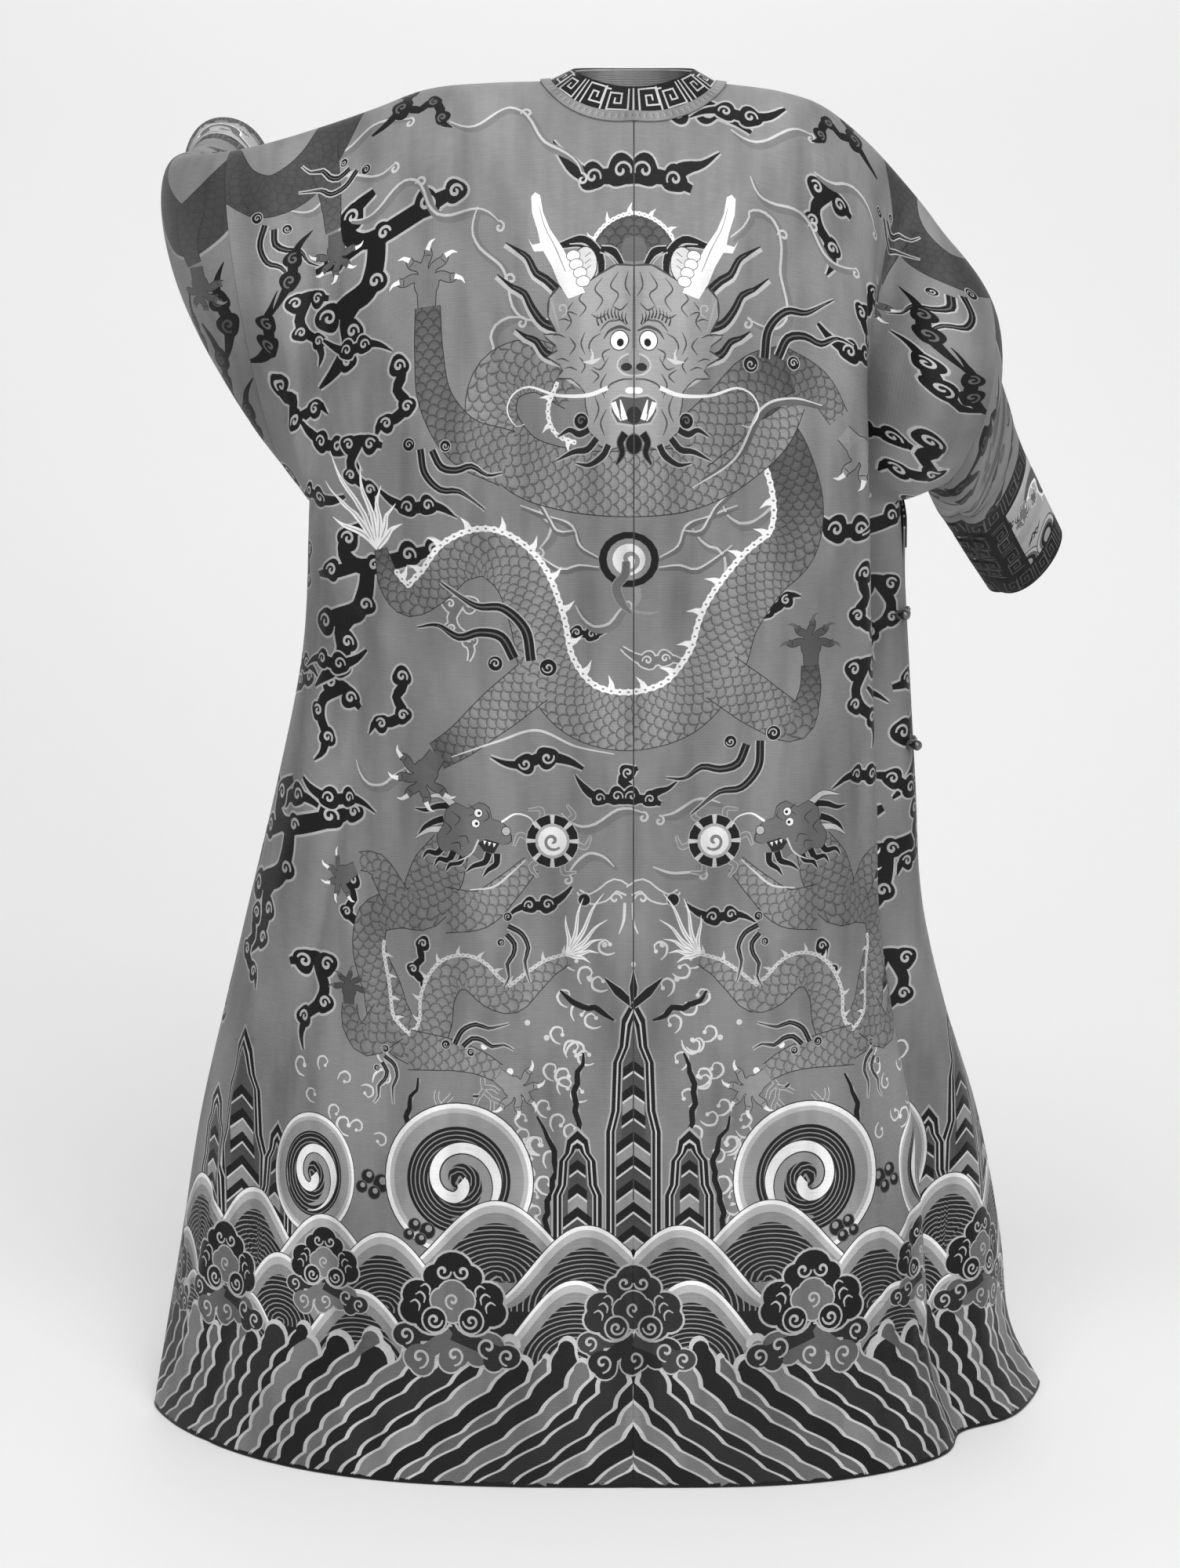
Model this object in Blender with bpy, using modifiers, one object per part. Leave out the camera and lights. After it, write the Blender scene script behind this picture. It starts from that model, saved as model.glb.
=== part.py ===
"""A full-length dragon robe, filled out as if worn, with its neck, hem and cuffs open.

The wearer would face -Y, so the back of the robe faces +Y and the wearer's left arm is at +X.
The origin is the middle of the shoulder line, where the wearer's shoulders hold the robe up.

Each half of the robe is one cloth, named by its side (left or right) and its face (back or
front).  A point of it is given by two numbers:
  across  distance from the centre seam along the shoulder and the arm, in metres
  down    0 on the shoulder line, 1 at the underarm and 2 at the hem
"""

import math

import bmesh
import bpy
import numpy as np
from mathutils import Matrix, Vector

# ---------------------------------------------------------------- driving dimensions (metres)

WALL = 0.002             # silk tapestry, lining and the paste between them
SEAM = 0.0003            # gap left between neighbouring pieces
ARMPIT_HEIGHT = -0.44
HEM_HEIGHT = -1.43
SIDE_SEAM = 0.405        # across at the underarm
SLEEVE_SEAM = 0.430      # across where the sleeve length is sewn on
BAND_SEAM = 0.740        # across where the fret band begins
CUFF_SEAM = 0.775        # across where the horse-hoof cuff begins
CUFF_BORDER = 0.872      # across where the border round the cuff's mouth begins
CUFF_END = 0.900
CUFF_STRIP = 0.62        # down at which the border along the underside of the cuff begins
CUFF_GAP = 0.00075       # half the gap there, as a share of the way down the cuff
NECK_HALF = 0.088        # across from the centre to the neck on the shoulder line
NECK_DROP = {"back": 0.072, "front": 0.095}
NECK_RING_HALF = 0.063   # the neck opening inside the fret band
NECK_RING_DEPTH = {"back": 0.056, "front": -0.058}
NECK_RING_HEIGHT = {"back": -0.005, "side": 0.010, "front": 0.008}
COLLAR_WALL = 0.0015
LINING_WALL = 0.001
BRAID_WIDTH = 0.008
BRAID_WALL = 0.0012
BRAID_CLEAR = 0.001      # from the neck edge to the braid
LAY_CLEAR = 0.0006       # clearance under what lies on a curved panel
LAPEL_LIFT = 0.0042      # how far the overlap lies above the piece under it
LAPEL_RISE = 0.05        # across over which it rises from the centre seam
LAPEL_BAND = 0.030       # width of the fret band along the overlap's edge
BALL_RADIUS = 0.0055
SHANK_RADIUS = 0.0016
SHANK_LENGTH = 0.0060
LOOP_RADIUS = 0.0015
LOOP_LOW = 0.0028        # height of a loop's middle over the cloth at its button

SIGN = {"left": 1.0, "right": -1.0}
OTHER = {"left": "right", "right": "left", "back": "front", "front": "back"}


def table(names, rows):
    """A table as one array for each named column."""
    return dict(zip(names.split(), np.array(rows, float).T))


# Level sections of the body.  side_y is where the side seams lie, flat and corner shape the
# plan: a high flat keeps the back and front broad, a low corner makes the side seams sharp.
BODY = table("height  left   right  back   front  side_y_left side_y_right flat corner", [
    (-0.44, 0.341, 0.283, 0.150, -0.165, 0.000,  0.000, 2.3, 2.2),
    (-0.60, 0.350, 0.293, 0.152, -0.170, 0.000,  0.000, 2.4, 2.0),
    (-0.74, 0.378, 0.302, 0.165, -0.180, 0.000,  0.000, 2.5, 1.9),
    (-0.88, 0.412, 0.312, 0.185, -0.195, 0.000,  0.000, 2.6, 1.8),
    (-0.98, 0.436, 0.335, 0.204, -0.210, 0.002, -0.002, 2.8, 1.7),
    (-1.10, 0.464, 0.372, 0.228, -0.230, 0.005, -0.006, 2.9, 1.6),
    (-1.25, 0.489, 0.402, 0.256, -0.255, 0.010, -0.015, 3.1, 1.5),
    (-1.36, 0.508, 0.418, 0.281, -0.272, 0.015, -0.028, 3.2, 1.40),
    (-1.43, 0.520, 0.452, 0.297, -0.285, 0.020, -0.055, 3.3, 1.30),
])

# The deep fold that takes up the cloth of the right back.  Above the underarm it dies away
# towards the shoulder by itself.
FOLD = table("down across depth half_width", [
    (1.00, 0.345, 0.055, 0.030),
    (1.30, 0.336, 0.040, 0.028),
    (1.60, 0.312, 0.036, 0.028),
    (1.85, 0.288, 0.040, 0.030),
    (2.00, 0.276, 0.030, 0.032),
])

# The sleeves: the line along the top of the arm, the underarm seam below it, how far the
# cloth stands out behind and before, and how far that fullness sags.
ARM_COLUMNS = "across top_x top_y top_z low_x low_y low_z back front sag"
ARM = {
    "left": table(ARM_COLUMNS, [
        (0.000, 0.000,  0.000,  0.010, 0.341,  0.000, -0.440, 0.100, 0.100, 0.00),
        (0.088, 0.088,  0.000, -0.002, 0.341,  0.000, -0.440, 0.100, 0.100, 0.00),
        (0.145, 0.145,  0.000, -0.004, 0.341,  0.000, -0.440, 0.100, 0.100, 0.00),
        (0.220, 0.219,  0.000, -0.012, 0.341,  0.000, -0.440, 0.100, 0.100, 0.00),
        (0.270, 0.267,  0.000, -0.030, 0.341,  0.000, -0.440, 0.090, 0.090, 0.00),
        (0.330, 0.322, -0.002, -0.049, 0.341,  0.000, -0.440, 0.080, 0.080, 0.00),
        (0.405, 0.395, -0.004, -0.070, 0.341,  0.000, -0.440, 0.070, 0.080, 0.00),
        (0.450, 0.434, -0.014, -0.077, 0.370, -0.010, -0.395, 0.058, 0.080, 0.00),
        (0.500, 0.466, -0.048, -0.081, 0.394, -0.045, -0.350, 0.048, 0.070, 0.00),
        (0.560, 0.474, -0.105, -0.084, 0.424, -0.110, -0.300, 0.046, 0.056, 0.00),
        (0.650, 0.466, -0.195, -0.084, 0.440, -0.200, -0.250, 0.040, 0.048, 0.00),
        (0.740, 0.460, -0.285, -0.079, 0.448, -0.285, -0.212, 0.036, 0.044, 0.00),
        (0.820, 0.458, -0.365, -0.072, 0.452, -0.365, -0.200, 0.040, 0.048, 0.00),
        (0.900, 0.460, -0.445, -0.066, 0.454, -0.440, -0.200, 0.048, 0.054, 0.00),
    ]),
    "right": table(ARM_COLUMNS, [
        (0.000,  0.000,  0.000,  0.010, -0.283,  0.000, -0.440, 0.100, 0.100, 0.000),
        (0.088, -0.088,  0.000, -0.004, -0.283,  0.000, -0.440, 0.100, 0.100, 0.000),
        (0.157, -0.157,  0.000, -0.014, -0.283,  0.000, -0.440, 0.100, 0.100, 0.000),
        (0.195, -0.191,  0.000, -0.025, -0.283,  0.000, -0.440, 0.100, 0.100, 0.000),
        (0.250, -0.236,  0.000, -0.058, -0.283,  0.000, -0.440, 0.090, 0.090, 0.000),
        (0.310, -0.280,  0.000, -0.104, -0.283,  0.000, -0.440, 0.080, 0.080, 0.000),
        (0.405, -0.332, -0.002, -0.175, -0.283,  0.000, -0.440, 0.078, 0.070, 0.000),
        (0.440, -0.345, -0.014, -0.205, -0.315,  0.010, -0.425, 0.064, 0.065, 0.000),
        (0.500, -0.362, -0.048, -0.252, -0.342, -0.015, -0.446, 0.030, 0.060, 0.010),
        (0.560, -0.380, -0.088, -0.296, -0.350, -0.075, -0.462, 0.022, 0.052, 0.020),
        (0.650, -0.398, -0.147, -0.345, -0.356, -0.150, -0.474, 0.024, 0.046, 0.030),
        (0.740, -0.414, -0.205, -0.390, -0.364, -0.215, -0.492, 0.026, 0.042, 0.030),
        (0.820, -0.440, -0.253, -0.444, -0.388, -0.262, -0.540, 0.028, 0.038, 0.020),
        (0.900, -0.470, -0.300, -0.507, -0.416, -0.300, -0.586, 0.032, 0.038, 0.010),
    ]),
}

# The free edge of the overlap from the middle of the neck to the right underarm, and the
# edge of the under flap behind it: metres down from the shoulder line at each across.
LAPEL_EDGE = table("across drop", [
    (0.000, 0.108),
    (0.045, 0.112),
    (0.090, 0.128),
    (0.150, 0.175),
    (0.240, 0.285),
    (0.330, 0.400),
    (0.405, 0.462),
])
FLAP_EDGE = table("across drop", [
    (0.005, 0.1075),
    (0.045, 0.1115),
    (0.088, 0.1260),
    (0.120, 0.2600),
    (0.155, 0.4400),
])


# The toggles, from the neck down: where each button sits, measured round the right side from
# the centre back and down from the shoulder line, the direction its loop runs from it, and
# how high the loop's legs lie over the cloth of the under piece.
TOGGLES = table("round_side drop run fall leg_lift", [
    (0.750, 0.100, 0.34, 0.94, 0.0078),
    (0.604, 0.221, 0.77, 0.64, 0.0078),
    (0.500, 0.353, 0.73, 0.68, 0.0078),
    (0.382, 0.560, 1.00, 0.00, 0.0066),
    (0.382, 0.700, 1.00, 0.00, 0.0066),
])

# One half of a loop, from the end of its leg to the head round the shank: distance from the
# button, half the width there, and how far it has risen from the button onto the overlap.
LOOP_HALF = [
    (0.0400, 0.0019, 1.0),
    (0.0240, 0.0019, 1.0),
    (0.0130, 0.0021, 1.0),
    (0.0060, 0.0038, 0.2),
    (-0.0010, 0.0037, 0.0),
    (-0.0037, 0.0016, 0.0),
]


# ---------------------------------------------------------------- curves

def smooth(at, values, where):
    """A soft curve through the rows of a table, which may rise or fall in its first column."""
    if at[0] > at[-1]:
        at, values = at[::-1], values[::-1]
    where = np.clip(where, at[0], at[-1])
    step = np.diff(at)
    slope = np.diff(values) / step
    lean = np.concatenate([slope[:1],
                           (slope[:-1] * step[1:] + slope[1:] * step[:-1]) / (step[1:] + step[:-1]),
                           slope[-1:]])
    k = np.clip(np.searchsorted(at, where, side="right") - 1, 0, len(step) - 1)
    t = (where - at[k]) / step[k]
    return ((1 + 2 * t) * (1 - t) ** 2 * values[k] + t * (1 - t) ** 2 * step[k] * lean[k]
            + t * t * (3 - 2 * t) * values[k + 1] + t * t * (t - 1) * step[k] * lean[k + 1])


def ramp(value, low, high):
    """0 below low, 1 above high, and a soft step between."""
    t = np.clip((value - low) / (high - low), 0.0, 1.0)
    return t * t * (3 - 2 * t)


def running_length(points):
    """Distance walked along a line of points, starting from 0."""
    steps = np.linalg.norm(np.diff(points, axis=0), axis=1)
    return np.concatenate([[0.0], np.cumsum(steps)])


def along(points, shares):
    """Points at shares of the length of a line of points."""
    walked = running_length(points)
    return np.stack([np.interp(np.asarray(shares) * walked[-1], walked, points[:, k])
                     for k in range(points.shape[1])], axis=1)


# ---------------------------------------------------------------- the form of the cloth

def fold_depth(down, across):
    """How far the deep fold draws the cloth in."""
    depth, middle, width = (smooth(FOLD["down"], FOLD[name], down)
                            for name in ("depth", "across", "half_width"))
    return depth * np.exp(-((across - middle) / width) ** 2)


def body_line(side, face, down, shares):
    """One level line of the body, from the centre seam (share 0) to the side seam (share 1)."""
    height = ARMPIT_HEIGHT + (HEM_HEIGHT - ARMPIT_HEIGHT) * (down - 1)
    row = {name: smooth(BODY["height"], column, height) for name, column in BODY.items()}
    turn = np.linspace(0, math.pi / 2, 181)
    side_y = row["side_y_" + side]
    plan = np.stack([row[side] * np.sin(turn) ** (2 / row["flat"]),
                     side_y + (row[face] - side_y) * np.cos(turn) ** (2 / row["corner"])], axis=1)
    plan = along(plan, np.linspace(0, 1, 181))
    if (side, face) == ("right", "back"):
        tangent = np.gradient(plan, axis=0)
        tangent /= np.linalg.norm(tangent, axis=1)[:, None]
        inward = np.stack([tangent[:, 1], -tangent[:, 0]], axis=1)
        across = np.linspace(0, SIDE_SEAM, 181)
        plan = plan + inward * fold_depth(down, across)[:, None]
    plan = along(plan, shares)
    return np.stack([SIGN[side] * plan[:, 0], plan[:, 1], np.full(len(plan), height)], axis=1)


def arm_point(side, name, across):
    """A point of the arm line (top) or of the underarm seam (low)."""
    rows = ARM[side]
    return np.array([smooth(rows["across"], rows[name + axis], across) for axis in ("_x", "_y", "_z")])


def hanging_line(side, face, across, downs):
    """One line of cloth from the shoulder or arm line (down 0) to the underarm (down 1)."""
    rows = ARM[side]
    top = arm_point(side, "top", across)
    run = (arm_point(side, "top", across + 0.03) - arm_point(side, "top", max(across - 0.03, 0)))[:2]
    run /= np.linalg.norm(run)
    out = np.array([-run[1], run[0], 0.0]) * SIGN[side] * (1 if face == "back" else -1)
    on_body = 1 - ramp(across, SIDE_SEAM - 0.08, SIDE_SEAM)
    if across <= SIDE_SEAM:
        low = body_line(side, face, 1.0, np.array([across / SIDE_SEAM]))[0]
    else:
        beyond = rows["across"] > SIDE_SEAM - 1e-6
        low = np.array([smooth(rows["across"][beyond], rows["low" + axis][beyond], across)
                        for axis in ("_x", "_y", "_z")])
    fullness = smooth(rows["across"], rows[face], across) * 4 / 3
    sag = np.array([0, 0, smooth(rows["across"], rows["sag"], across)])
    above = out * (fullness * (1 - on_body) + 0.68 * abs(low[1] - top[1]) * on_body)
    below = (out * fullness - sag) * (1 - on_body)
    below[2] += 0.5 * (top[2] - low[2]) * on_body
    t = np.linspace(0, 1, 61)[:, None]
    line = ((1 - t) ** 3 * top + 3 * (1 - t) ** 2 * t * (top + above)
            + 3 * (1 - t) * t * t * (low + below) + t ** 3 * low)
    return along(line, downs)


def down_at(drop):
    """The down number at a distance below the shoulder line."""
    drop = np.asarray(drop, float)
    below = (drop + ARMPIT_HEIGHT) / (ARMPIT_HEIGHT - HEM_HEIGHT)
    return np.where(drop < -ARMPIT_HEIGHT, drop / -ARMPIT_HEIGHT, 1 + below)


def neck_drop(face, across):
    """Distance of the neck edge below the shoulder line: it is cut as a quarter round."""
    if across >= NECK_HALF:
        return 0.0
    return NECK_DROP[face] * math.sqrt(1 - (across / NECK_HALF) ** 2)


def cloth(side, face, across, downs):
    """Points of the cloth's outer side at one across and several downs."""
    points = np.empty((len(downs), 3))
    above = downs <= 1
    if above.any():
        points[above] = hanging_line(side, face, across, downs[above])
    for k in np.flatnonzero(~above):
        points[k] = body_line(side, face, downs[k], np.array([min(across / SIDE_SEAM, 1.0)]))[0]
    return points


def facing_out(side, face, across, downs):
    """Unit directions out of the cloth, from two short steps on it."""
    step = 1e-3
    beside = (cloth(side, face, min(across + step, CUFF_END), downs)
              - cloth(side, face, max(across - step, 0.0), downs))
    lowest = 2.0 if across <= SIDE_SEAM else 1.0
    below = (cloth(side, face, across, np.minimum(downs + step, lowest))
             - cloth(side, face, across, np.maximum(downs - step, 0.0)))
    out = np.cross(beside, below) * SIGN[side] * (1 if face == "back" else -1)
    return out / np.maximum(np.linalg.norm(out, axis=1), 1e-12)[:, None]


def wall_directions(side, face, across, downs):
    """facing_out, shared with the neighbouring piece along every seam so that walls meet."""
    out = facing_out(side, face, across, downs)
    if across <= SEAM:
        out += facing_out(OTHER[side], face, across, downs)
    on_side_seam = (downs > 1) & (across > SIDE_SEAM - SEAM)
    on_fold = (downs <= 2 * SEAM) & (across >= NECK_HALF)
    on_underarm = (downs >= 1 - SEAM) & (downs <= 1) & (across > SIDE_SEAM - SEAM)
    shared = on_side_seam | on_fold | on_underarm
    if shared.any():
        out[shared] += facing_out(side, OTHER[face], across, downs)[shared]
    return out / np.maximum(np.linalg.norm(out, axis=1), 1e-12)[:, None]


# ---------------------------------------------------------------- solids

SHARP_ANGLE = math.radians(40)
RIM_ORDER = np.array([0.3, 0.1, 1.0])   # rims that face each other are split from the same end
GROUND = (0.30, 0.30, 0.29)
DARK = (0.03, 0.03, 0.03)
LIGHT = (0.62, 0.61, 0.58)
BRASS = (0.55, 0.53, 0.48)


def clear_scene():
    """Starts from an empty scene."""
    for thing in list(bpy.data.objects):
        bpy.data.objects.remove(thing, do_unlink=True)


def finish_material(name, colour, roughness, metallic=0.0):
    """A plain Principled material for one piece."""
    material = bpy.data.materials.new(name)
    material.use_nodes = True
    shader = material.node_tree.nodes["Principled BSDF"]
    shader.inputs["Base Color"].default_value = (*colour, 1.0)
    shader.inputs["Roughness"].default_value = roughness
    shader.inputs["Metallic"].default_value = metallic
    return material


def add_piece(name, mesh, colour, roughness=0.6, metallic=0.0):
    """Puts a finished mesh in the robe's collection under its own name."""
    piece = bpy.data.objects.new(name, mesh)
    robe.objects.link(piece)
    mesh.materials.append(finish_material(name + "_finish", colour, roughness, metallic))
    mesh.shade_smooth()
    mesh.set_sharp_from_angle(angle=SHARP_ANGLE)
    return piece


def add_wall(name, outer, inner, cells, colour):
    """A cloth wall lofted between an outer and an inner grid of points.

    cells says which squares of the grid are cloth.  With as many squares as rows of points
    the grid closes on itself, as round a sleeve.
    """
    columns, rows = outer.shape[:2]
    mesh = bpy.data.meshes.new(name)
    build = bmesh.new()
    used = np.zeros((columns, rows), bool)
    for i, j in np.argwhere(cells):
        for a, b in ((i, j), (i + 1, j), (i, j + 1), (i + 1, j + 1)):
            used[a, b % rows] = True
    skin = {}
    for layer, grid in enumerate((outer, inner)):
        for i, j in np.argwhere(used):
            skin[layer, i, j] = build.verts.new(grid[i, j])
    rim = set()
    for i, j in np.argwhere(cells):
        corners = [(i, j), (i + 1, j), (i + 1, (j + 1) % rows), (i, (j + 1) % rows)]
        for three in (corners[:3], corners[2:] + corners[:1]):
            build.faces.new([skin[(0, *corner)] for corner in three])
            build.faces.new([skin[(1, *corner)] for corner in reversed(three)])
        for edge in zip(corners, corners[1:] + corners[:1]):
            if edge[::-1] in rim:
                rim.remove(edge[::-1])
            else:
                rim.add(edge)
    for edge in sorted(rim):
        upper, lower = sorted(edge, key=lambda corner: -outer[corner] @ RIM_ORDER)
        build.faces.new([skin[(0, *upper)], skin[(0, *lower)], skin[(1, *lower)]])
        build.faces.new([skin[(0, *upper)], skin[(1, *lower)], skin[(1, *upper)]])
    bmesh.ops.recalc_face_normals(build, faces=build.faces)
    build.to_mesh(mesh)
    build.free()
    return add_piece(name, mesh, colour)


def panel_grid(side, face, acrosses, downs_of, lift_of=None, wall=WALL):
    """Outer and inner points of a panel, one line of cloth for each across."""
    outer, inner = [], []
    for across in acrosses:
        downs = downs_of(across)
        out = wall_directions(side, face, across, downs)
        lift = lift_of(across) if lift_of else 0.0
        line = cloth(side, face, across, downs) + out * lift
        outer.append(line)
        inner.append(line - out * wall)
    return np.array(outer), np.array(inner)


def even(start, end, count):
    """Evenly spaced numbers over count squares."""
    return np.linspace(start, end, count + 1)


HALF_GAP = SEAM / 2
LOWER_ROWS = 22
UPPER = np.array([0.0, 0.03, 0.09, 0.17, 0.26, 0.35, 0.44, 0.53, CUFF_STRIP, 0.71, 0.80, 0.90, 1.0])
UPPER_ROWS = len(UPPER) - 1
STRIP_ROW = list(UPPER).index(CUFF_STRIP)
LOWER = even(1.0, 2.0, LOWER_ROWS)[1:]


def body_downs(face, end_of=None):
    """Rows of a body panel: from its neck or shoulder edge to the underarm, then to the hem."""
    def downs(across):
        start = down_at(max(neck_drop(face, across), HALF_GAP))
        end = end_of(across) if end_of else 1.0
        if across > SIDE_SEAM:
            end -= 2 * SEAM
        return np.concatenate([start + (end - start) * UPPER, LOWER])
    return downs


def body_cells(acrosses, first_lower=0):
    """Squares of a T-shaped panel: the body, and the upper sleeve beside it."""
    cells = np.ones((len(acrosses) - 1, UPPER_ROWS + LOWER_ROWS), bool)
    cells[acrosses[1:] > SIDE_SEAM, UPPER_ROWS:] = False
    cells[:first_lower, UPPER_ROWS:] = False
    return cells


NECK_PARTS = 6           # squares in a quarter of the neck
NECK_STEPS = [NECK_HALF * math.sin(math.pi / 2 * k / NECK_PARTS) for k in range(1, NECK_PARTS + 1)]


BODY_STEPS = {
    "left": [0.120, 0.155, 0.190, 0.225, 0.260, 0.300, 0.340, 0.375],
    "right": [0.120, 0.155, 0.190, 0.225, 0.258, 0.288, 0.310, 0.328, 0.345, 0.362, 0.382],
}


def body_acrosses(side):
    """Columns of a body panel from the centre seam to the sleeve seam."""
    return np.array([HALF_GAP] + NECK_STEPS + BODY_STEPS[side]
                    + [SIDE_SEAM - HALF_GAP, SLEEVE_SEAM - HALF_GAP])


def add_backs():
    """The two halves of the back, with their upper sleeves."""
    for side in SIGN:
        acrosses = body_acrosses(side)
        outer, inner = panel_grid(side, "back", acrosses, body_downs("back"))
        add_wall("back_" + side, outer, inner, body_cells(acrosses), GROUND)


def add_front_left():
    """The left half of the front, with the left upper sleeve."""
    acrosses = body_acrosses("left")
    outer, inner = panel_grid("left", "front", acrosses, body_downs("front"))
    add_wall("front_left", outer, inner, body_cells(acrosses), GROUND)


def add_front_right():
    """The right shoulder and upper sleeve, with the flap that hangs under the overlap."""
    acrosses = body_acrosses("right")
    acrosses[0] = FLAP_EDGE["across"][0]

    def end_of(across):
        return down_at(smooth(FLAP_EDGE["across"], FLAP_EDGE["drop"], across)) \
            if across < FLAP_EDGE["across"][-1] else 1.0

    outer, inner = panel_grid("right", "front", acrosses, body_downs("front", end_of))
    flap = int(np.flatnonzero(acrosses >= FLAP_EDGE["across"][-1] - 1e-6)[0])
    add_wall("front_right", outer, inner, body_cells(acrosses, flap), GROUND)


def lapel_drops(across):
    """Rows of the overlap: its free edge, the lower edge of its band, then evenly to the hem."""
    edge = smooth(LAPEL_EDGE["across"], LAPEL_EDGE["drop"], across)
    return np.concatenate([[edge], even(edge + LAPEL_BAND, -HEM_HEIGHT, UPPER_ROWS + LOWER_ROWS - 4)])


def lapel_lift(across):
    """The overlap rises from the centre seam to lie on the piece under it."""
    return LAPEL_LIFT * ramp(across, 0.0, LAPEL_RISE)


def add_overlap():
    """The outer right half of the front, and the fret band laid along its free edge."""
    acrosses = np.array([HALF_GAP, 0.022, 0.045, 0.068, 0.090, 0.120, 0.150, 0.185, 0.220, 0.255,
                         0.290, 0.325, 0.355, 0.382, SIDE_SEAM - HALF_GAP])
    outer, inner = panel_grid("right", "front", acrosses,
                              lambda across: down_at(lapel_drops(across)), lapel_lift)
    cells = np.ones((len(acrosses) - 1, outer.shape[1] - 1), bool)
    add_wall("front_overlap", outer, inner, cells, GROUND)
    out = (outer - inner) / WALL
    below = outer[:, :2] + out[:, :2] * SEAM
    above = below + out[:, :2] * BRAID_WALL
    add_wall("overlap_band", above, below, cells[:, :1], DARK)


def ring_grid(side, acrosses, downs, wall=WALL):
    """Outer and inner points all round a sleeve: down its back half and up its front half."""
    back = panel_grid(side, "back", acrosses, lambda across: downs, wall=wall)
    front = panel_grid(side, "front", acrosses, lambda across: downs, wall=wall)
    return [np.concatenate([b, f[:, -2:0:-1]], axis=1) for b, f in zip(back, front)]


def add_sleeves():
    """The sleeve lengths, the fret bands, the horse-hoof cuffs and the cuffs' borders."""
    for side in SIGN:
        for name, start, end, count, colour in (
                ("sleeve_", SLEEVE_SEAM, BAND_SEAM, 9, GROUND),
                ("cuff_band_", BAND_SEAM, CUFF_SEAM, 2, DARK)):
            outer, inner = ring_grid(side, even(start + HALF_GAP, end - HALF_GAP, count), UPPER)
            cells = np.ones((count, outer.shape[1]), bool)
            add_wall(name + side, outer, inner, cells, colour)
        add_cuff(side)


def add_cuff(side):
    """The light cuff over the top of the wrist, and the border round its mouth and below it."""
    over = np.concatenate([UPPER[:STRIP_ROW], [CUFF_STRIP - CUFF_GAP, CUFF_STRIP + CUFF_GAP],
                           UPPER[STRIP_ROW + 1:]])
    top_rows = STRIP_ROW + 1
    acrosses = even(CUFF_SEAM + HALF_GAP, CUFF_BORDER - HALF_GAP, 4)
    outer, inner = ring_grid(side, acrosses, over)
    around = outer.shape[1]
    top = np.ones((4, around), bool)
    top[:, top_rows - 1:around - top_rows + 1] = False
    add_wall("cuff_" + side, outer, inner, top, LIGHT)
    acrosses = np.concatenate([even(CUFF_SEAM + HALF_GAP, CUFF_BORDER + HALF_GAP, 4), [CUFF_END]])
    outer, inner = ring_grid(side, acrosses, over)
    border = np.ones((5, around), bool)
    border[:4, :top_rows] = False
    border[:4, around - top_rows:] = False
    add_wall("cuff_edge_" + side, outer, inner, border, DARK)


def neck_point(turn, grow=0.0):
    """A point of the neck edge of the cloth, grow outside it; turn 0 is the centre back."""
    sine, cosine = math.sin(2 * math.pi * turn), math.cos(2 * math.pi * turn)
    side = "left" if sine >= 0 else "right"
    face = "back" if cosine >= 0 else "front"
    drop = (NECK_DROP[face] + grow) * abs(cosine)
    return hanging_line(side, face, (NECK_HALF + grow) * abs(sine), np.array([down_at(drop)]))[0]


def neck_ring_point(turn):
    """A point of the inner edge of the neck band."""
    sine, cosine = math.sin(2 * math.pi * turn), math.cos(2 * math.pi * turn)
    face = "back" if cosine >= 0 else "front"
    side_height = NECK_RING_HEIGHT["side"]
    return np.array([NECK_RING_HALF * sine, NECK_RING_DEPTH[face] * abs(cosine),
                     side_height + (NECK_RING_HEIGHT[face] - side_height) * cosine ** 2])


def ring_walls(lines):
    """Points and outward directions of a band lofted through lines that run round the neck."""
    grid = np.array(lines)
    around = np.roll(grid, -1, axis=1) - np.roll(grid, 1, axis=1)
    inward = np.gradient(grid, axis=0)
    out = np.cross(inward, around)
    out /= np.linalg.norm(out, axis=2)[:, :, None]
    return grid, out


def add_neck():
    """The fret band round the neck, its lining and the light braid along its outer edge."""
    turns = np.arange(4 * NECK_PARTS) / (4 * NECK_PARTS)
    band, out = ring_walls([[neck_point(turn) * (1 - share) + neck_ring_point(turn) * share
                             for turn in turns] for share in (0.02, 0.16, 0.58, 1.0)])
    cells = np.ones((3, len(turns)), bool)
    add_wall("collar_band", band, band - out * COLLAR_WALL, cells, DARK)
    lining, out = (band - out * (COLLAR_WALL + SEAM))[1:], out[1:]
    add_wall("neck_lining", lining, lining - out * LINING_WALL, cells[1:], LIGHT)
    turns = np.arange(8 * NECK_PARTS) / (8 * NECK_PARTS)
    braid, out = ring_walls([[neck_point(turn, grow) for turn in turns]
                             for grow in (BRAID_CLEAR + BRAID_WIDTH, BRAID_CLEAR)])
    braid += out * LAY_CLEAR
    cells = np.ones((1, len(turns)), bool)
    add_wall("collar_braid", braid + out * BRAID_WALL, braid, cells, LIGHT)


def toggle_point(round_side, drop, lift):
    """A point over the right side, round_side metres from the centre back towards the front."""
    face = "back" if round_side <= SIDE_SEAM else "front"
    across = round_side if face == "back" else 2 * SIDE_SEAM - round_side
    downs = np.array([down_at(drop)])
    point = cloth("right", face, across, downs)[0]
    return point + wall_directions("right", face, across, downs)[0] * lift


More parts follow.
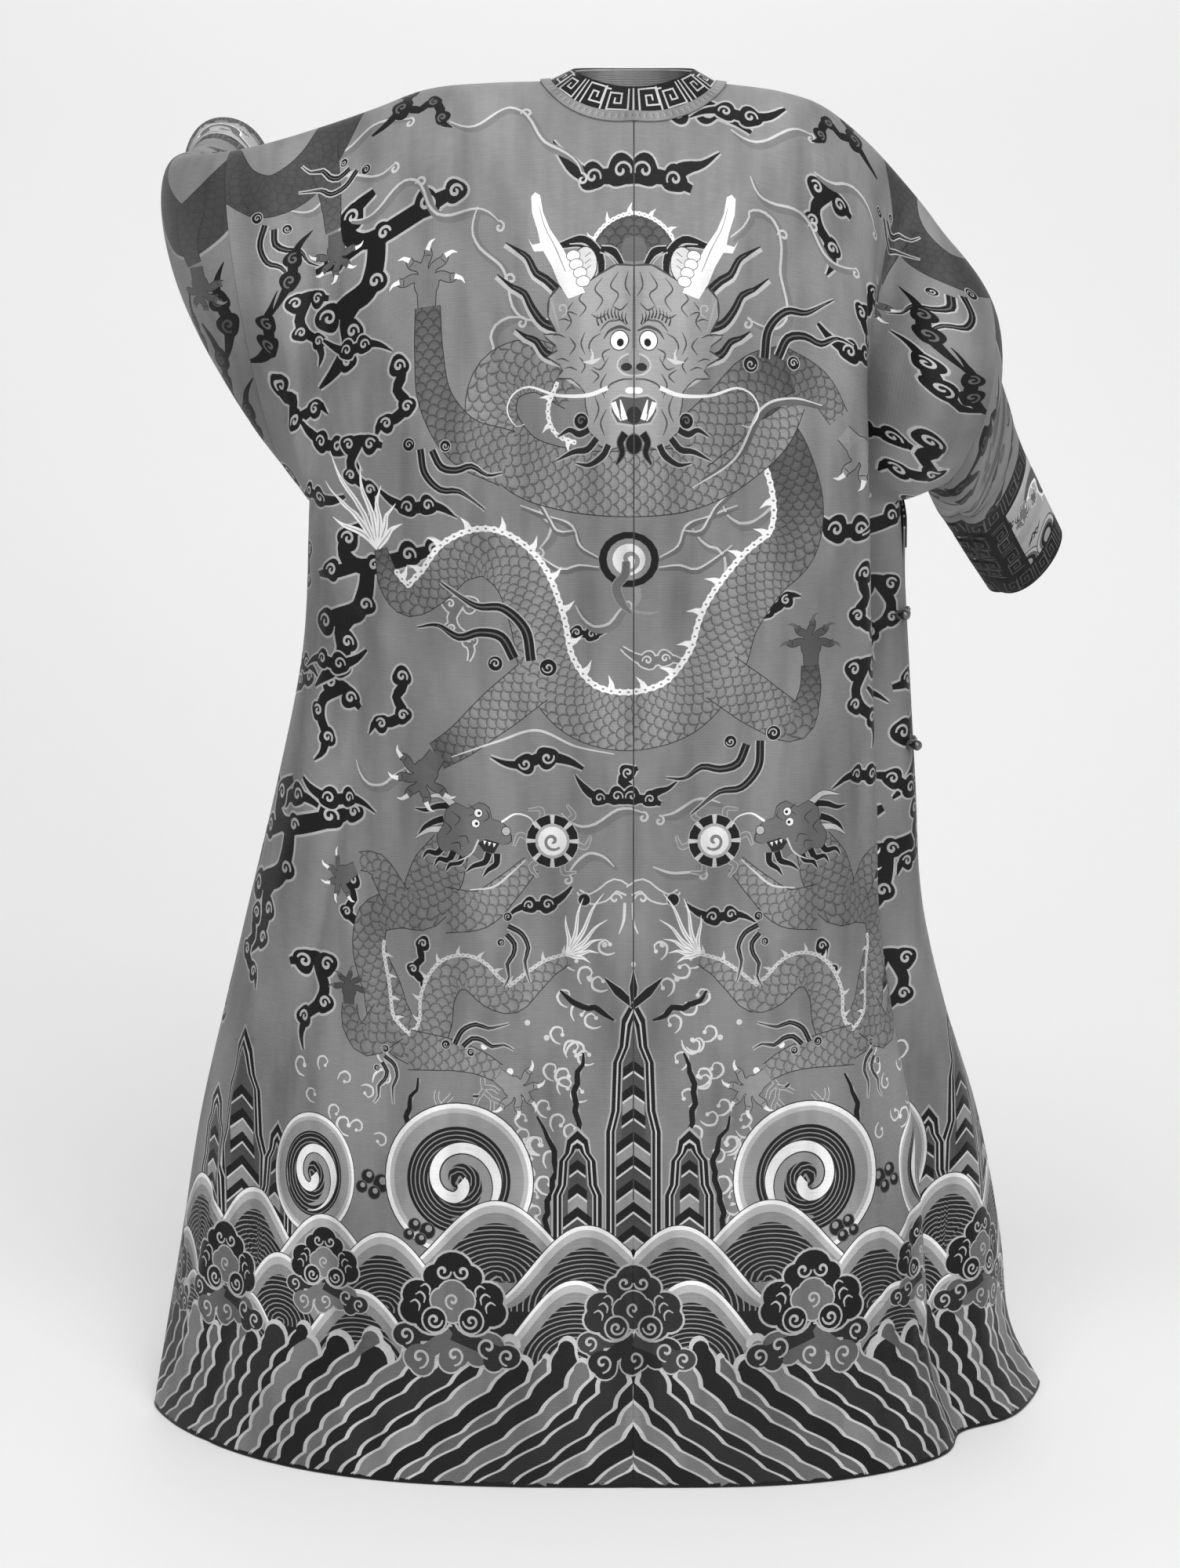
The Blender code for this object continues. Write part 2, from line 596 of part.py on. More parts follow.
def add_button(name, seat, out):
    """A ball button on its short shank, turned about its axis and stood on the cloth."""
    top = SHANK_LENGTH + 2 * BALL_RADIUS
    profile = [(0.0, top)]
    for k in range(1, 6):
        angle = math.pi * k / 6
        profile.append((BALL_RADIUS * math.sin(angle),
                        top - BALL_RADIUS + BALL_RADIUS * math.cos(angle)))
    profile += [(SHANK_RADIUS, SHANK_LENGTH), (SHANK_RADIUS, SEAM), (0.0, SEAM)]
    mesh = bpy.data.meshes.new(name)
    mesh.from_pydata([(r, 0.0, z) for r, z in profile],
                     [(k, k + 1) for k in range(len(profile) - 1)], [])
    button = add_piece(name, mesh, BRASS, 0.35, 0.9)
    screw = button.modifiers.new("turned", "SCREW")
    screw.steps = 8
    screw.render_steps = 8
    screw.use_merge_vertices = True
    screw.merge_threshold = 0.0001
    button.matrix_world = (Matrix.Translation(Vector(seat))
                           @ Vector(out).to_track_quat("Z", "Y").to_matrix().to_4x4())


def add_loop(name, row):
    """A cord loop: it goes round the button's shank and its two legs lie on the overlap."""
    path = []
    for reach, half, lift in LOOP_HALF:
        path.append((reach, -half, lift))
    for reach, half, lift in LOOP_HALF[::-1]:
        path.append((reach, half, lift))
    curve = bpy.data.curves.new(name, "CURVE")
    curve.dimensions = "3D"
    curve.bevel_depth = LOOP_RADIUS
    curve.bevel_resolution = 2
    curve.use_fill_caps = True
    spline = curve.splines.new("POLY")
    spline.points.add(len(path) - 1)
    for knot, (reach, half, share) in zip(spline.points, path):
        lift = LOOP_LOW + (row["leg_lift"] - LOOP_LOW) * share
        point = toggle_point(row["round_side"] + row["run"] * reach - row["fall"] * half,
                             row["drop"] + row["fall"] * reach + row["run"] * half, lift)
        knot.co = (*point, 1.0)
    curve.materials.append(finish_material(name + "_finish", DARK, 0.7))
    robe.objects.link(bpy.data.objects.new(name, curve))


def add_toggles():
    """The five buttons and their loops, from the neck down the overlap and the right side."""
    for k in range(len(TOGGLES["drop"])):
        row = {column: float(values[k]) for column, values in TOGGLES.items()}
        seat = toggle_point(row["round_side"], row["drop"], 0.0)
        out = toggle_point(row["round_side"], row["drop"], 1.0) - seat
        add_button(f"button_{k + 1}", seat, out)
        add_loop(f"loop_{k + 1}", row)


clear_scene()
robe = bpy.data.collections.new("dragon_robe")
bpy.context.scene.collection.children.link(robe)
add_backs()
add_front_left()
add_front_right()
add_overlap()
add_sleeves()
add_neck()
add_toggles()
print(len(robe.objects), "pieces")
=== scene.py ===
# %% [markdown]
# # A dragon robe of silk tapestry
#
# The real robe is woven, not embroidered: every dragon, cloud and wave is its own patch of
# coloured weft, flush with the ground.  So the whole dress here is one idea repeated.  The
# cloth is a curved sheet, and the pattern is cut into its faces, the way a weaver's cartoon
# is filled in, so that every edge stays crisp however close you look.
#
# We begin by loading the imported model as a fixed frame and counting its parts.

# %% Load the frame
import math

import bpy
import bmesh
import numpy as np
from mathutils import Matrix, Vector
from mathutils.geometry import delaunay_2d_cdt


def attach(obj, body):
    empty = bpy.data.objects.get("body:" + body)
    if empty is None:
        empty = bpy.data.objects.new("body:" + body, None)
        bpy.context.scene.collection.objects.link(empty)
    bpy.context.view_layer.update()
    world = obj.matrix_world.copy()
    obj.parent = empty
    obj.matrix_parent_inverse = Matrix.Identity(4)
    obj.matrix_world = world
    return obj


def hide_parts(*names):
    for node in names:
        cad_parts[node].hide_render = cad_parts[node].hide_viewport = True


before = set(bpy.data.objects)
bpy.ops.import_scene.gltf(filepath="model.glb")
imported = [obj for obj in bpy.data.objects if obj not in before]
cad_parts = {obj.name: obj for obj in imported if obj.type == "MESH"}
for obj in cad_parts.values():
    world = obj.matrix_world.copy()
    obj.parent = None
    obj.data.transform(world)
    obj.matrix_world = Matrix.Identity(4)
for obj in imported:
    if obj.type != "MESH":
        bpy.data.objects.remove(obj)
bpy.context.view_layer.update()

print("nodes:", len(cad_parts))

# %% [markdown]
# ## The sizes of the robe
#
# The sheet has to lie exactly on the solids, so it is made from the same few numbers: level
# sections of the body, a line along the top of each arm and one along its underside.  Two
# coordinates name a point of the cloth, as on a tailor's draft: *across*, out from the centre
# seam along the shoulder, and *down*, 0 at the shoulder line, 1 at the underarm, 2 at the hem.

# %% Sizes of the body
ARMPIT_HEIGHT = -0.44
HEM_HEIGHT = -1.43
SIDE_SEAM = 0.405
SLEEVE_SEAM = 0.430
BAND_SEAM = 0.740
CUFF_SEAM = 0.775
CUFF_BORDER = 0.872
CUFF_END = 0.900
NECK_HALF = 0.088
NECK_DROP = {"back": 0.072, "front": 0.095}
SIGN = {"left": 1.0, "right": -1.0}


def table(names, rows):
    """A table as one array for each named column."""
    return dict(zip(names.split(), np.array(rows, float).T))


# Level sections of the body.  side_y is where the side seams lie, flat and corner shape the
# plan: a high flat keeps the back and front broad, a low corner makes the side seams sharp.
BODY = table("height  left   right  back   front  side_y_left side_y_right flat corner", [
    (-0.44, 0.341, 0.283, 0.150, -0.165, 0.000,  0.000, 2.3, 2.2),
    (-0.60, 0.350, 0.293, 0.152, -0.170, 0.000,  0.000, 2.4, 2.0),
    (-0.74, 0.378, 0.302, 0.165, -0.180, 0.000,  0.000, 2.5, 1.9),
    (-0.88, 0.412, 0.312, 0.185, -0.195, 0.000,  0.000, 2.6, 1.8),
    (-0.98, 0.436, 0.335, 0.204, -0.210, 0.002, -0.002, 2.8, 1.7),
    (-1.10, 0.464, 0.372, 0.228, -0.230, 0.005, -0.006, 2.9, 1.6),
    (-1.25, 0.489, 0.402, 0.256, -0.255, 0.010, -0.015, 3.1, 1.5),
    (-1.36, 0.508, 0.418, 0.281, -0.272, 0.015, -0.028, 3.2, 1.40),
    (-1.43, 0.520, 0.452, 0.297, -0.285, 0.020, -0.055, 3.3, 1.30),
])

# The deep fold that takes up the cloth of the right back.  Above the underarm it dies away
# towards the shoulder by itself.
FOLD = table("down across depth half_width", [
    (1.00, 0.345, 0.055, 0.030),
    (1.30, 0.336, 0.040, 0.028),
    (1.60, 0.312, 0.036, 0.028),
    (1.85, 0.288, 0.040, 0.030),
    (2.00, 0.276, 0.030, 0.032),
])
print("level sections:", len(BODY["height"]))

# %% Sizes of the arms and of the overlap
# The sleeves: the line along the top of the arm, and how far the cloth stands out behind and
# before.
ARM_COLUMNS = "across x y z back front"
ARM = {
    "left": table(ARM_COLUMNS, [
        (0.000, 0.000,  0.000,  0.010, 0.100, 0.100),
        (0.088, 0.088,  0.000, -0.002, 0.100, 0.100),
        (0.145, 0.145,  0.000, -0.004, 0.100, 0.100),
        (0.220, 0.219,  0.000, -0.012, 0.100, 0.100),
        (0.270, 0.267,  0.000, -0.030, 0.090, 0.090),
        (0.330, 0.322, -0.002, -0.049, 0.080, 0.080),
        (0.405, 0.395, -0.004, -0.070, 0.070, 0.080),
        (0.450, 0.434, -0.014, -0.077, 0.058, 0.080),
        (0.500, 0.466, -0.048, -0.081, 0.048, 0.070),
        (0.560, 0.474, -0.105, -0.084, 0.046, 0.056),
        (0.650, 0.466, -0.195, -0.084, 0.040, 0.048),
        (0.740, 0.460, -0.285, -0.079, 0.036, 0.044),
        (0.820, 0.458, -0.365, -0.072, 0.040, 0.048),
        (0.900, 0.460, -0.445, -0.066, 0.048, 0.054),
    ]),
    "right": table(ARM_COLUMNS, [
        (0.000,  0.000,  0.000,  0.010, 0.100, 0.100),
        (0.088, -0.088,  0.000, -0.004, 0.100, 0.100),
        (0.157, -0.157,  0.000, -0.014, 0.100, 0.100),
        (0.195, -0.191,  0.000, -0.025, 0.100, 0.100),
        (0.250, -0.236,  0.000, -0.058, 0.090, 0.090),
        (0.310, -0.280,  0.000, -0.104, 0.080, 0.080),
        (0.405, -0.332, -0.002, -0.175, 0.078, 0.070),
        (0.440, -0.345, -0.014, -0.205, 0.064, 0.065),
        (0.500, -0.362, -0.048, -0.252, 0.030, 0.060),
        (0.560, -0.380, -0.088, -0.296, 0.022, 0.052),
        (0.650, -0.398, -0.147, -0.345, 0.024, 0.046),
        (0.740, -0.414, -0.205, -0.390, 0.026, 0.042),
        (0.820, -0.440, -0.253, -0.444, 0.028, 0.038),
        (0.900, -0.470, -0.300, -0.507, 0.032, 0.038),
    ]),
}

# The underarm seam from the side seam of the body on, and how far the cloth sags there.
UNDERARM_COLUMNS = "across x y z sag"
UNDERARM = {
    "left": table(UNDERARM_COLUMNS, [
        (0.405, 0.341,  0.000, -0.440, 0.00),
        (0.450, 0.370, -0.010, -0.395, 0.00),
        (0.500, 0.394, -0.045, -0.350, 0.00),
        (0.560, 0.424, -0.110, -0.300, 0.00),
        (0.650, 0.440, -0.200, -0.250, 0.00),
        (0.740, 0.448, -0.285, -0.212, 0.00),
        (0.820, 0.452, -0.365, -0.200, 0.00),
        (0.900, 0.454, -0.440, -0.200, 0.00),
    ]),
    "right": table(UNDERARM_COLUMNS, [
        (0.405, -0.283,  0.000, -0.440, 0.000),
        (0.440, -0.315,  0.010, -0.425, 0.000),
        (0.500, -0.342, -0.015, -0.446, 0.010),
        (0.560, -0.350, -0.075, -0.462, 0.020),
        (0.650, -0.356, -0.150, -0.474, 0.030),
        (0.740, -0.364, -0.215, -0.492, 0.030),
        (0.820, -0.388, -0.262, -0.540, 0.020),
        (0.900, -0.416, -0.300, -0.586, 0.010),
    ]),
}

# The free edge of the overlap from the middle of the neck to the right underarm: metres down
# from the shoulder line at each across.
LAPEL_EDGE = table("across drop", [
    (0.000, 0.108),
    (0.045, 0.112),
    (0.090, 0.128),
    (0.150, 0.175),
    (0.240, 0.285),
    (0.330, 0.400),
    (0.405, 0.462),
])
print("arm stations:", len(ARM["left"]["across"]))

# %% [markdown]
# ## The form of the cloth
#
# These curves are the ones that shaped the solids.  A level line of the body is a broad oval
# with a crease at each side seam; a hanging line falls from the arm to the underarm.

# %% Curves of the form
PLAN_POINTS = 181            # points in one level line before it is read at even shares
TURN_OF_ARM = 0.03           # how far each way an arm line is read for its direction
BODY_FULLNESS = 0.68         # pull of a hanging line towards the body's own depth


def smooth(at, values, where):
    """A soft curve through the rows of a table, which may rise or fall in its first column."""
    if at[0] > at[-1]:
        at, values = at[::-1], values[::-1]
    where = np.clip(where, at[0], at[-1])
    step = np.diff(at)
    slope = np.diff(values) / step
    lean = np.concatenate([slope[:1],
                           (slope[:-1] * step[1:] + slope[1:] * step[:-1]) / (step[1:] + step[:-1]),
                           slope[-1:]])
    k = np.clip(np.searchsorted(at, where, side="right") - 1, 0, len(step) - 1)
    t = (where - at[k]) / step[k]
    return ((1 + 2 * t) * (1 - t) ** 2 * values[k] + t * (1 - t) ** 2 * step[k] * lean[k]
            + t * t * (3 - 2 * t) * values[k + 1] + t * t * (t - 1) * step[k] * lean[k + 1])


def ramp(value, low, high):
    """0 below low, 1 above high, and a soft step between."""
    t = np.clip((value - low) / (high - low), 0.0, 1.0)
    return t * t * (3 - 2 * t)


def running_length(points):
    """Distance walked along a line of points, starting from 0."""
    steps = np.linalg.norm(np.diff(points, axis=0), axis=1)
    return np.concatenate([[0.0], np.cumsum(steps)])


def along(points, shares):
    """Points at shares of the length of a line of points."""
    walked = running_length(points)
    return np.stack([np.interp(np.asarray(shares) * walked[-1], walked, points[:, k])
                     for k in range(points.shape[1])], axis=1)


def directions(line):
    """Unit steps along a flat line and to its left, at each of its points."""
    ahead = np.gradient(line, axis=0)
    ahead /= np.maximum(np.linalg.norm(ahead, axis=1), 1e-9)[:, None]
    return ahead, np.stack([-ahead[:, 1], ahead[:, 0]], axis=1)


def fold_depth(down, across):
    """How far the deep fold draws the cloth in."""
    depth, middle, width = (smooth(FOLD["down"], FOLD[name], down)
                            for name in ("depth", "across", "half_width"))
    return depth * np.exp(-((across - middle) / width) ** 2)


def body_line(side, face, down, shares):
    """One level line of the body, from the centre seam (share 0) to the side seam (share 1)."""
    height = ARMPIT_HEIGHT + (HEM_HEIGHT - ARMPIT_HEIGHT) * (down - 1)
    row = {name: smooth(BODY["height"], column, height) for name, column in BODY.items()}
    turn = np.linspace(0, math.pi / 2, PLAN_POINTS)
    side_y = row["side_y_" + side]
    plan = np.stack([row[side] * np.sin(turn) ** (2 / row["flat"]),
                     side_y + (row[face] - side_y) * np.cos(turn) ** (2 / row["corner"])], axis=1)
    plan = along(plan, np.linspace(0, 1, PLAN_POINTS))
    if (side, face) == ("right", "back"):
        outward = directions(plan)[1]
        across = np.linspace(0, SIDE_SEAM, PLAN_POINTS)
        plan = plan - outward * fold_depth(down, across)[:, None]
    plan = along(plan, shares)
    return np.stack([SIGN[side] * plan[:, 0], plan[:, 1], np.full(len(plan), height)], axis=1)


def line_point(rows, across):
    """A point of the line that a table gives."""
    return np.array([smooth(rows["across"], rows[axis], across) for axis in "xyz"])


def hanging_line(side, face, across, downs):
    """One line of cloth from the shoulder or arm line (down 0) to the underarm (down 1)."""
    rows, seam = ARM[side], UNDERARM[side]
    top = line_point(rows, across)
    run = (line_point(rows, across + TURN_OF_ARM) - line_point(rows, max(across - TURN_OF_ARM, 0)))[:2]
    run /= np.linalg.norm(run)
    out = np.array([-run[1], run[0], 0.0]) * SIGN[side] * (1 if face == "back" else -1)
    on_body = 1 - ramp(across, SIDE_SEAM - 0.08, SIDE_SEAM)
    if across <= SIDE_SEAM:
        low = body_line(side, face, 1.0, np.array([across / SIDE_SEAM]))[0]
    else:
        low = line_point(seam, across)
    fullness = smooth(rows["across"], rows[face], across) * 4 / 3
    sag = np.array([0, 0, smooth(seam["across"], seam["sag"], across)])
    above = out * (fullness * (1 - on_body) + BODY_FULLNESS * abs(low[1] - top[1]) * on_body)
    below = (out * fullness - sag) * (1 - on_body)
    below[2] += 0.5 * (top[2] - low[2]) * on_body
    t = np.linspace(0, 1, 61)[:, None]
    line = ((1 - t) ** 3 * top + 3 * (1 - t) ** 2 * t * (top + above)
            + 3 * (1 - t) * t * t * (low + below) + t ** 3 * low)
    return along(line, downs)


print("centre back at the underarm:", np.round(hanging_line("left", "back", 0.0, np.array([1.0])), 3))

# %% [markdown]
# ## The cloth laid flat
#
# A pattern is drawn on flat cloth, so every panel gets flat coordinates in metres: x across
# from the centre seam, y down from the shoulder line.  The body widens towards its hem, and
# the weavers draw the cloth at its full width there, so x is stretched to the true length of
# each level line.  Evaluating the form once on a fine grid, and reading between its rows
# afterwards, places a hundred thousand points in a moment.

# %% Grids of the form
DEPTH = -ARMPIT_HEIGHT               # flat length from the shoulder line to the underarm
LENGTH = -HEM_HEIGHT                 # and to the hem
ACROSS = np.linspace(0.0, CUFF_END, 121)
UPPER_DOWN = np.linspace(0.0, 1.0, 45)
LOWER_ACROSS = np.linspace(0.0, SIDE_SEAM, 61)
LOWER_DOWN = np.linspace(1.0, 2.0, 100)
PANELS = [(side, face) for side in SIGN for face in ("back", "front")]
UPPER_GRID = {panel: np.array([hanging_line(*panel, across, UPPER_DOWN) for across in ACROSS])
              for panel in PANELS}
LOWER_GRID = {panel: np.stack([body_line(*panel, down, LOWER_ACROSS / SIDE_SEAM)
                               for down in LOWER_DOWN], axis=1) for panel in PANELS}


def weights(position):
    """The four rows next to a fractional row number, each with its share."""
    base = np.floor(position).astype(int)
    t = position - base
    shares = (-0.5 * t + t ** 2 - 0.5 * t ** 3, 1 - 2.5 * t ** 2 + 1.5 * t ** 3,
              0.5 * t + 2 * t ** 2 - 1.5 * t ** 3, -0.5 * t ** 2 + 0.5 * t ** 3)
    return [(base + k - 1, share) for k, share in enumerate(shares)]


def between_rows(grid, i, j):
    """A smooth reading of a grid of points at fractional row and column numbers."""
    total = 0.0
    for row, row_share in weights(i):
        row = np.clip(row, 0, grid.shape[0] - 1)
        for column, column_share in weights(j):
            column = np.clip(column, 0, grid.shape[1] - 1)
            total = total + grid[row, column] * (row_share * column_share)[:, None]
    return total


def on_form(panel, across, down):
    """Points of the bare form at many places at once."""
    points = np.empty((len(across), 3))
    upper = down <= 1
    points[upper] = between_rows(UPPER_GRID[panel], across[upper] / CUFF_END * (len(ACROSS) - 1),
                                 down[upper] * (len(UPPER_DOWN) - 1))
    points[~upper] = between_rows(LOWER_GRID[panel],
                                  across[~upper] / SIDE_SEAM * (len(LOWER_ACROSS) - 1),
                                  (down[~upper] - 1) * (len(LOWER_DOWN) - 1))
    return points


print("grid points:", sum(g.size // 3 for g in UPPER_GRID.values()))

# %% Flat coordinates
LEVELS = DEPTH + (LENGTH - DEPTH) * (LOWER_DOWN - 1)
LEVEL_WIDTH = {panel: np.linalg.norm(np.diff(grid, axis=0), axis=2).sum(axis=0)
               for panel, grid in LOWER_GRID.items()}


def stretch(panel, y):
    """How much wider the cloth is at a level than at its shoulder."""
    wide = LEVEL_WIDTH[panel] / SIDE_SEAM
    below = np.interp(y, LEVELS, wide)
    return np.where(y >= DEPTH, below, 1 + (wide[0] - 1) * (np.clip(y, 0, DEPTH) / DEPTH) ** 2)


def down_of(y):
    """The down number at a flat distance from the shoulder line."""
    return np.where(y <= DEPTH, y / DEPTH, 1 + (y - DEPTH) / (LENGTH - DEPTH))


def flat_of(panel, across, down):
    """Flat coordinates of places on the cloth."""
    y = np.where(down <= 1, down * DEPTH, DEPTH + (down - 1) * (LENGTH - DEPTH))
    return np.stack([across * stretch(panel, y), y], axis=1)


def cloth_of(panel, flat):
    """Across and down of flat coordinates."""
    return np.maximum(flat[:, 0], 0) / stretch(panel, flat[:, 1]), down_of(flat[:, 1])


for panel in PANELS:
    print(panel, "half width at the hem:", round(float(LEVEL_WIDTH[panel][-1]), 3))

# %% [markdown]
# ## Soft creases
#
# The robe hangs over a round form and its silk has taken soft creases: long ones that fall
# from the underarms, short ones fanned round the elbows, and a pinch along the centre seam
# near the hem.  A cloth simulation would give some creases, never these, so each is put in
# as a soft trough or ridge along a short path and laid on both skins.

# %% Crease paths
# For each panel: depth in mm (negative is a trough), half width in mm, then the path as pairs
# of millimetres across and hundredths down.
CREASES = {
    ("left", "back"): [
        (-6.0, 20, [(300, 105), (285, 130), (290, 160), (315, 200)]),
        (5.0, 22, [(335, 110), (330, 140), (340, 175), (355, 198)]),
        (-4.0, 14, [(385, 93), (350, 75), (325, 52), (310, 34)]),
        (4.0, 15, [(400, 80), (372, 62), (350, 40), (345, 26)]),
        (-4.0, 13, [(398, 66), (392, 45), (388, 25)]),
        (-4.0, 16, [(385, 102), (330, 98), (270, 105), (215, 110)]),
        (3.5, 16, [(370, 106), (310, 108), (250, 115)]),
        (-3.0, 18, [(190, 120), (185, 145), (200, 170)]),
        (-3.0, 12, [(110, 3), (150, 14), (200, 22), (260, 26)]),
        (-5.0, 16, [(4, 166), (3, 182), (2, 200)]),
        (2.5, 22, [(45, 160), (60, 180), (70, 199)]),
    ],
    ("right", "back"): [
        (-3.0, 12, [(110, 3), (150, 14), (200, 22)]),
        (-5.0, 16, [(4, 166), (3, 182), (2, 200)]),
        (2.5, 22, [(45, 162), (60, 180), (75, 199)]),
        (-4.0, 15, [(250, 30), (272, 50), (285, 75), (300, 95)]),
        (4.5, 16, [(215, 35), (240, 60), (262, 90), (270, 120)]),
        (-4.0, 16, [(262, 115), (255, 135), (245, 160), (225, 198)]),
        (4.0, 18, [(225, 125), (215, 150), (195, 180), (180, 198)]),
        (-4.0, 12, [(398, 60), (420, 70), (426, 85)]),
        (4.0, 12, [(372, 40), (395, 62), (412, 86)]),
        (-3.5, 14, [(330, 20), (355, 42), (372, 66)]),
    ],
    ("left", "front"): [
        (-5.0, 20, [(300, 105), (295, 130), (300, 160), (320, 198)]),
        (5.0, 22, [(240, 110), (235, 140), (230, 175), (235, 198)]),
        (-4.0, 14, [(385, 93), (345, 75), (320, 52), (300, 36)]),
        (-4.0, 18, [(120, 125), (125, 150), (130, 180), (140, 198)]),
        (-3.0, 12, [(120, 5), (160, 18), (210, 28)]),
    ],
    ("right", "front"): [
        (-5.0, 20, [(300, 115), (295, 135), (300, 160), (320, 198)]),
        (5.0, 22, [(240, 115), (235, 140), (230, 175), (235, 198)]),
        (-4.0, 18, [(120, 125), (125, 150), (130, 180), (140, 198)]),
        (-3.5, 14, [(330, 20), (350, 42), (365, 60)]),
    ],
}


def path_points(path):
    """A soft path through a few points, as across and down."""
    path = np.array(path) / [1000, 100]
    numbers = np.arange(len(path))
    fine = np.linspace(0, len(path) - 1, (len(path) - 1) * 6 + 1)
    return np.stack([smooth(numbers, path[:, k], fine) for k in range(path.shape[1])], axis=1)


def crease_height(panel, across, down):
    """How far the creases lift or sink the cloth at many places."""
    height = np.zeros(len(across))
    where = flat_of(panel, across, down)
    for depth, half, path in CREASES[panel]:
        line = flat_of(panel, *path_points(path).T)
        reach = 3 * half / 1000
        near = ((where > line.min(axis=0) - reach) & (where < line.max(axis=0) + reach)).all(axis=1)
        if not near.any():
            continue
        a, b = line[:-1], line[1:]
        step = b - a
        away = where[near][:, None] - a
        t = np.clip((away * step).sum(axis=2) / (step ** 2).sum(axis=1), 0, 1)
        gap = np.linalg.norm(away - t[..., None] * step, axis=2)
        best = gap.argmin(axis=1)
        along_path = (best + t[np.arange(len(best)), best]) / len(step)
        fade = np.sin(math.pi * np.clip(along_path * 0.92 + 0.04, 0, 1)) ** 0.7
        wide = half / 1000 * (0.75 + 0.35 * np.sin(3.1 * along_path * math.pi + depth))
        height[near] += depth / 1000 * fade * np.exp(-(gap.min(axis=1) / wide) ** 2)
    edge = np.where(down > 1, ramp(SIDE_SEAM - across, 0.0, 0.02), 1.0)
    edge = edge * np.where(down <= 1, ramp(down, 0.0, 0.05), 1.0)
    under_arm = np.where((down <= 1) & (across > SIDE_SEAM - 0.02), ramp(1 - down, 0.0, 0.10), 1.0)
    return height * edge * under_arm


NEXT_TO = 0.0015             # distance at which the neighbours of a point are read


def place(panel, across, down, lift):
    """Points and outward directions of the creased cloth, lift metres outside it."""
    step = NEXT_TO
    lowest = np.where((across <= SIDE_SEAM) | (down > 1), 2.0, 1.0)
    beside = (on_form(panel, np.minimum(across + step, CUFF_END), down)
              - on_form(panel, np.maximum(across - step, 0.0), down))
    below = (on_form(panel, across, np.minimum(down + step, lowest))
             - on_form(panel, across, np.maximum(down - step, 0.0)))
    out = np.cross(beside, below) * SIGN[panel[0]] * (1 if panel[1] == "back" else -1)
    out /= np.maximum(np.linalg.norm(out, axis=1), 1e-12)[:, None]
    rise = crease_height(panel, across, down) + lift
    return on_form(panel, across, down) + out * rise[:, None], out


print("creases:", sum(len(rows) for rows in CREASES.values()))

# %% [markdown]
# ## Writing shader maths as sums
#
# A node tree is easier to read as arithmetic.  One small class wraps a socket, so `1 - mask`
# or `rib * 0.5` adds the Math node by itself, and one method makes any other node.

# %% Shader arithmetic
class Shade:
    """A value that varies over a surface."""

    def __init__(self, paint, socket):
        self.paint = paint
        self.socket = socket

    def math(self, operation, *others):
        return self.paint.node("ShaderNodeMath", {"operation": operation}, self, *others)

    def __add__(self, other):
        return self.math("ADD", other)

    def __sub__(self, other):
        return self.math("SUBTRACT", other)

    def __rsub__(self, other):
        return self.paint.node("ShaderNodeMath", {"operation": "SUBTRACT"}, other, self)

    def __mul__(self, other):
        return self.math("MULTIPLY", other)

    def __truediv__(self, other):
        return self.math("DIVIDE", other)

    __radd__ = __add__
    __rmul__ = __mul__

    def step(self, low, high):
        """0 below low, 1 above high, soft between."""
        return self.paint.node("ShaderNodeMapRange", {"interpolation_type": "SMOOTHSTEP"},
                               self, low, high, 0.0, 1.0)


class Paint:
    """One finish: a Principled shader and the nodes that feed it."""

    def __init__(self, name, roughness=0.6, **numbers):
        self.material = bpy.data.materials.new(name)
        self.material.use_nodes = True
        self.tree = self.material.node_tree
        self.shader = self.tree.nodes["Principled BSDF"]
        self.shader.inputs["Roughness"].default_value = roughness
        for socket, value in numbers.items():
            self.shader.inputs[socket.replace("_", " ")].default_value = value

    def node(self, kind, settings, *sockets, out=0, **named):
        """Adds a node: its settings first, then the values or links of its sockets in order."""
        node = self.tree.nodes.new(kind)
        for setting, value in settings.items():
            setattr(node, setting, value)
        live = [s for s in node.inputs if s.enabled and not s.hide]
        for socket, value in list(zip(live, sockets)) + [(node.inputs[k], v) for k, v in named.items()]:
            if value is None:
                continue
            if isinstance(value, Shade):
                self.tree.links.new(value.socket, socket)
            else:
                socket.default_value = value
        outputs = [s for s in node.outputs if s.enabled]
        return Shade(self, outputs[out])

    def feed(self, socket, value):
        """Links a varying value to the shader."""
        self.tree.links.new(value.socket, self.shader.inputs[socket])

    def mix(self, share, first, second, blend="MIX"):
        """Two colours mixed by a share."""
        return self.node("ShaderNodeMix", {"data_type": "RGBA", "blend_type": blend},
                         share, first, second)

    def parts(self, vector):
        """The x, y and z of a vector."""
        split = self.tree.nodes.new("ShaderNodeSeparateXYZ")
        self.tree.links.new(vector.socket, split.inputs[0])
        return [Shade(self, socket) for socket in split.outputs]

    def stretched_noise(self, vector, across, down, detail=3.0):
        """Noise with its own fineness across and down the cloth, per metre."""
        scaled = self.node("ShaderNodeVectorMath", {"operation": "MULTIPLY"},
                           vector, (across, down, 1.0))
        return self.node("ShaderNodeTexNoise", {}, Vector=scaled, Scale=1.0, Detail=detail)

    def bump(self, height, strength, distance):
        """Relief from a varying height."""
        relief = self.node("ShaderNodeBump", {}, Strength=strength, Distance=distance, Height=height)
        self.feed("Normal", relief)


def grey(shown):
    """The paint value of a grey that should show as this level out of 255."""
    return (shown / 255) ** 2.2


print("a mid grey is", round(grey(128), 3))
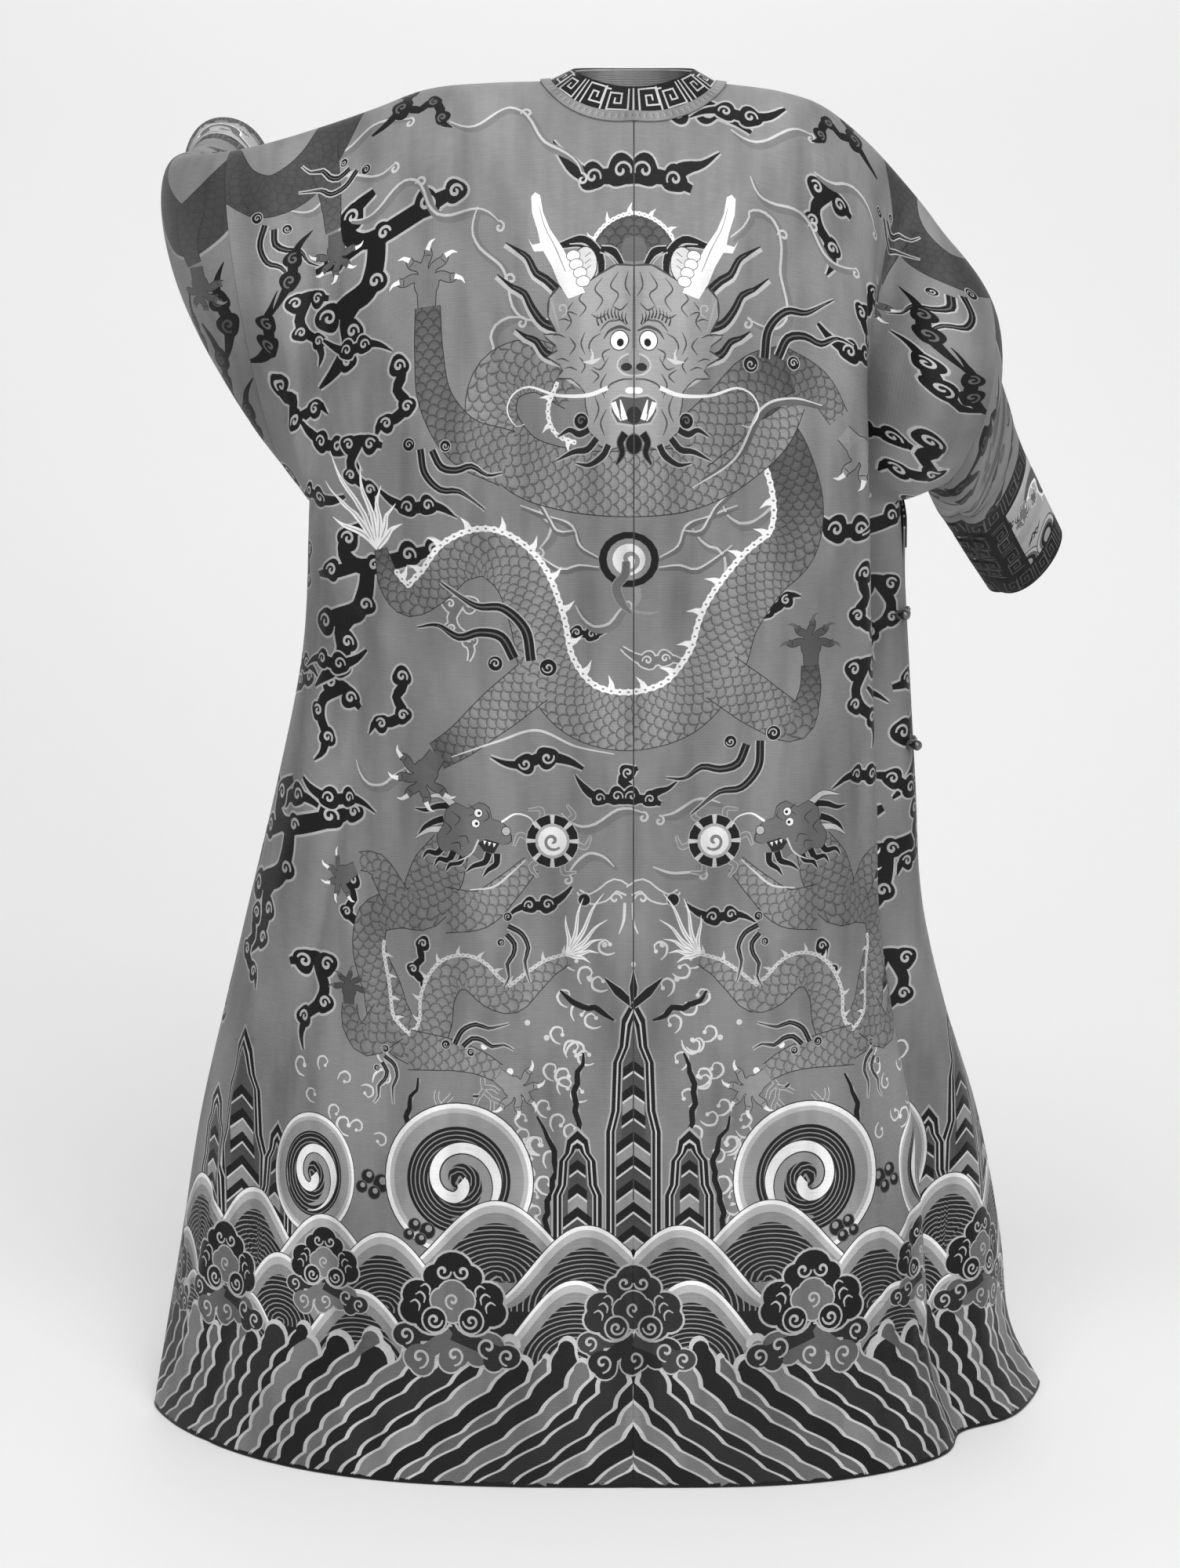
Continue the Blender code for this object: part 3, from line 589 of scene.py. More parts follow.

# %% [markdown]
# ## Silk tapestry
#
# Each face of a woven panel carries the colour of its own weft in an attribute, and a guide
# that runs along and across a dragon's body or out from the middle of a wave.  From the guide
# the finish draws what is too fine to cut: the netted scales and the thin hatching lines.
# The weft itself shows as fine level streaks, and the silk has a soft sheen.  Soft darker
# streaks down the cloth are painted shade of its folds, and near the shoulders and along the
# top of the arms the colour is painted lighter, as light from above.

# %% The woven finish
SCALE_LENGTH, SCALE_WIDTH = 0.0074, 0.0128
HATCH = 0.0046               # pitch of the hatching lines in a wave
RIB_PITCH, WARP_PITCH = 0.0016, 0.0024
NET_TONE, HATCH_TONE = 36, 140


def plain(value):
    """A neutral colour."""
    return (value, value, value, 1.0)


def woven_silk(name, tone=None):
    """Tapestry silk: its colour comes from the faces, or is one tone all over."""
    paint = Paint(name, 0.55, Sheen_Weight=0.06, Sheen_Roughness=0.45, Specular_IOR_Level=0.22)
    lay = paint.node("ShaderNodeUVMap", {"uv_map": "cloth"})
    if tone is None:
        thread = paint.node("ShaderNodeVertexColor", {"layer_name": "thread"})
        guide = paint.parts(paint.node("ShaderNodeUVMap", {"uv_map": "guide"}))
        marks = paint.parts(paint.node("ShaderNodeAttribute", {"attribute_name": "marks"}, out=1))
        rows = guide[0] / SCALE_LENGTH
        row = rows.math("FLOOR")
        column = guide[1] / SCALE_WIDTH + row * 0.5
        tip = (column - column.math("FLOOR")) * 2.0 - 1.0
        round_off = 1.0 - tip * tip
        arch = round_off.math("SQRT")
        lean = (tip * tip * 1.3 / (round_off + 0.06) + 1.0).math("SQRT")
        gap = (rows - row - arch).math("ABSOLUTE") / lean
        net = 1.0 - gap.step(0.04, 0.17)
        shadow = (rows - row - arch) + (rows - row).math("LESS_THAN", arch)
        shaded = paint.mix(marks[0] * (shadow * 0.22), thread, plain(0.0))
        scaled = paint.mix(marks[0] * net * 0.62, shaded, plain(grey(NET_TONE)))
        line = guide[0] / HATCH
        ring = (line - line.math("FLOOR") - 0.5).math("ABSOLUTE")
        base = paint.mix(marks[1] * ring.step(0.33, 0.43), scaled, plain(grey(HATCH_TONE)))
    else:
        base = plain(grey(tone))
    streak = paint.stretched_noise(lay, 55.0, 850.0)
    patchy = paint.stretched_noise(lay, 11.0, 4.5, 4.0)
    worn = paint.mix((streak - 0.5) * 0.30 + 0.12, base, plain(0.0))
    aged = paint.mix(patchy.step(0.32, 0.68), worn, plain(1.42), "MULTIPLY")
    # Soft darker streaks running down the cloth: painted shade of the folds it hangs in.
    fold_shade_noise = paint.stretched_noise(lay, 30.0, 6.0, 2.0)
    painted_fold_shade = paint.mix(fold_shade_noise.step(0.42, 0.72) * 0.7, aged, plain(0.66), "MULTIPLY")
    ribs = paint.parts(lay)
    # Near the shoulder line and along the top line of each arm the colour is painted up to a fifth lighter,
    # as light falling from above; this fades out half a metre away.
    away_from_lit_top = ribs[1].math("ABSOLUTE").step(0.02, 0.50)
    painted_top_light = paint.mix(1.0 - away_from_lit_top, painted_fold_shade, plain(1.22), "MULTIPLY")
    paint.feed("Base Color", painted_top_light)
    paint.feed("Roughness", streak * 0.25 + 0.42)
    rib = (ribs[1] * (2 * math.pi / RIB_PITCH)).math("SINE")
    warp = (ribs[0] * (2 * math.pi / WARP_PITCH)).math("SINE")
    paint.bump(rib * 0.5 + warp * 0.35 + streak * 1.2, 0.35, 0.0006)
    return paint.material


tapestry = woven_silk("silk_tapestry")
lining_silk = woven_silk("lining_silk", 175)
print("finishes:", tapestry.name, lining_silk.name)

# %% [markdown]
# ## Camera, floor and light
#
# The robe is seen from behind, a little from above, from five metres away with a long lens,
# so its sides stay nearly parallel.  Under and behind it is a pale sweep of paper.  A wide soft
# light above and another beside the camera keep the shadows on the silk soft, and a small one
# is aimed at the backdrop.

# %% Camera
LOOK_DOWN = 11.06            # degrees below level
SENSOR = 36.0
REACH = 3.165                # focal length in widths of the sensor

camera = bpy.data.objects.new("camera", bpy.data.cameras.new("camera"))
camera.location = (0.045, 5.2, 0.27)
camera.rotation_euler = (math.radians(90 - LOOK_DOWN), 0.0, math.pi)
camera.data.sensor_width = SENSOR
camera.data.lens = REACH * SENSOR
bpy.context.scene.collection.objects.link(camera)
bpy.context.scene.camera = camera
print("lens:", round(camera.data.lens, 1), "mm")

# %% Floor and light
FLOOR_HEIGHT = HEM_HEIGHT - 0.0015
FLOOR_NEAR, FLOOR_FAR, FLOOR_HALF = 7.0, -2.2, 6.0
BEND = 1.2                   # radius of the turn from the floor to the backdrop
BACKDROP_TOP = 5.0


def sweep_floor():
    """A floor that turns up softly into a backdrop, which is clear when seen from outside."""
    mesh = bpy.data.meshes.new("paper_sweep")
    profile = [(FLOOR_NEAR, 0.0), (FLOOR_FAR, 0.0)]
    profile += [(FLOOR_FAR - BEND * math.sin(a), BEND - BEND * math.cos(a))
                for a in np.linspace(0, math.pi / 2, 14)[1:]]
    profile += [(FLOOR_FAR - BEND, BACKDROP_TOP)]
    points = [(x, y, FLOOR_HEIGHT + z) for y, z in profile for x in (-FLOOR_HALF, FLOOR_HALF)]
    faces = [(2 * k, 2 * k + 2, 2 * k + 3, 2 * k + 1) for k in range(len(profile) - 1)]
    mesh.from_pydata(points, [], faces)
    mesh.shade_smooth()
    floor = bpy.data.objects.new("paper_sweep", mesh)
    bpy.context.scene.collection.objects.link(floor)
    paper = Paint("backdrop_paper", 0.9)
    mottle = paper.node("ShaderNodeTexNoise", {}, Scale=3.0, Detail=2.0)
    paper.feed("Base Color", paper.mix(mottle, plain(0.90), plain(0.97)))
    clear = paper.node("ShaderNodeBsdfTransparent", {})
    from_outside = paper.node("ShaderNodeNewGeometry", {}, out=6)
    shown = Shade(paper, paper.shader.outputs[0])
    surface = paper.node("ShaderNodeMixShader", {}, from_outside, shown, clear)
    paper.tree.links.new(surface.socket, paper.tree.nodes["Material Output"].inputs["Surface"])
    floor.data.materials.append(paper.material)
    return floor


floor = sweep_floor()


def soft_light(name, place_at, aim, size, power):
    """A square soft light aimed at a point."""
    data = bpy.data.lights.new(name, "AREA")
    data.size = size
    data.energy = power
    light = bpy.data.objects.new(name, data)
    light.location = place_at
    light.rotation_euler = (Vector(aim) - Vector(place_at)).to_track_quat("-Z", "Y").to_euler()
    bpy.context.scene.collection.objects.link(light)
    return light


soft_light("sky_panel", (0.2, 2.3, 3.1), (0.0, 0.1, -0.6), 2.4, 100)
soft_light("camera_side", (-1.4, 4.6, 1.9), (0.0, 0.2, -0.7), 2.4, 84)
soft_light("far_side", (0.0, -2.2, 2.4), (0.0, -3.4, 0.5), 0.9, 22)
world = bpy.data.worlds.new("studio")
world.use_nodes = True
world.node_tree.nodes["Background"].inputs["Color"].default_value = (1.0, 1.0, 1.0, 1.0)
world.node_tree.nodes["Background"].inputs["Strength"].default_value = 0.40
bpy.context.scene.world = world
bpy.context.scene.view_settings.view_transform = "Standard"

# %% [markdown]
# ## The weaver's drawing kit
#
# A cartoon is a stack of patches in flat coordinates, each painted over the last.  Nearly
# everything on a dragon robe is made of four strokes: a tapering ribbon, a curl, a disc and a
# light outline, which is the same shape drawn a little larger underneath.

# %% Strokes and patches
# The greys of the weft, as the levels out of 255 that they should show.
BLACK, CHARCOAL, DARK, MID, GROUND, GREY, PALE, LIGHT, WHITE = 22, 42, 64, 90, 122, 138, 166, 194, 228
THIN_GAP, THIN_REACH = 0.00014, 0.008    # a point this near the line between near neighbours goes


def flow(points, step=0.004):
    """A soft line through a few points, with a point every few millimetres."""
    points = np.array(points, float)
    if len(points) == 2:
        points = np.array([points[0], points.mean(axis=0), points[1]])
    ends = [2 * points[0] - points[1]], [2 * points[-1] - points[-2]]
    p = np.concatenate([ends[0], points, ends[1]])
    line = []
    for k in range(1, len(p) - 2):
        count = max(2, int(np.linalg.norm(p[k + 1] - p[k]) / step))
        t = np.arange(count)[:, None] / count
        line.append(0.5 * (2 * p[k] + (p[k + 1] - p[k - 1]) * t
                           + (2 * p[k - 1] - 5 * p[k] + 4 * p[k + 1] - p[k + 2]) * t ** 2
                           + (3 * p[k] - p[k - 1] - 3 * p[k + 1] + p[k + 2]) * t ** 3))
    line.append(p[-2:-1])
    return np.concatenate(line)


def sideways(line, widths):
    """Steps to the left of a line by half a width, which changes from its start to its end."""
    walked = running_length(line)
    width = np.interp(walked / walked[-1], np.linspace(0, 1, len(widths)), widths)
    return directions(line)[1] * (width / 2)[:, None]


def offset_line(points, offsets, step=0.004):
    """A line that runs beside another at changing distances, in half widths."""
    line = flow(points, step)
    return line + sideways(line, offsets)


def ribbon(points, widths, step):
    """The outline of a stroke whose width follows a few numbers from its start to its end."""
    line = flow(points, step)
    half = sideways(line, widths)
    return np.concatenate([line + half, (line - half)[::-1]])


def disc(x, y, rx, ry=None, parts=18):
    """A round or oval patch."""
    ry = rx if ry is None else ry
    turn = np.arange(parts) * 2 * math.pi / parts
    return np.stack([x + rx * np.cos(turn), y + ry * np.sin(turn)], axis=1)


def curl_line(x, y, radius, turns, start, hand):
    """The middle line of a curl that winds in to its eye."""
    t = np.linspace(0, 1, 22)
    turn = start + hand * t * turns * 2 * math.pi
    reach = radius * (1 - t * 0.93)
    return np.stack([x + reach * np.cos(turn), y + reach * np.sin(turn)], axis=1)


def thinned(outline):
    """The outline without the points that hardly leave the line between their neighbours."""
    for first in (1, 0, 1):
        before, after = np.roll(outline, 1, axis=0), np.roll(outline, -1, axis=0)
        way, here = after - before, outline - before
        size = np.hypot(way[:, 0], way[:, 1]) + 1e-12
        gap = np.abs(way[:, 0] * here[:, 1] - way[:, 1] * here[:, 0]) / size
        number = np.arange(len(outline))
        drop = (gap < THIN_GAP) & (size < THIN_REACH) & (number % 2 == first) & (number < len(outline) - 1)
        outline = outline[~drop]
    return outline


class Cartoon:
    """Patches in flat coordinates, each painted over the ones before it."""

    def __init__(self):
        self.patches = []
        self.extra = [np.zeros((0, 2))]

    def patch(self, outline, tone, marks=(0.0, 0.0), guide=None):
        self.patches.append((thinned(np.asarray(outline, float)), tone, marks, guide))

    def stroke(self, points, widths, tone, edge=None, edge_tone=PALE):
        """A stroke, with a lighter edge under it if asked; short ones are drawn finer."""
        length = np.linalg.norm(np.diff(np.array(points, float), axis=0), axis=1).sum()
        step = float(np.clip(length / 14, 0.0016, 0.005))
        if edge:
            self.patch(ribbon(points, [w + 2 * edge for w in widths], step), edge_tone)
        self.patch(ribbon(points, widths, step), tone)

    def curl(self, x, y, radius, turns, start, hand, width, tone):
        line = curl_line(x, y, radius, turns, start, hand)
        self.patch(ribbon(line, [width * 0.7, width, width, width * 1.3], 0.003), tone)

    def dot(self, x, y, radius, tone, parts=12):
        self.patch(disc(x, y, radius, parts=parts), tone)


class Hand:
    """A place to draw from: local millimetres are turned, scaled, mirrored and moved."""

    def __init__(self, cartoon, x, y, size=1.0, turn=0.0, mirror=False):
        self.cartoon = cartoon
        self.at = np.array([x, y])
        self.size = size
        c, s = math.cos(math.radians(turn)), math.sin(math.radians(turn))
        self.matrix = np.array([[c, -s], [s, c]]) * size / 1000
        self.flip = -1.0 if mirror else 1.0

    def lay(self, points):
        points = np.array(points, float) * [self.flip, 1.0]
        return points @ self.matrix.T + self.at

    def patch(self, outline, tone):
        self.cartoon.patch(self.lay(outline), tone)

    def stroke(self, points, widths, tone, edge=None, edge_tone=PALE):
        self.cartoon.stroke(self.lay(points), [w * self.size / 1000 for w in widths], tone,
                            edge / 1000 if edge else None, edge_tone)

    def disc(self, x, y, rx, tone, ry=None, edge=0.0, edge_tone=PALE):
        ry = rx if ry is None else ry
        if edge:
            self.patch(disc(x, y, rx + edge / self.size, ry + edge / self.size), edge_tone)
        self.patch(disc(x, y, rx, ry), tone)

    def curl(self, x, y, radius, turns, start, hand, width, tone):
        line = curl_line(x, y, radius, turns, math.radians(start), hand)
        widths = [width * k * self.size / 1000 for k in (0.7, 1, 1, 1.3)]
        self.cartoon.patch(ribbon(self.lay(line), widths, 0.0025), tone)


print("strokes ready")

# %% [markdown]
# ## Cutting the pattern into the cloth
#
# Blender's constrained Delaunay triangulation takes loose points and edges and returns
# triangles that keep every edge.  Given a grid of points for the curve of the cloth and all
# the outlines of the cartoon, it cuts the flat panel along the pattern.  Each triangle then
# asks which patch lies on top at its middle, and takes that colour.  The lining is the same
# outline cut more coarsely, set inside by the thickness of the cloth and closed at the rim.

# %% Cutting along outlines
BLOCK = 4000                 # triangles tested at once against an outline
MARGIN = 0.004               # how far beyond a panel its patches are still cut
MERGE, LINING_MERGE = 0.02, 0.001    # points of a cut closer than this, in mm, become one


def inside(outline, points):
    """For each point, whether the outline winds round it."""
    a = outline
    b = np.roll(outline, -1, axis=0)
    up = (a[:, 1] <= points[:, 1:2]) & (b[:, 1] > points[:, 1:2])
    down = (a[:, 1] > points[:, 1:2]) & (b[:, 1] <= points[:, 1:2])
    left = ((b[:, 0] - a[:, 0]) * (points[:, 1:2] - a[:, 1])
            - (points[:, 0:1] - a[:, 0]) * (b[:, 1] - a[:, 1]))
    return ((up & (left > 0)).sum(axis=1) - (down & (left < 0)).sum(axis=1)) != 0


def triangulated(flat, edges, merge):
    """Triangles over flat points that keep every edge, and the sources of each point.

    The work is done in millimetres, and points closer than merge become one.
    """
    points, _, faces, origin, *_ = delaunay_2d_cdt([Vector(p) for p in flat * 1000], edges, [], 0, merge)
    points = np.array([p[:] for p in points]) / 1000
    return points, np.array([f for f in faces if len(f) == 3]), origin


def wound(points, faces, way):
    """The triangles turned so that they all run one way round, 1 or -1."""
    corner = points[faces]
    area = np.cross(corner[:, 1] - corner[:, 0], corner[:, 2] - corner[:, 0])
    return np.where((area * way < 0)[:, None], faces[:, ::-1], faces)


def cut(outline, grid, patches):
    """Triangles of a flat region, cut along its outline and along all the patches."""
    low, high = outline.min(axis=0) - MARGIN, outline.max(axis=0) + MARGIN
    points = [outline, grid[inside(outline, grid)]]
    count = sum(len(p) for p in points)
    edges = [(k, (k + 1) % len(outline)) for k in range(len(outline))]
    for shape, *_ in patches:
        within = ((shape > low) & (shape < high)).all(axis=1)
        use = within | np.roll(within, 1) | np.roll(within, -1)
        number = np.full(len(shape), -1)
        number[use] = count + np.arange(use.sum())
        points.append(shape[use])
        count += int(use.sum())
        for k in np.flatnonzero(within | np.roll(within, -1)):
            edges.append((int(number[k]), int(number[(k + 1) % len(shape)])))
    vertices, faces, _ = triangulated(np.concatenate(points), edges, MERGE)
    middles = vertices[faces].mean(axis=1)
    keep = np.zeros(len(faces), bool)
    for block in np.array_split(np.arange(len(faces)), max(1, len(faces) // BLOCK)):
        keep[block] = inside(outline, middles[block])
    used, faces = np.unique(faces[keep], return_inverse=True)
    vertices, faces = vertices[used], faces.reshape(-1, 3)
    return vertices, wound(vertices, faces, 1)


def rim_loop(faces):
    """The directed edges that belong to one triangle only, and that triangle's number."""
    pairs = np.concatenate([faces[:, [0, 1]], faces[:, [1, 2]], faces[:, [2, 0]]])
    key = {tuple(p) for p in pairs.tolist()}
    alone = np.array([(p[1], p[0]) not in key for p in pairs.tolist()])
    owner = np.tile(np.arange(len(faces)), 3)
    return pairs[alone], owner[alone]


print("cutting ready")

# %% Painting the faces
def paint_faces(vertices, faces, patches, ground):
    """The colour, marks and guide of every face corner, from the topmost patch at its middle."""
    middles = vertices[faces].mean(axis=1)
    top = np.full(len(faces), -1)
    order = np.argsort(middles[:, 1])
    heights = middles[order, 1]
    for k, (shape, *_) in enumerate(patches):
        low, high = shape.min(axis=0), shape.max(axis=0)
        span = order[np.searchsorted(heights, low[1]):np.searchsorted(heights, high[1])]
        span = span[(middles[span, 0] >= low[0]) & (middles[span, 0] <= high[0])]
        if len(span):
            top[span[inside(shape, middles[span])]] = k
    tones = np.array([ground] + [0.0 if callable(tone) else grey(tone) for _, tone, _, _ in patches])
    thread = np.ones((len(faces), 3, 4))
    thread[:, :, :3] = tones[top + 1][:, None, None]
    marks = np.zeros((len(faces), 3, 3))
    guide = np.zeros((len(faces), 3, 2))
    for k in np.unique(top[top >= 0]):
        _, tone, mark, follow = patches[k]
        chosen = np.flatnonzero(top == k)
        places = vertices[faces[chosen]].reshape(-1, 2)
        if callable(tone):
            thread[chosen, :, :3] = grey(tone(places)).reshape(-1, 3, 1)
        if follow is not None:
            marks[chosen, :, :2] = mark
            guide[chosen] = follow(places).reshape(-1, 3, 2)
    return thread, marks, guide


def put_attribute(mesh, name, kind, field, values):
    """Stores one value for each face corner."""
    layer = mesh.attributes.new(name, kind, "CORNER")
    layer.data.foreach_set(field, np.ascontiguousarray(values, dtype=np.float32).ravel())


print("painting ready")

# %% A woven piece from a flat outline
THICKNESS = 0.0018
LINING_GAP = 0.004           # nearest that a loose point of the lining comes to its edge
CHART_SHAPE = 2.1            # width of a chart counts this much against its length
LINING_AT, RIM_AT, RIM_WIDE = 0.49, 0.985, 0.01    # where the lining and the rim begin on it


def turned_out(points, faces, put, flat):
    """Whether the triangles face the outer side of the cloth."""
    some = faces[:: max(1, len(faces) // 50)]
    corner = points[some]
    normal = np.cross(corner[:, 1] - corner[:, 0], corner[:, 2] - corner[:, 0])
    outward = put(flat[some[:, 0]], 0.01) - points[some[:, 0]]
    return (normal * outward).sum(axis=1).mean() > 0


def lining_of(outline, edge, rim, coarse):
    """The lining's points and triangles, and its own number for each point of the edge."""
    loose = coarse[inside(outline, coarse)]
    apart = [np.abs(edge - p).max(axis=1).min() > LINING_GAP for p in loose]
    points, faces, origin = triangulated(np.concatenate([edge, loose[apart]]), rim, LINING_MERGE)
    faces = faces[inside(outline, points[faces].mean(axis=1))]
    twin = {source: k for k, sources in enumerate(origin) for source in sources}
    return points, wound(points, faces, -1), twin


def chart(lay, outline, fronts, backs, rims):
    """Every corner on one chart: the outside, the lining beside it and the rim in a strip."""
    low, high = outline.min(axis=0), outline.max(axis=0)
    unit = (lay - low) / max((high - low)[1], CHART_SHAPE * (high - low)[0])
    lining_ends = 3 * (fronts + backs)
    unit[3 * fronts:lining_ends, 0] += LINING_AT
    unit[lining_ends:, 0] = RIM_AT + RIM_WIDE * np.tile([0, 1, 0.5], rims)
    unit[lining_ends:, 1] = np.repeat(np.arange(rims) / rims, 3)
    return unit


def state_cloth(piece, outline, nodes):
    """Parents a piece to the root and hides the parts it replaces; returns its area as flat cloth."""
    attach(piece, "root")
    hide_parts(*nodes)
    after = np.roll(outline, -1, axis=0)
    area = float(abs((outline[:, 0] * after[:, 1] - after[:, 0] * outline[:, 1]).sum()) / 2)
    return area


def weave(name, outline, grid, coarse, patches, put, nodes, ground=GROUND):
    """A closed piece of cloth: a cut and painted outside, a plain lining and the rim between.

    put turns flat points and a lift into points in space, and nodes names the parts of the
    model that the piece replaces.
    """
    face_points, faces = cut(outline, grid, patches)
    thread, marks, guide = paint_faces(face_points, faces, patches, grey(ground))
    rim, owner = rim_loop(faces)
    edge_points = np.unique(rim)
    number = {int(v): k for k, v in enumerate(edge_points)}
    rim_edges = [(number[int(a)], number[int(b)]) for a, b in rim]
    back_points, back_faces, twin = lining_of(outline, face_points[edge_points], rim_edges, coarse)
    outside, lining = put(face_points, 0.0), put(back_points, -THICKNESS)
    shift, fronts, backs = len(outside), len(faces), len(back_faces)
    rims = []
    for a, b in rim.tolist():
        c, d = shift + twin[number[b]], shift + twin[number[a]]
        rims += [(b, a, d), (b, d, c)]
    triangles = np.concatenate([faces, back_faces + shift, np.array(rims)])
    if not turned_out(outside, faces, put, face_points):
        triangles = triangles[:, ::-1]
        thread, marks, guide = thread[:, ::-1], marks[:, ::-1], guide[:, ::-1]
    mesh = bpy.data.meshes.new(name)
    mesh.from_pydata(np.concatenate([outside, lining]).tolist(), [], triangles.tolist())
    lay = np.concatenate([face_points, back_points])[triangles].reshape(-1, 2)
    lining_thread = np.full((backs, 3, 4), plain(grey(ground)))
    blank = np.zeros((backs + len(rims), 3, 3))
    for uv_name, values in (("OFBake", chart(lay, outline, fronts, backs, len(rims))), ("cloth", lay),
                            ("guide", np.concatenate([guide, blank[:, :, :2]]))):
        layer = mesh.uv_layers.new(name=uv_name)
        layer.data.foreach_set("uv", np.ascontiguousarray(values, dtype=np.float32).ravel())
    put_attribute(mesh, "thread", "FLOAT_COLOR", "color",
                  np.concatenate([thread, lining_thread, np.repeat(thread[owner], 2, axis=0)]))
    put_attribute(mesh, "marks", "FLOAT_VECTOR", "vector", np.concatenate([marks, blank]))
    mesh.materials.append(tapestry)
    mesh.materials.append(lining_silk)
    slots = np.zeros(len(triangles), int)
    slots[fronts:fronts + backs] = 1
    mesh.polygons.foreach_set("material_index", slots.tolist())
    mesh.shade_smooth()
    mesh.set_sharp_from_angle(angle=math.radians(50))
    piece = bpy.data.objects.new(name, mesh)
    bpy.context.scene.collection.objects.link(piece)
    area = state_cloth(piece, outline, nodes)
    print(f"{name}: {len(triangles)} triangles, {len(patches)} patches, {area:.4f} square metres")
    return piece


def spread(low, high, step):
    """A staggered grid of points over a box."""
    xs, ys = np.arange(low[0], high[0], step), np.arange(low[1], high[1], step * 0.9)
    x, y = np.meshgrid(xs, ys)
    x[1::2] += step / 2
    return np.stack([x.ravel(), y.ravel()], axis=1)


print("weaving ready")

# %% [markdown]
# ## The outlines of the pieces
#
# The body panels are T-shaped: half the body with its upper sleeve, cut in one, as narrow
# looms and thrift had it.  The edge of a piece is walked round once in across and down, with
# a point every eight millimetres or so, and then laid flat.

# %% Body panels
FINE = 0.009                 # spacing of the points that carry the curve of the cloth
EDGE_STEP = 0.008            # and of those along the edge of a piece
HALF_GAP = 0.00015
LAPEL_LIFT = 0.0042          # how far the overlap lies above the piece under it
FLAP_START, FLAP_REACH = 0.005, 0.155    # the under flap's edge runs between these acrosses
LAPEL_RISE = 0.05


def walk(*corners):
    """Evenly spaced points along straight runs between corners, in across and down."""
    run = []
    for a, b in zip(corners[:-1], corners[1:]):
        a, b = np.array(a, float), np.array(b, float)
        size = np.hypot(b[0] - a[0], (b[1] - a[1]) * (DEPTH if a[1] <= 1 and b[1] <= 1 else 0.99))
        count = max(1, int(size / EDGE_STEP))
        run.append(a + (b - a) * np.arange(count)[:, None] / count)
    return np.concatenate(run)


def neck_walk(face, start=HALF_GAP):
    """The quarter round of the neck, from the shoulder line to the centre seam."""
    turn = np.linspace(0, math.asin(1 - start / NECK_HALF), 14)[:-1]
    return np.stack([NECK_HALF * np.cos(turn), NECK_DROP[face] / DEPTH * np.sin(turn)], axis=1)


def body_outline(panel):
    """The edge of a body panel: down the centre, along the hem, and up round the sleeve."""
    top = float(NECK_DROP[panel[1]] / DEPTH)
    seam, sleeve = SIDE_SEAM, SLEEVE_SEAM - HALF_GAP
    edge = walk((HALF_GAP, top), (HALF_GAP, 2.0), (seam, 2.0), (seam, 1.0), (sleeve, 1.0),
                (sleeve, 0.0), (NECK_HALF, 0.0))
    return np.concatenate([edge, neck_walk(panel[1])])


def lapel_down(across):
    """The down numbers of the overlap's free edge."""
    return down_of(smooth(LAPEL_EDGE["across"], LAPEL_EDGE["drop"], across))


def overlap_outline():
    """The outer right front, from its sloping free edge to the hem."""
    across = np.linspace(SIDE_SEAM, HALF_GAP, 60)[:-1]
    slope = lapel_down(across)
    start = lapel_down(np.array([HALF_GAP]))[0]
    edge = walk((HALF_GAP, start), (HALF_GAP, 2.0), (SIDE_SEAM, 2.0), (SIDE_SEAM, float(slope[0])))
    return np.concatenate([edge, np.stack([across, slope], axis=1)])


def flap_outline():
    """The under piece of the right front: shoulder, upper sleeve and a flap below them."""
    across = np.array([FLAP_START, 0.045, NECK_HALF, 0.120, FLAP_REACH])
    drop = np.array([0.1075, 0.1115, 0.1260, 0.2600, 0.4400])
    free = np.linspace(FLAP_REACH, FLAP_START, 24)
    slope = np.stack([free, smooth(across, drop, free) / DEPTH], axis=1)[::-1]
    sleeve = SLEEVE_SEAM - HALF_GAP
    edge = walk((FLAP_REACH, 1.0), (SIDE_SEAM, 1.0), (sleeve, 1.0), (sleeve, 0.0), (NECK_HALF, 0.0))
    return np.concatenate([slope[:-1], edge, neck_walk("front", FLAP_START)])


def seat(panel, lifted):
    """A function that puts flat points of a panel in space."""
    def put(flat, lift):
        across, down = cloth_of(panel, flat)
        rise = 0.0
        if lifted:
            sewn = ramp(across, SIDE_SEAM - 0.04, SIDE_SEAM) * ramp(down, 1.0, 1.10)
            rise = LAPEL_LIFT * ramp(across, 0.0, LAPEL_RISE) * (1 - 0.95 * sewn)
        return place(panel, across, np.clip(down, 0, 2), lift + rise)[0]
    return put


print("corners of a back:", len(body_outline(("left", "back"))))

# %% [markdown]
# ## Sleeves as tubes cut open
#
# A sleeve is a tube cut open along the underarm and laid flat: x runs from the shoulder to
# the wrist, y round the arm from its top line, positive behind.

# %% Sleeve pieces
ROUND = {panel: np.linalg.norm(np.diff(UPPER_GRID[panel], axis=1), axis=2).sum(axis=1)
         for panel in PANELS}


def half_round(side, face, across):
    """Length of cloth from the top of the arm to the underarm."""
    return np.interp(across, ACROSS, ROUND[side, face])


def sleeve_outline(side, start, end, share=1.0):
    """The edge of a tube piece between two acrosses; share is how far round it reaches."""
    across = np.linspace(start + HALF_GAP, end - HALF_GAP, max(2, int((end - start) / EDGE_STEP)))
    back = half_round(side, "back", across) * share
    front = -half_round(side, "front", across) * share
    ends = []
    for k, (a, b) in ((-1, (back[-1], front[-1])), (0, (front[0], back[0]))):
        y = np.linspace(a, b, int(abs(b - a) / EDGE_STEP))[1:-1]
        ends.append(np.stack([np.full(len(y), across[k]), y], axis=1))
    return np.concatenate([np.stack([across, back], axis=1), ends[0],
                           np.stack([across, front], axis=1)[::-1], ends[1]])


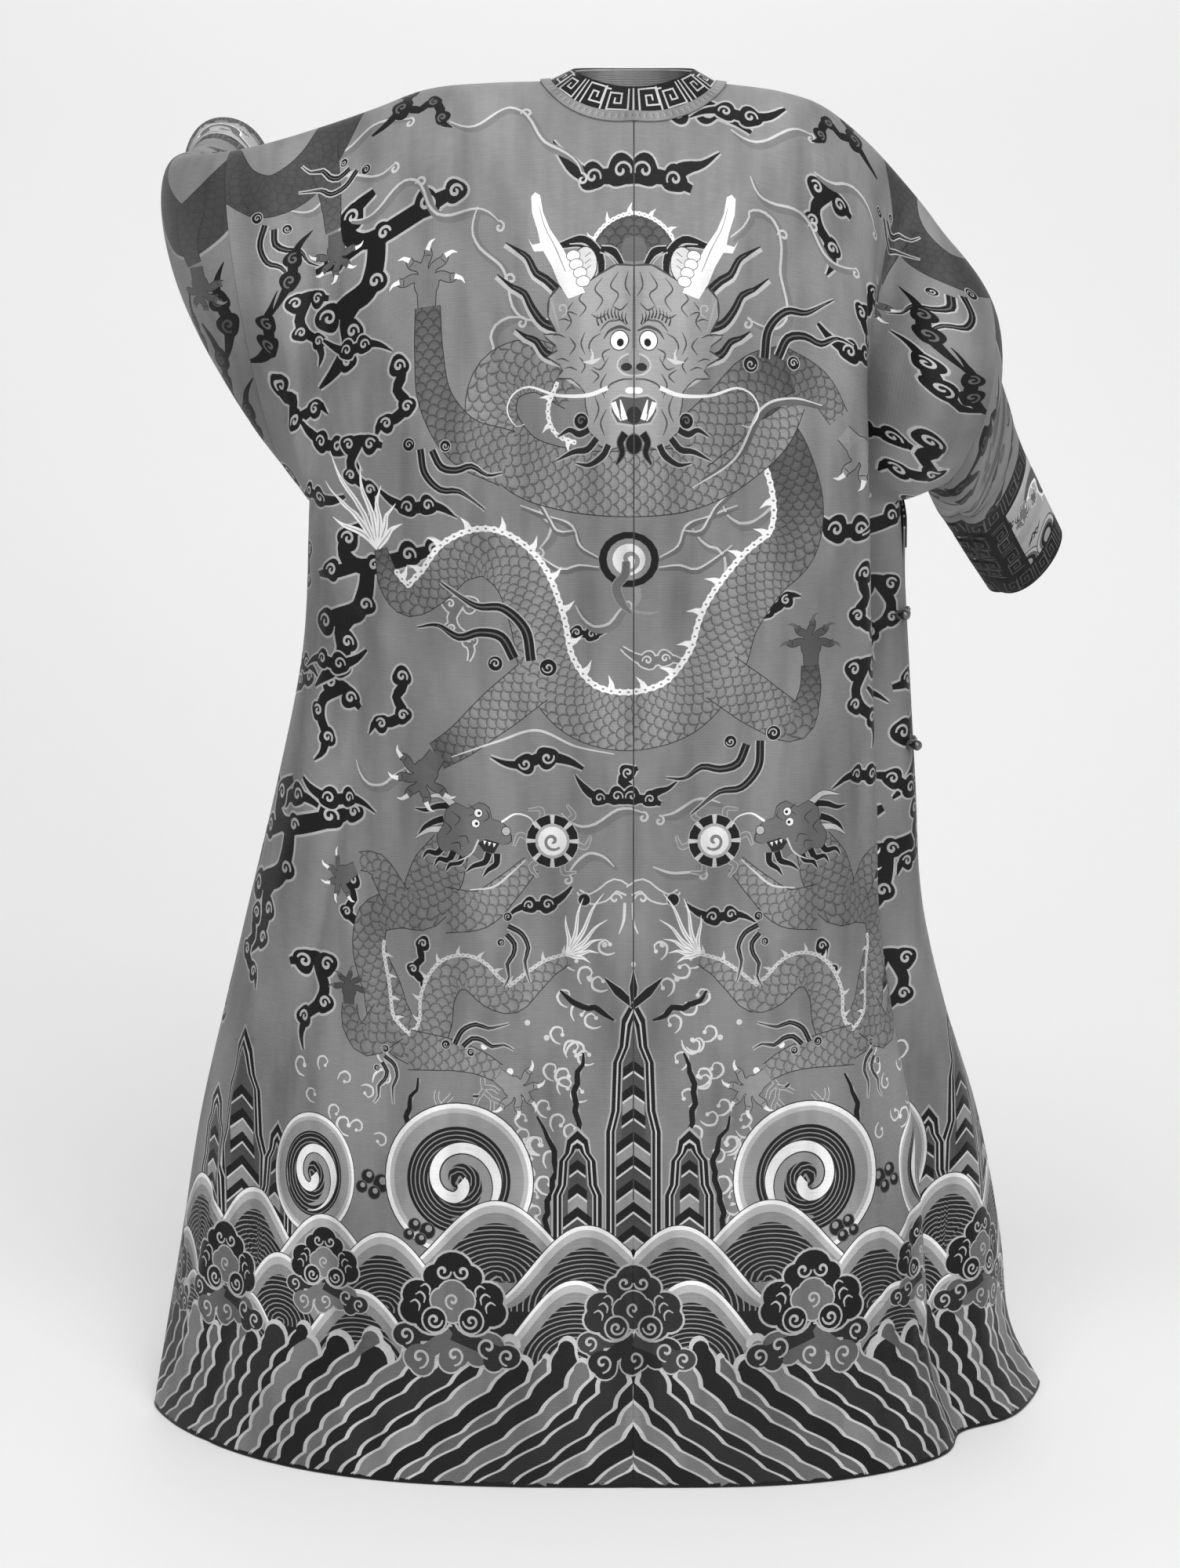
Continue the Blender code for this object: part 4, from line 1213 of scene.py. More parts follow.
def border_outline(side, share):
    """The border round a cuff's mouth, with the two strips that meet below the wrist."""
    mouth = np.array([CUFF_BORDER, CUFF_END])
    strip = np.linspace(CUFF_SEAM + HALF_GAP, CUFF_BORDER, 12)
    back, front = (half_round(side, face, strip) for face in ("back", "front"))
    low = np.linspace(back[-1] * share, -front[-1] * share, 50)[1:-1]
    far_back, far_front = (half_round(side, face, mouth[1:])[0] for face in ("back", "front"))
    rim = np.linspace(-far_front, far_back, 70)
    runs = [(strip, back * share), (np.full(len(low), CUFF_BORDER), low),
            (strip[::-1], -front[::-1] * share),
            (np.full(5, strip[0]), np.linspace(-front[0] * share, -front[0], 7)[1:-1]),
            (strip, -front), (np.full(len(rim), CUFF_END), rim), (strip[::-1], back[::-1]),
            (np.full(5, strip[0]), np.linspace(back[0], back[0] * share, 7)[1:-1])]
    return np.concatenate([np.stack(run, axis=1) for run in runs])


def sleeve_seat(side):
    """A function that puts points of an opened sleeve in space."""
    def put(flat, lift):
        points = np.empty((len(flat), 3))
        for face, chosen, sign in (("back", flat[:, 1] >= 0, 1.0), ("front", flat[:, 1] < 0, -1.0)):
            if chosen.any():
                across = flat[chosen, 0]
                down = sign * flat[chosen, 1] / half_round(side, face, across)
                points[chosen] = place((side, face), across, np.clip(down, 0, 1), lift)[0]
        return points
    return put


print("round the left wrist:", round(float(2 * half_round("left", "back", 0.9)), 3))

# %% [markdown]
# ## Clouds, pearls and flames
#
# The clouds are knots of round heads strung on winding necks.  All the heads and necks are
# laid first a little larger in a pale tone, which leaves an even outline when the dark ones
# go on top, and then every head gets its curl.

# %% Clouds
CLOUD_EDGE = 2.2             # width of the outline of a cloud, mm


def cloud(hand, heads, necks, tone=BLACK, edge=PALE, curl=PALE):
    """heads: x, y, radius, start angle and winding of the curl; necks: path and widths, mm."""
    layers = [(CLOUD_EDGE, edge), (0.0, tone)] if edge else [(0.0, tone)]
    for more, shade in layers:
        for path, widths in necks:
            hand.stroke(path, [1.2 * w + 2 * more for w in widths], shade)
        for x, y, radius, start, _ in heads:
            turn = np.linspace(0, 2 * math.pi, 25)[:-1]
            reach = 1.14 * radius * (1 + 0.10 * np.cos(3 * (turn - math.radians(start)))) + more
            hand.patch(np.stack([x + reach * np.cos(turn), y + reach * np.sin(turn)], axis=1), shade)
    for x, y, radius, start, wind in heads:
        hand.curl(x, y, radius * 0.72, 1.15, start, wind, 2.5, curl)


ZED = ([(-16, -30, 9, 200, 1), (10, -30, 9, -20, -1), (-14, 2, 8, 180, 1), (9, 16, 8, 10, -1)],
       [([(-20, -31), (0, -34), (24, -28)], [7, 10, 5]),
        ([(-2, -32), (-14, -12), (-8, 4), (5, 14), (12, 30), (8, 44)], [8, 9, 9, 8, 7, 1])])
BRANCH = ([(-22, -56, 10, 180, 1), (-40, -26, 9, 180, 1), (6, -34, 8, 0, -1), (42, -46, 10, 20, -1),
           (66, -52, 8, 0, -1), (-50, 22, 11, 180, 1), (-24, 38, 9, 20, -1), (-30, 62, 8, 0, -1),
           (-2, 2, 9, 20, -1)],
          [([(-2, -70), (-20, -60), (-26, -42), (-8, -32), (24, -38), (66, -52)], [5, 13, 11, 13, 12, 7]),
           ([(-60, -20), (-38, -24), (-12, -32)], [4, 10, 9]),
           ([(0, -32), (-2, -10), (-10, 8), (-32, 16), (-58, 22)], [13, 14, 16, 14, 6]),
           ([(-14, 8), (-30, 26), (-28, 46), (-38, 62), (-62, 82)], [13, 13, 13, 11, 2])])
HOOK = ([(0, -30, 9, 160, 1), (-8, 8, 8, 200, 1), (14, 22, 8, -10, -1)],
        [([(6, -32), (-3, -22), (2, -8), (-8, 6), (4, 18), (20, 22), (26, 36)], [6, 9, 8, 9, 9, 8, 1])])
DRIFT = ([(-18, 0, 10, 170, 1), (8, 3, 11, 10, -1)],
         [([(-56, 14), (-40, 4), (-22, 0), (6, 4), (30, -4), (46, -16)], [1, 6, 10, 11, 8, 3])])
PAIR = ([(-8, -1, 14, 20, -1), (16, -1, 14, 160, 1), (-38, 2, 12, 20, -1), (48, 4, 12, 150, 1)],
        [([(-80, -38), (-68, -20), (-44, 0), (0, 4), (40, 4), (66, 12)], [1, 11, 12, 15, 12, 7]),
         ([(36, 6), (60, -8), (78, -14), (96, -28)], [9, 12, 6, 1])])
TAIL_CLOUD = ([(0, -4, 10, 100, 1)],
              [([(14, -10), (0, -4), (-8, 8), (6, 20), (0, 36)], [5, 10, 10, 8, 1])])
WISP_WAVE, WISP_SWING = 0.085, 0.009


def wisp(cartoon, points):
    """A light thread of cloud that wanders from side to side, with a soft darker ribbon."""
    line = flow(points)
    swung = WISP_SWING * np.sin(2 * math.pi * np.arange(len(line)) * 0.004 / WISP_WAVE)
    line = (line + directions(line)[1] * swung[:, None])[::3]
    cartoon.stroke(line + [0.003, 0.0035], [0.003, 0.009, 0.008, 0.009, 0.002], GROUND - 12)
    cartoon.stroke(line, [0.0012, 0.0027, 0.0027, 0.0027, 0.0012], LIGHT - 14)
    cartoon.curl(*(line[-1] + [0.0, 0.005]), 0.0060, 1.0, -math.pi / 2, 1, 0.0024, LIGHT - 14)
    for k in range(6, len(line) - 4, 9):
        cartoon.curl(*(line[k] + [0.005, 0.003]), 0.0065, 0.9, math.pi, 1, 0.0024, LIGHT - 14)


def ribbon_curl(hand, x, y, radius, wind):
    """A small dark snail with a light line in it, at the foot of a flame."""
    hand.disc(x, y, radius, BLACK, edge=0.9, edge_tone=PALE)
    hand.curl(x, y, radius * 0.72, 1.2, 0, wind, 1.3, PALE)


def flame_pair(hand):
    """Two wavy dark flames with light middles that spring from a dragon's joint."""
    for path in ([(0, 0), (4, -26), (22, -44), (44, -46), (66, -60), (74, -66)],
                 [(14, -2), (24, -20), (42, -24), (60, -20), (78, -30), (96, -28)]):
        hand.stroke(path, [8, 8, 7, 6, 3, 1], BLACK, edge=1.5, edge_tone=PALE)
        hand.stroke(path[:-1], [1.0, 1.6, 1.4, 0.8], MID)
    ribbon_curl(hand, -14, 6, 7, 1)
    ribbon_curl(hand, 30, 2, 6, -1)


print("cloud heads:", sum(len(kind[0]) for kind in (ZED, BRANCH, HOOK, DRIFT, PAIR)))

# %% Pearls
def great_pearl(hand):
    """The pearl with its dark ring, its grey tail and thin flames on both sides."""
    for side in (-1, 1):
        for path in ([(31, -2), (50, -14), (58, -34), (80, -44), (112, -54)],
                     [(30, 8), (52, 6), (70, 10), (96, -6), (106, -14)],
                     [(56, -30), (74, -30), (88, -52), (110, -70)]):
            path = np.array(path) * [side, 1]
            hand.stroke(path + [1, 3], [2, 6, 5, 4, 1], MID + 10)
            hand.stroke(path, [1, 2.2, 2.2, 1.6, 1], LIGHT)
    hand.disc(0, 0, 31, BLACK, ry=29, edge=1.2, edge_tone=GROUND)
    hand.disc(0, 0, 23, GREY, ry=22)
    hand.disc(0, 0, 17, WHITE, ry=16.5)
    hand.curl(0, 0, 12, 0.9, 90, -1, 4.5, GREY)
    hand.stroke([(-3, 2), (-4, 16), (-13, 28), (-8, 44), (2, 56)], [6, 8, 9, 8, 2], MID + 12,
                edge=1.0, edge_tone=GREY)
    hand.stroke([(8, 28), (10, 40), (4, 52), (20, 56), (32, 54)], [7, 6, 4, 3, 1], GREY)


def flaming_pearl(hand):
    """A small pearl with a broken dark ring and tongues of fire."""
    for angle in range(0, 360, 60):
        c, s = math.cos(math.radians(angle)), math.sin(math.radians(angle))
        hand.stroke([(22 * c, 22 * s), (34 * c - 6 * s, 34 * s + 6 * c), (40 * c + 6 * s, 40 * s - 6 * c)],
                    [4, 4, 1], GROUND + 4, edge=1.0, edge_tone=PALE)
    hand.disc(0, 0, 27, CHARCOAL - 20, edge=1.0, edge_tone=PALE)
    for angle in range(0, 360, 45):
        c, s = math.cos(math.radians(angle)), math.sin(math.radians(angle))
        hand.stroke([(17 * c, 17 * s), (27 * c, 27 * s)], [3, 5], LIGHT)
    hand.disc(0, 0, 18, PALE)
    hand.disc(0, 0, 15, WHITE)
    hand.curl(0, 0, 10, 1.1, 40, 1, 3.2, GROUND)


print("pearls ready")

# %% [markdown]
# ## Dragons
#
# A dragon is a long ribbon with a guide along and across it, so the finish can net it with
# scales.  Along its back runs a chain of white links with thorns.  Heads, paws and tail
# flames are drawn from strokes like the rest.

# %% Bodies
def along_line(line):
    """A guide: how far along a line each point lies, and how far to its side."""
    walked = running_length(line)
    a, step = line[:-1], np.diff(line, axis=0)
    reach = np.maximum((step ** 2).sum(axis=1), 1e-12)

    def follow(points):
        away = points[:, None] - a
        t = np.clip((away * step).sum(axis=2) / reach, 0, 1)
        gap = away - t[..., None] * step
        best = (gap ** 2).sum(axis=2).argmin(axis=1)
        row, size = np.arange(len(points)), np.sqrt(reach[best])
        side = (step[best, 0] * gap[row, best, 1] - step[best, 1] * gap[row, best, 0]) / size
        return np.stack([walked[best] + t[row, best] * size, side], axis=1)

    return follow, walked[-1]


LATTICE = np.linspace(-0.4, 0.4, 5)     # shares of its width at which a body is given points


def body(cartoon, points, widths, tones, scales=1.0, edge=0.0009):
    """A scaly body; tones run from its start to its end."""
    line = flow(points, 0.007)
    follow, length = along_line(line)

    def tone_at(flat):
        return np.interp(follow(flat)[:, 0] / length, np.linspace(0, 1, len(tones)), tones)

    cartoon.patch(ribbon(points, [w + 2 * edge for w in widths], 0.007), CHARCOAL)
    cartoon.patch(ribbon(points, widths, 0.007), tone_at, (scales, 0.0), follow)
    lattice = [offset_line(points, np.array(widths) * 2 * share, 0.006) for share in LATTICE]
    cartoon.extra.append(np.concatenate(lattice))


SMALL_CHAIN = 0.6            # chains no larger than this have links without an eye


def spine(cartoon, points, widths, side, size, start=0.0, end=1.0, tone=WHITE):
    """The chain of white links and thorns along one edge of a body."""
    line = offset_line(points, np.array(widths) * side, 0.003)
    line = line[int(start * len(line)):int(end * len(line))]
    walked = running_length(line)
    places = np.arange(0.004, walked[-1], 0.0088 * size)
    links = np.stack([np.interp(places, walked, line[:, k]) for k in (0, 1)], axis=1)
    ahead, left = directions(links)
    cartoon.stroke(line[::3], [0.0055 * size] * 2, tone)
    for k, (here, way, out) in enumerate(zip(links, ahead, left * side)):
        cartoon.dot(*here, 0.0037 * size, tone, parts=8)
        if k % 4 == 2:
            tip = here + out * 0.016 * size + way * 0.006 * size
            foot = way * 0.0045 * size
            middle = (here + tip) / 2 - way * 0.002 * size
            cartoon.patch([here - foot, middle - foot * 0.5, tip, middle + foot * 0.6, here + foot], tone)
    if size > SMALL_CHAIN:
        for here in links:
            cartoon.patch(disc(*here, 0.0016 * size, 0.0011 * size, 6), GROUND)


def paw(hand, tone=GREY, claw=WHITE):
    """Five spread toes with hooked claws."""
    toes = [(-80, 1), (-38, 1), (2, -1), (42, -1), (86, -1)]
    lines = []
    for angle, bend in toes:
        c, s = math.sin(math.radians(angle)), -math.cos(math.radians(angle))
        lines.append([(5 * c, 5 * s), (15 * c - 3 * s * bend, 15 * s + 3 * c * bend),
                      (25 * c + 1 * s * bend, 25 * s - 1 * c * bend), (31 * c, 31 * s)])
    for more, shade in ((0.9, CHARCOAL), (0.0, tone)):
        hand.disc(0, 2, 13 + more, shade, ry=12 + more)
        hand.stroke([(0, 8), (0, 24)], [20 + 2 * more, 18 + 2 * more], shade)
        for line in lines:
            hand.stroke(line, [9 + 2 * more, 7.5 + 2 * more, 8.5 + 2 * more, 6 + 2 * more], shade)
    for (angle, bend), line in zip(toes, lines):
        c, s = math.sin(math.radians(angle)), -math.cos(math.radians(angle))
        x, y = line[-1]
        hand.stroke([(x - c, y - s), (x + 6 * c + 3 * s * bend, y + 6 * s - 3 * c * bend),
                     (x + 9 * c + 8 * s * bend, y + 9 * s - 8 * c * bend)], [5, 3.6, 0.5], claw)
        mx, my = line[2]
        hand.stroke([(mx - 3 * s, my + 3 * c), (mx + 3 * s, my - 3 * c)], [0.8, 0.8], CHARCOAL)


def tail_flames(hand):
    """The spray of pale strands at the end of a tail."""
    for reach, lean in ((66, -66), (96, -46), (116, -30), (84, -12), (60, 6), (46, 28), (34, 54)):
        c, s = math.sin(math.radians(lean)), -math.cos(math.radians(lean))
        path = [(0, 6), (reach * 0.35 * c + 4, reach * 0.35 * s), (reach * 0.7 * c, reach * 0.7 * s),
                (reach * c + 5, reach * s)]
        hand.stroke(path, [5, 7.5, 5, 0.6], WHITE)
        hand.stroke(path[:-1], [0.8, 1.3, 0.6], GREY)


print("dragon parts ready")

# %% The great dragon's face, seen from the front
FACE = [(-1, -66), (18, -68), (34, -61), (50, -53), (60, -46), (66, -44), (76, -52), (86, -42), (87, -26),
        (80, -14), (78, -9), (92, -9), (80, 0), (78, 6), (88, 11), (76, 18), (72, 24), (78, 30), (64, 31),
        (56, 37), (50, 44), (49, 56), (46, 68), (48, 78), (40, 84), (36, 92), (24, 96), (12, 93), (-1, 99)]


def great_face(cartoon, y):
    """The sides are drawn for one half and then the other, and the nose and mouth once."""
    halves = [Hand(cartoon, 0.0, y, mirror=mirror) for mirror in (True, False)]
    turn = np.radians(np.arange(180, 361, 12))
    arch = np.stack([0.045 * np.cos(turn), y - 0.078 + 0.036 * np.sin(turn)], axis=1)
    cartoon.patch(arch, MID - 4, (1.0, 0.0), lambda flat: flat[:, ::-1] * [-1.0, 1.0])
    spine(cartoon, arch, [0.0, 0.0], -1, 0.62)
    for half in halves:
        half.patch([(-1, -94), (9, -92), (13, -84), (12, -72), (-1, -70)], MID + 6)
        for path in ([(72, -44), (90, -60), (100, -66), (108, -80), (116, -86), (131, -95)],
                     [(74, -14), (92, -20), (104, -34), (112, -48), (124, -54), (140, -66)],
                     [(72, 14), (90, 8), (100, -4), (110, -8), (121, -15)],
                     [(50, 34), (64, 28), (72, 22)]):
            half.stroke(np.array(path) + [1.5, 2.5], [10, 9, 7, 4], PALE + 8)
            half.stroke(path, [8.5, 8, 6, 1], CHARCOAL - 16)
            half.stroke(path[:-1], [1.6, 1.4, 0.8], MID)
        half.stroke([(76, -90), (52, -92), (36, -76), (34, -56)], [5, 11, 11, 6], BLACK, edge=1.2)
        half.stroke([(66, -91), (50, -89), (39, -76), (37, -62)], [1, 2, 2, 1], PALE)
        half.stroke([(34, -84), (22, -80), (13, -68)], [5, 9, 6], BLACK, edge=1.2)
        half.stroke([(30, -81), (22, -76), (16, -69)], [1, 1.8, 1], PALE)
    for half in halves:
        half.stroke(FACE, [2.6, 2.6], MID - 22)
    for half in halves:
        half.patch(FACE, GREY + 8)
    for half in halves:
        face_lines(half)
        horn(half)
    for half in halves:
        half.disc(15, -1, 9.8, CHARCOAL, ry=9.4)
        half.disc(15, -1, 8.8, WHITE, ry=8.4)
        half.disc(14, 1, 3.6, BLACK)
        half.stroke([(4, -9), (14, -13), (25, -10), (31, -3)], [1.5, 3.0, 2.6, 1], MID - 20)
    muzzle(halves)
    for half in halves:
        half.stroke([(27, 41), (48, 47), (79, 46), (107, 38), (124, 45), (130, 60), (121, 74), (112, 72)],
                    [4.2, 3.6, 3, 2.6, 2, 1.6, 1.2, 0.6], WHITE)


def muzzle(halves):
    """The middle of the face, from the nose to the chin."""
    middle = halves[1]
    middle.patch([(-1.6, -66), (1.6, -66), (3.0, 10), (-3.0, 10)], GREY - 14)
    middle.patch(disc(0, 21, 18, 11, 28), PALE + 10)
    middle.patch(disc(0, 21, 16.2, 9.2, 28), GREY - 12)
    middle.patch(disc(0, 15, 6, 9, 20), GREY + 2)
    middle.patch([(-24, 52), (-14, 47), (0, 49), (14, 47), (24, 52), (25, 62), (18, 74), (0, 77), (-18, 74),
                  (-25, 62)], PALE)
    middle.patch([(-22, 53), (-14, 49), (0, 51), (14, 49), (22, 53), (23, 62), (17, 72), (0, 75), (-17, 72),
                  (-23, 62)], MID - 10)
    middle.patch(disc(0, 66, 8, 8, 16), CHARCOAL)
    for half in halves:
        half.disc(8, 23, 5.4, CHARCOAL, ry=3.6)
        half.disc(4, 44, 5, WHITE, ry=3.0)
        half.stroke([(21, 54), (18, 62), (12, 70)], [5, 5, 4], WHITE)
        half.stroke([(14, 52), (12, 60), (9, 70)], [1, 4, 5], WHITE)
        half.stroke([(16, 56), (14, 66), (13, 70)], [1.2, 1.4, 1.0], MID - 10)
        half.stroke([(2, 34), (12, 34), (24, 38), (30, 46)], [1, 1.6, 1.6, 1], MID - 20)
        half.stroke([(9, 82), (14, 90), (12, 100), (18, 110)], [7, 6, 5, 1], BLACK, edge=1.0, edge_tone=MID)
    middle.disc(0, 92, 8, BLACK, ry=9, edge=1.2, edge_tone=MID)


def horn(half):
    """A tall white horn with a thorn, a pale lens and a row of round lumps at its root."""
    half.disc(50, -71, 12, LIGHT, ry=16, edge=1.0, edge_tone=CHARCOAL)
    half.patch([(50, -46), (62, -68), (73, -88), (86, -106), (93, -122), (96, -138), (101, -141),
                (105, -137), (104, -122), (98, -104), (95, -90), (84, -72), (77, -56), (67, -41)], WHITE)
    half.patch([(92, -94), (104, -92), (108, -98), (102, -86), (90, -86)], WHITE)
    half.stroke([(97, -128), (91, -108), (80, -88), (70, -66)], [0.8, 1.2, 1.2, 0.8], GREY)
    for x, y in ((62, -80), (59, -72), (55, -64), (52, -56)):
        half.disc(x, y, 6.6, WHITE, ry=4.6, edge=0.8, edge_tone=MID)
    for k in range(3):
        half.stroke([(44, -82 + 6 * k), (50, -78 + 6 * k)], [0.7, 0.7], MID)


FACE_LINES = [
    [(16, -62), (24, -50), (16, -42), (22, -32)], [(32, -58), (40, -48), (32, -38), (39, -28)],
    [(6, -62), (9, -50), (4, -40)], [(50, -48), (56, -40), (49, -32), (56, -24)],
    [(6, -34), (14, -28), (22, -32)], [(26, -26), (36, -22), (44, -26)],
    [(62, -38), (68, -30), (64, -20), (70, -12)], [(66, -6), (60, 2), (66, 10)],
    [(34, -8), (42, -4), (46, 4), (40, 12)], [(50, -10), (54, 0), (50, 10)], [(56, 12), (50, 20), (54, 27)],
    [(26, 14), (34, 24), (42, 22)], [(44, 24), (36, 30), (42, 36)], [(28, 28), (34, 38), (30, 50)],
    [(40, 48), (36, 60), (41, 72)], [(28, 60), (34, 72), (30, 84)], [(20, -20), (28, -17), (35, -10)],
    [(8, -14), (14, -19), (24, -18)], [(24, 6), (32, 10), (30, 18)],
]


def face_lines(half):
    """The fine darker lines of brow and cheek, the bristles over the eye and the beard."""
    for line in FACE_LINES:
        half.stroke(line, [0.5, 1.5, 1.5, 0.5], MID - 20)
    for k in range(9):
        x, y = 7 + 3.6 * k, -15 - 6 * math.sin(math.pi * k / 8)
        half.stroke([(x, y), (x + 2, y - 5), (x + 1, y - 10)], [1.8, 1.4, 0.4], MID - 34)
    for x, y in ((58, -26), (64, -20), (70, -6), (66, 16), (58, 24)):
        half.stroke([(x, y), (x + 7, y - 3), (x + 13, y - 2)], [0.6, 1.4, 0.4], MID - 28)
    half.curl(74, -32, 7, 1.0, 90, 1, 1.6, PALE + 10)
    half.stroke([(84, -40), (80, -26), (76, -12)], [0.8, 1.8, 0.8], PALE)
    half.stroke([(34, 14), (42, 17), (52, 17)], [1, 4.5, 0.8], LIGHT)
    half.stroke([(43, 15), (42, 10), (45, 5)], [3.5, 2, 0.6], LIGHT)
    for path in ([(46, 78), (56, 82), (66, 78), (78, 84)], [(38, 86), (48, 96), (62, 98), (80, 106)],
                 [(26, 92), (32, 102), (46, 110), (60, 108)]):
        half.stroke(path, [6, 6, 4, 0.8], CHARCOAL - 10, edge=1.2)
    half.disc(54, 70, 7, BLACK, edge=1.2)
    half.curl(54, 70, 4.5, 1.0, 200, 1, 1.6, MID)


print("face ready")

# %% A smaller dragon's head, in profile
# Its outline, which ends where it began, the locks of its mane and the fine lines of its face.
SIDE_FACE = [
    (-34, -20), (-24, -32), (-8, -29), (4, -40), (18, -37), (24, -25), (36, -25), (48, -17), (54, -5),
    (44, 2), (30, 1), (19, 6), (24, 14), (38, 15), (41, 23), (27, 29), (12, 23), (0, 30), (-13, 25),
    (-28, 30), (-38, 14), (-33, 0), (-34, -20),
]
SIDE_MANE = [
    [(-30, -26), (-46, -20), (-58, -12), (-72, -10)], [(-34, -8), (-44, -2), (-54, 8), (-60, 20)],
    [(-26, 22), (-32, 34), (-44, 36), (-48, 46)], [(-12, 26), (-16, 38), (-28, 40), (-32, 50)],
    [(0, 26), (-2, 36), (-12, 42), (-16, 52)],
]
SIDE_LINES = [
    [(-26, -20), (-14, -14), (-18, -4)], [(-34, -6), (-22, 0), (-26, 10)], [(-12, 8), (-2, 4), (4, 12)],
    [(-8, -34), (2, -28), (-4, -20)], [(14, -34), (20, -26), (14, -18)], [(-18, 18), (-8, 14), (-4, 22)],
]


def side_head(hand):
    """Looks to the right: snout, two eyes, horns swept back, beard and whiskers."""
    for path in SIDE_MANE:
        hand.stroke(path, [8, 7, 5, 0.8], BLACK, edge=1.2)
    for path in ([(-26, -28), (-44, -34), (-64, -26)], [(-30, 4), (-48, 10), (-62, 24)]):
        hand.stroke(path, [8, 6, 1], LIGHT, edge=0.6, edge_tone=CHARCOAL)
    hand.patch(flow(SIDE_FACE, 6), CHARCOAL)
    hand.patch(flow(np.array(SIDE_FACE) * 0.975, 6), MID + 14)
    for line in SIDE_LINES:
        hand.stroke(line, [0.5, 1.3, 0.5], CHARCOAL)
    for y in (-27, -14):
        hand.disc(6, y, 5.6, CHARCOAL)
        hand.disc(6, y, 4.8, WHITE)
        hand.disc(7, y, 2.0, BLACK)
    hand.patch([(14, 8), (22, 1), (40, 1), (36, 15), (24, 16)], CHARCOAL)
    for x in (22, 28, 34):
        hand.patch([(x - 2, 3), (x + 2, 3), (x, 8)], WHITE)
    hand.disc(44, -15, 5.0, PALE, edge=0.8, edge_tone=CHARCOAL)
    hand.stroke([(36, -24), (50, -38), (68, -38), (78, -28)], [3, 2.2, 1.8, 0.6], WHITE)
    hand.stroke([(14, 4), (10, 22), (-2, 34), (-14, 40)], [2.4, 2, 1.6, 0.6], LIGHT)
    for path in ([(30, 16), (28, 28), (16, 36), (8, 46)], [(40, 14), (42, 26), (34, 36), (30, 46)]):
        hand.stroke(path, [8, 7, 5, 0.8], CHARCOAL - 20, edge=1.2)


print("heads ready")

# %% [markdown]
# ## Waves, mountains and clouds of the hem
#
# The hem is the sea: slanting bands of deep water, rolling crests, two great whirls on each
# side, and the mountain of the world standing at the centre seam.  A crest is a nest of
# bells, each a little smaller than the one before, and its dark core is hatched with fine
# light arcs.

# %% Crests and whirls
def bell(x, top, half, drop, inset=0.0):
    """A rounded hill with long flanks, which doesn't cross the centre seam."""
    u = np.linspace(-1, 1, 41)
    rise = 0.5 - 0.5 * np.cos(math.pi * np.abs(u) ** 1.05)
    wide = half - inset * 1.2
    arc = np.stack([x + wide * u, top + inset + (drop - inset) * rise], axis=1)
    hill = np.concatenate([arc, [[x + wide, top + drop + 0.003], [x - wide, top + drop + 0.003]]])
    hill[:, 0] = math.copysign(1, x) * np.maximum(hill[:, 0] * math.copysign(1, x), 0.0)
    return hill


def rings(x, base, half, drop):
    """A guide whose rings follow a hill from its base."""
    def follow(flat):
        wide, high = (flat[:, 0] - x) / half, (flat[:, 1] - base) / drop
        return np.stack([np.hypot(wide, high) * drop, np.zeros(len(flat))], axis=1)

    return follow


def crest(cartoon, x, top, half, drop, size):
    """One rolling crest: white rim, pale and middle bands, hatched dark core."""
    hatch = rings(x, top + drop, half, drop)
    cartoon.patch(bell(x, top - 0.001, half + 0.001, drop), CHARCOAL)
    cartoon.patch(bell(x, top, half, drop), WHITE)
    cartoon.patch(bell(x, top, half, drop, 0.0045 * size), PALE + 6)
    cartoon.patch(bell(x, top, half, drop, 0.0125 * size), GREY - 6, (0.0, 0.45), hatch)
    cartoon.patch(bell(x, top, half, drop, 0.0235 * size), BLACK + 8, (0.0, 1.0), hatch)


def whirl(cartoon, x, y, radius, squash, hand):
    """A great curled wave seen end on: nested bands and a white comb that winds inwards."""
    follow = rings(x, y, radius * squash, radius)
    for share, tone, mark in ((1.015, CHARCOAL, 0), (1.0, WHITE, 0), (0.94, PALE + 8, 0),
                              (0.88, GREY + 4, 0.35), (0.70, BLACK, 0), (0.67, BLACK + 8, 1.0)):
        cartoon.patch(disc(x, y, radius * share * squash, radius * share, 48), tone, (0.0, mark), follow)

    steps = np.array([0, 80, 160, 250, 340, 400, 440])
    shares = np.array([0.04, 0.23, 0.32, 0.42, 0.52, 0.57, 0.62])
    turn = np.linspace(0, 440, 60)
    reach = radius * np.interp(turn, steps, shares)
    angle = np.radians(90 - hand * (70 - turn))
    for inwards, widths, tone, mark in ((0.10, [0.02, 0.16, 0.20, 0.22, 0.22, 0.12, 0.03], GREY + 4, 0.35),
                                        (0.0, [0.19, 0.17, 0.17, 0.17, 0.15, 0.07, 0.01], CHARCOAL, 0.0),
                                        (0.0, [0.16, 0.13, 0.13, 0.14, 0.12, 0.05, 0.01], WHITE, 0.0)):
        inner = reach - inwards * radius * ramp(turn, 40, 160)
        line = np.stack([x + inner * squash * np.cos(angle), y + inner * np.sin(angle)], axis=1)
        cartoon.patch(ribbon(line, [radius * w for w in widths], 0.003), tone, (0.0, mark), follow)


print("crests ready")

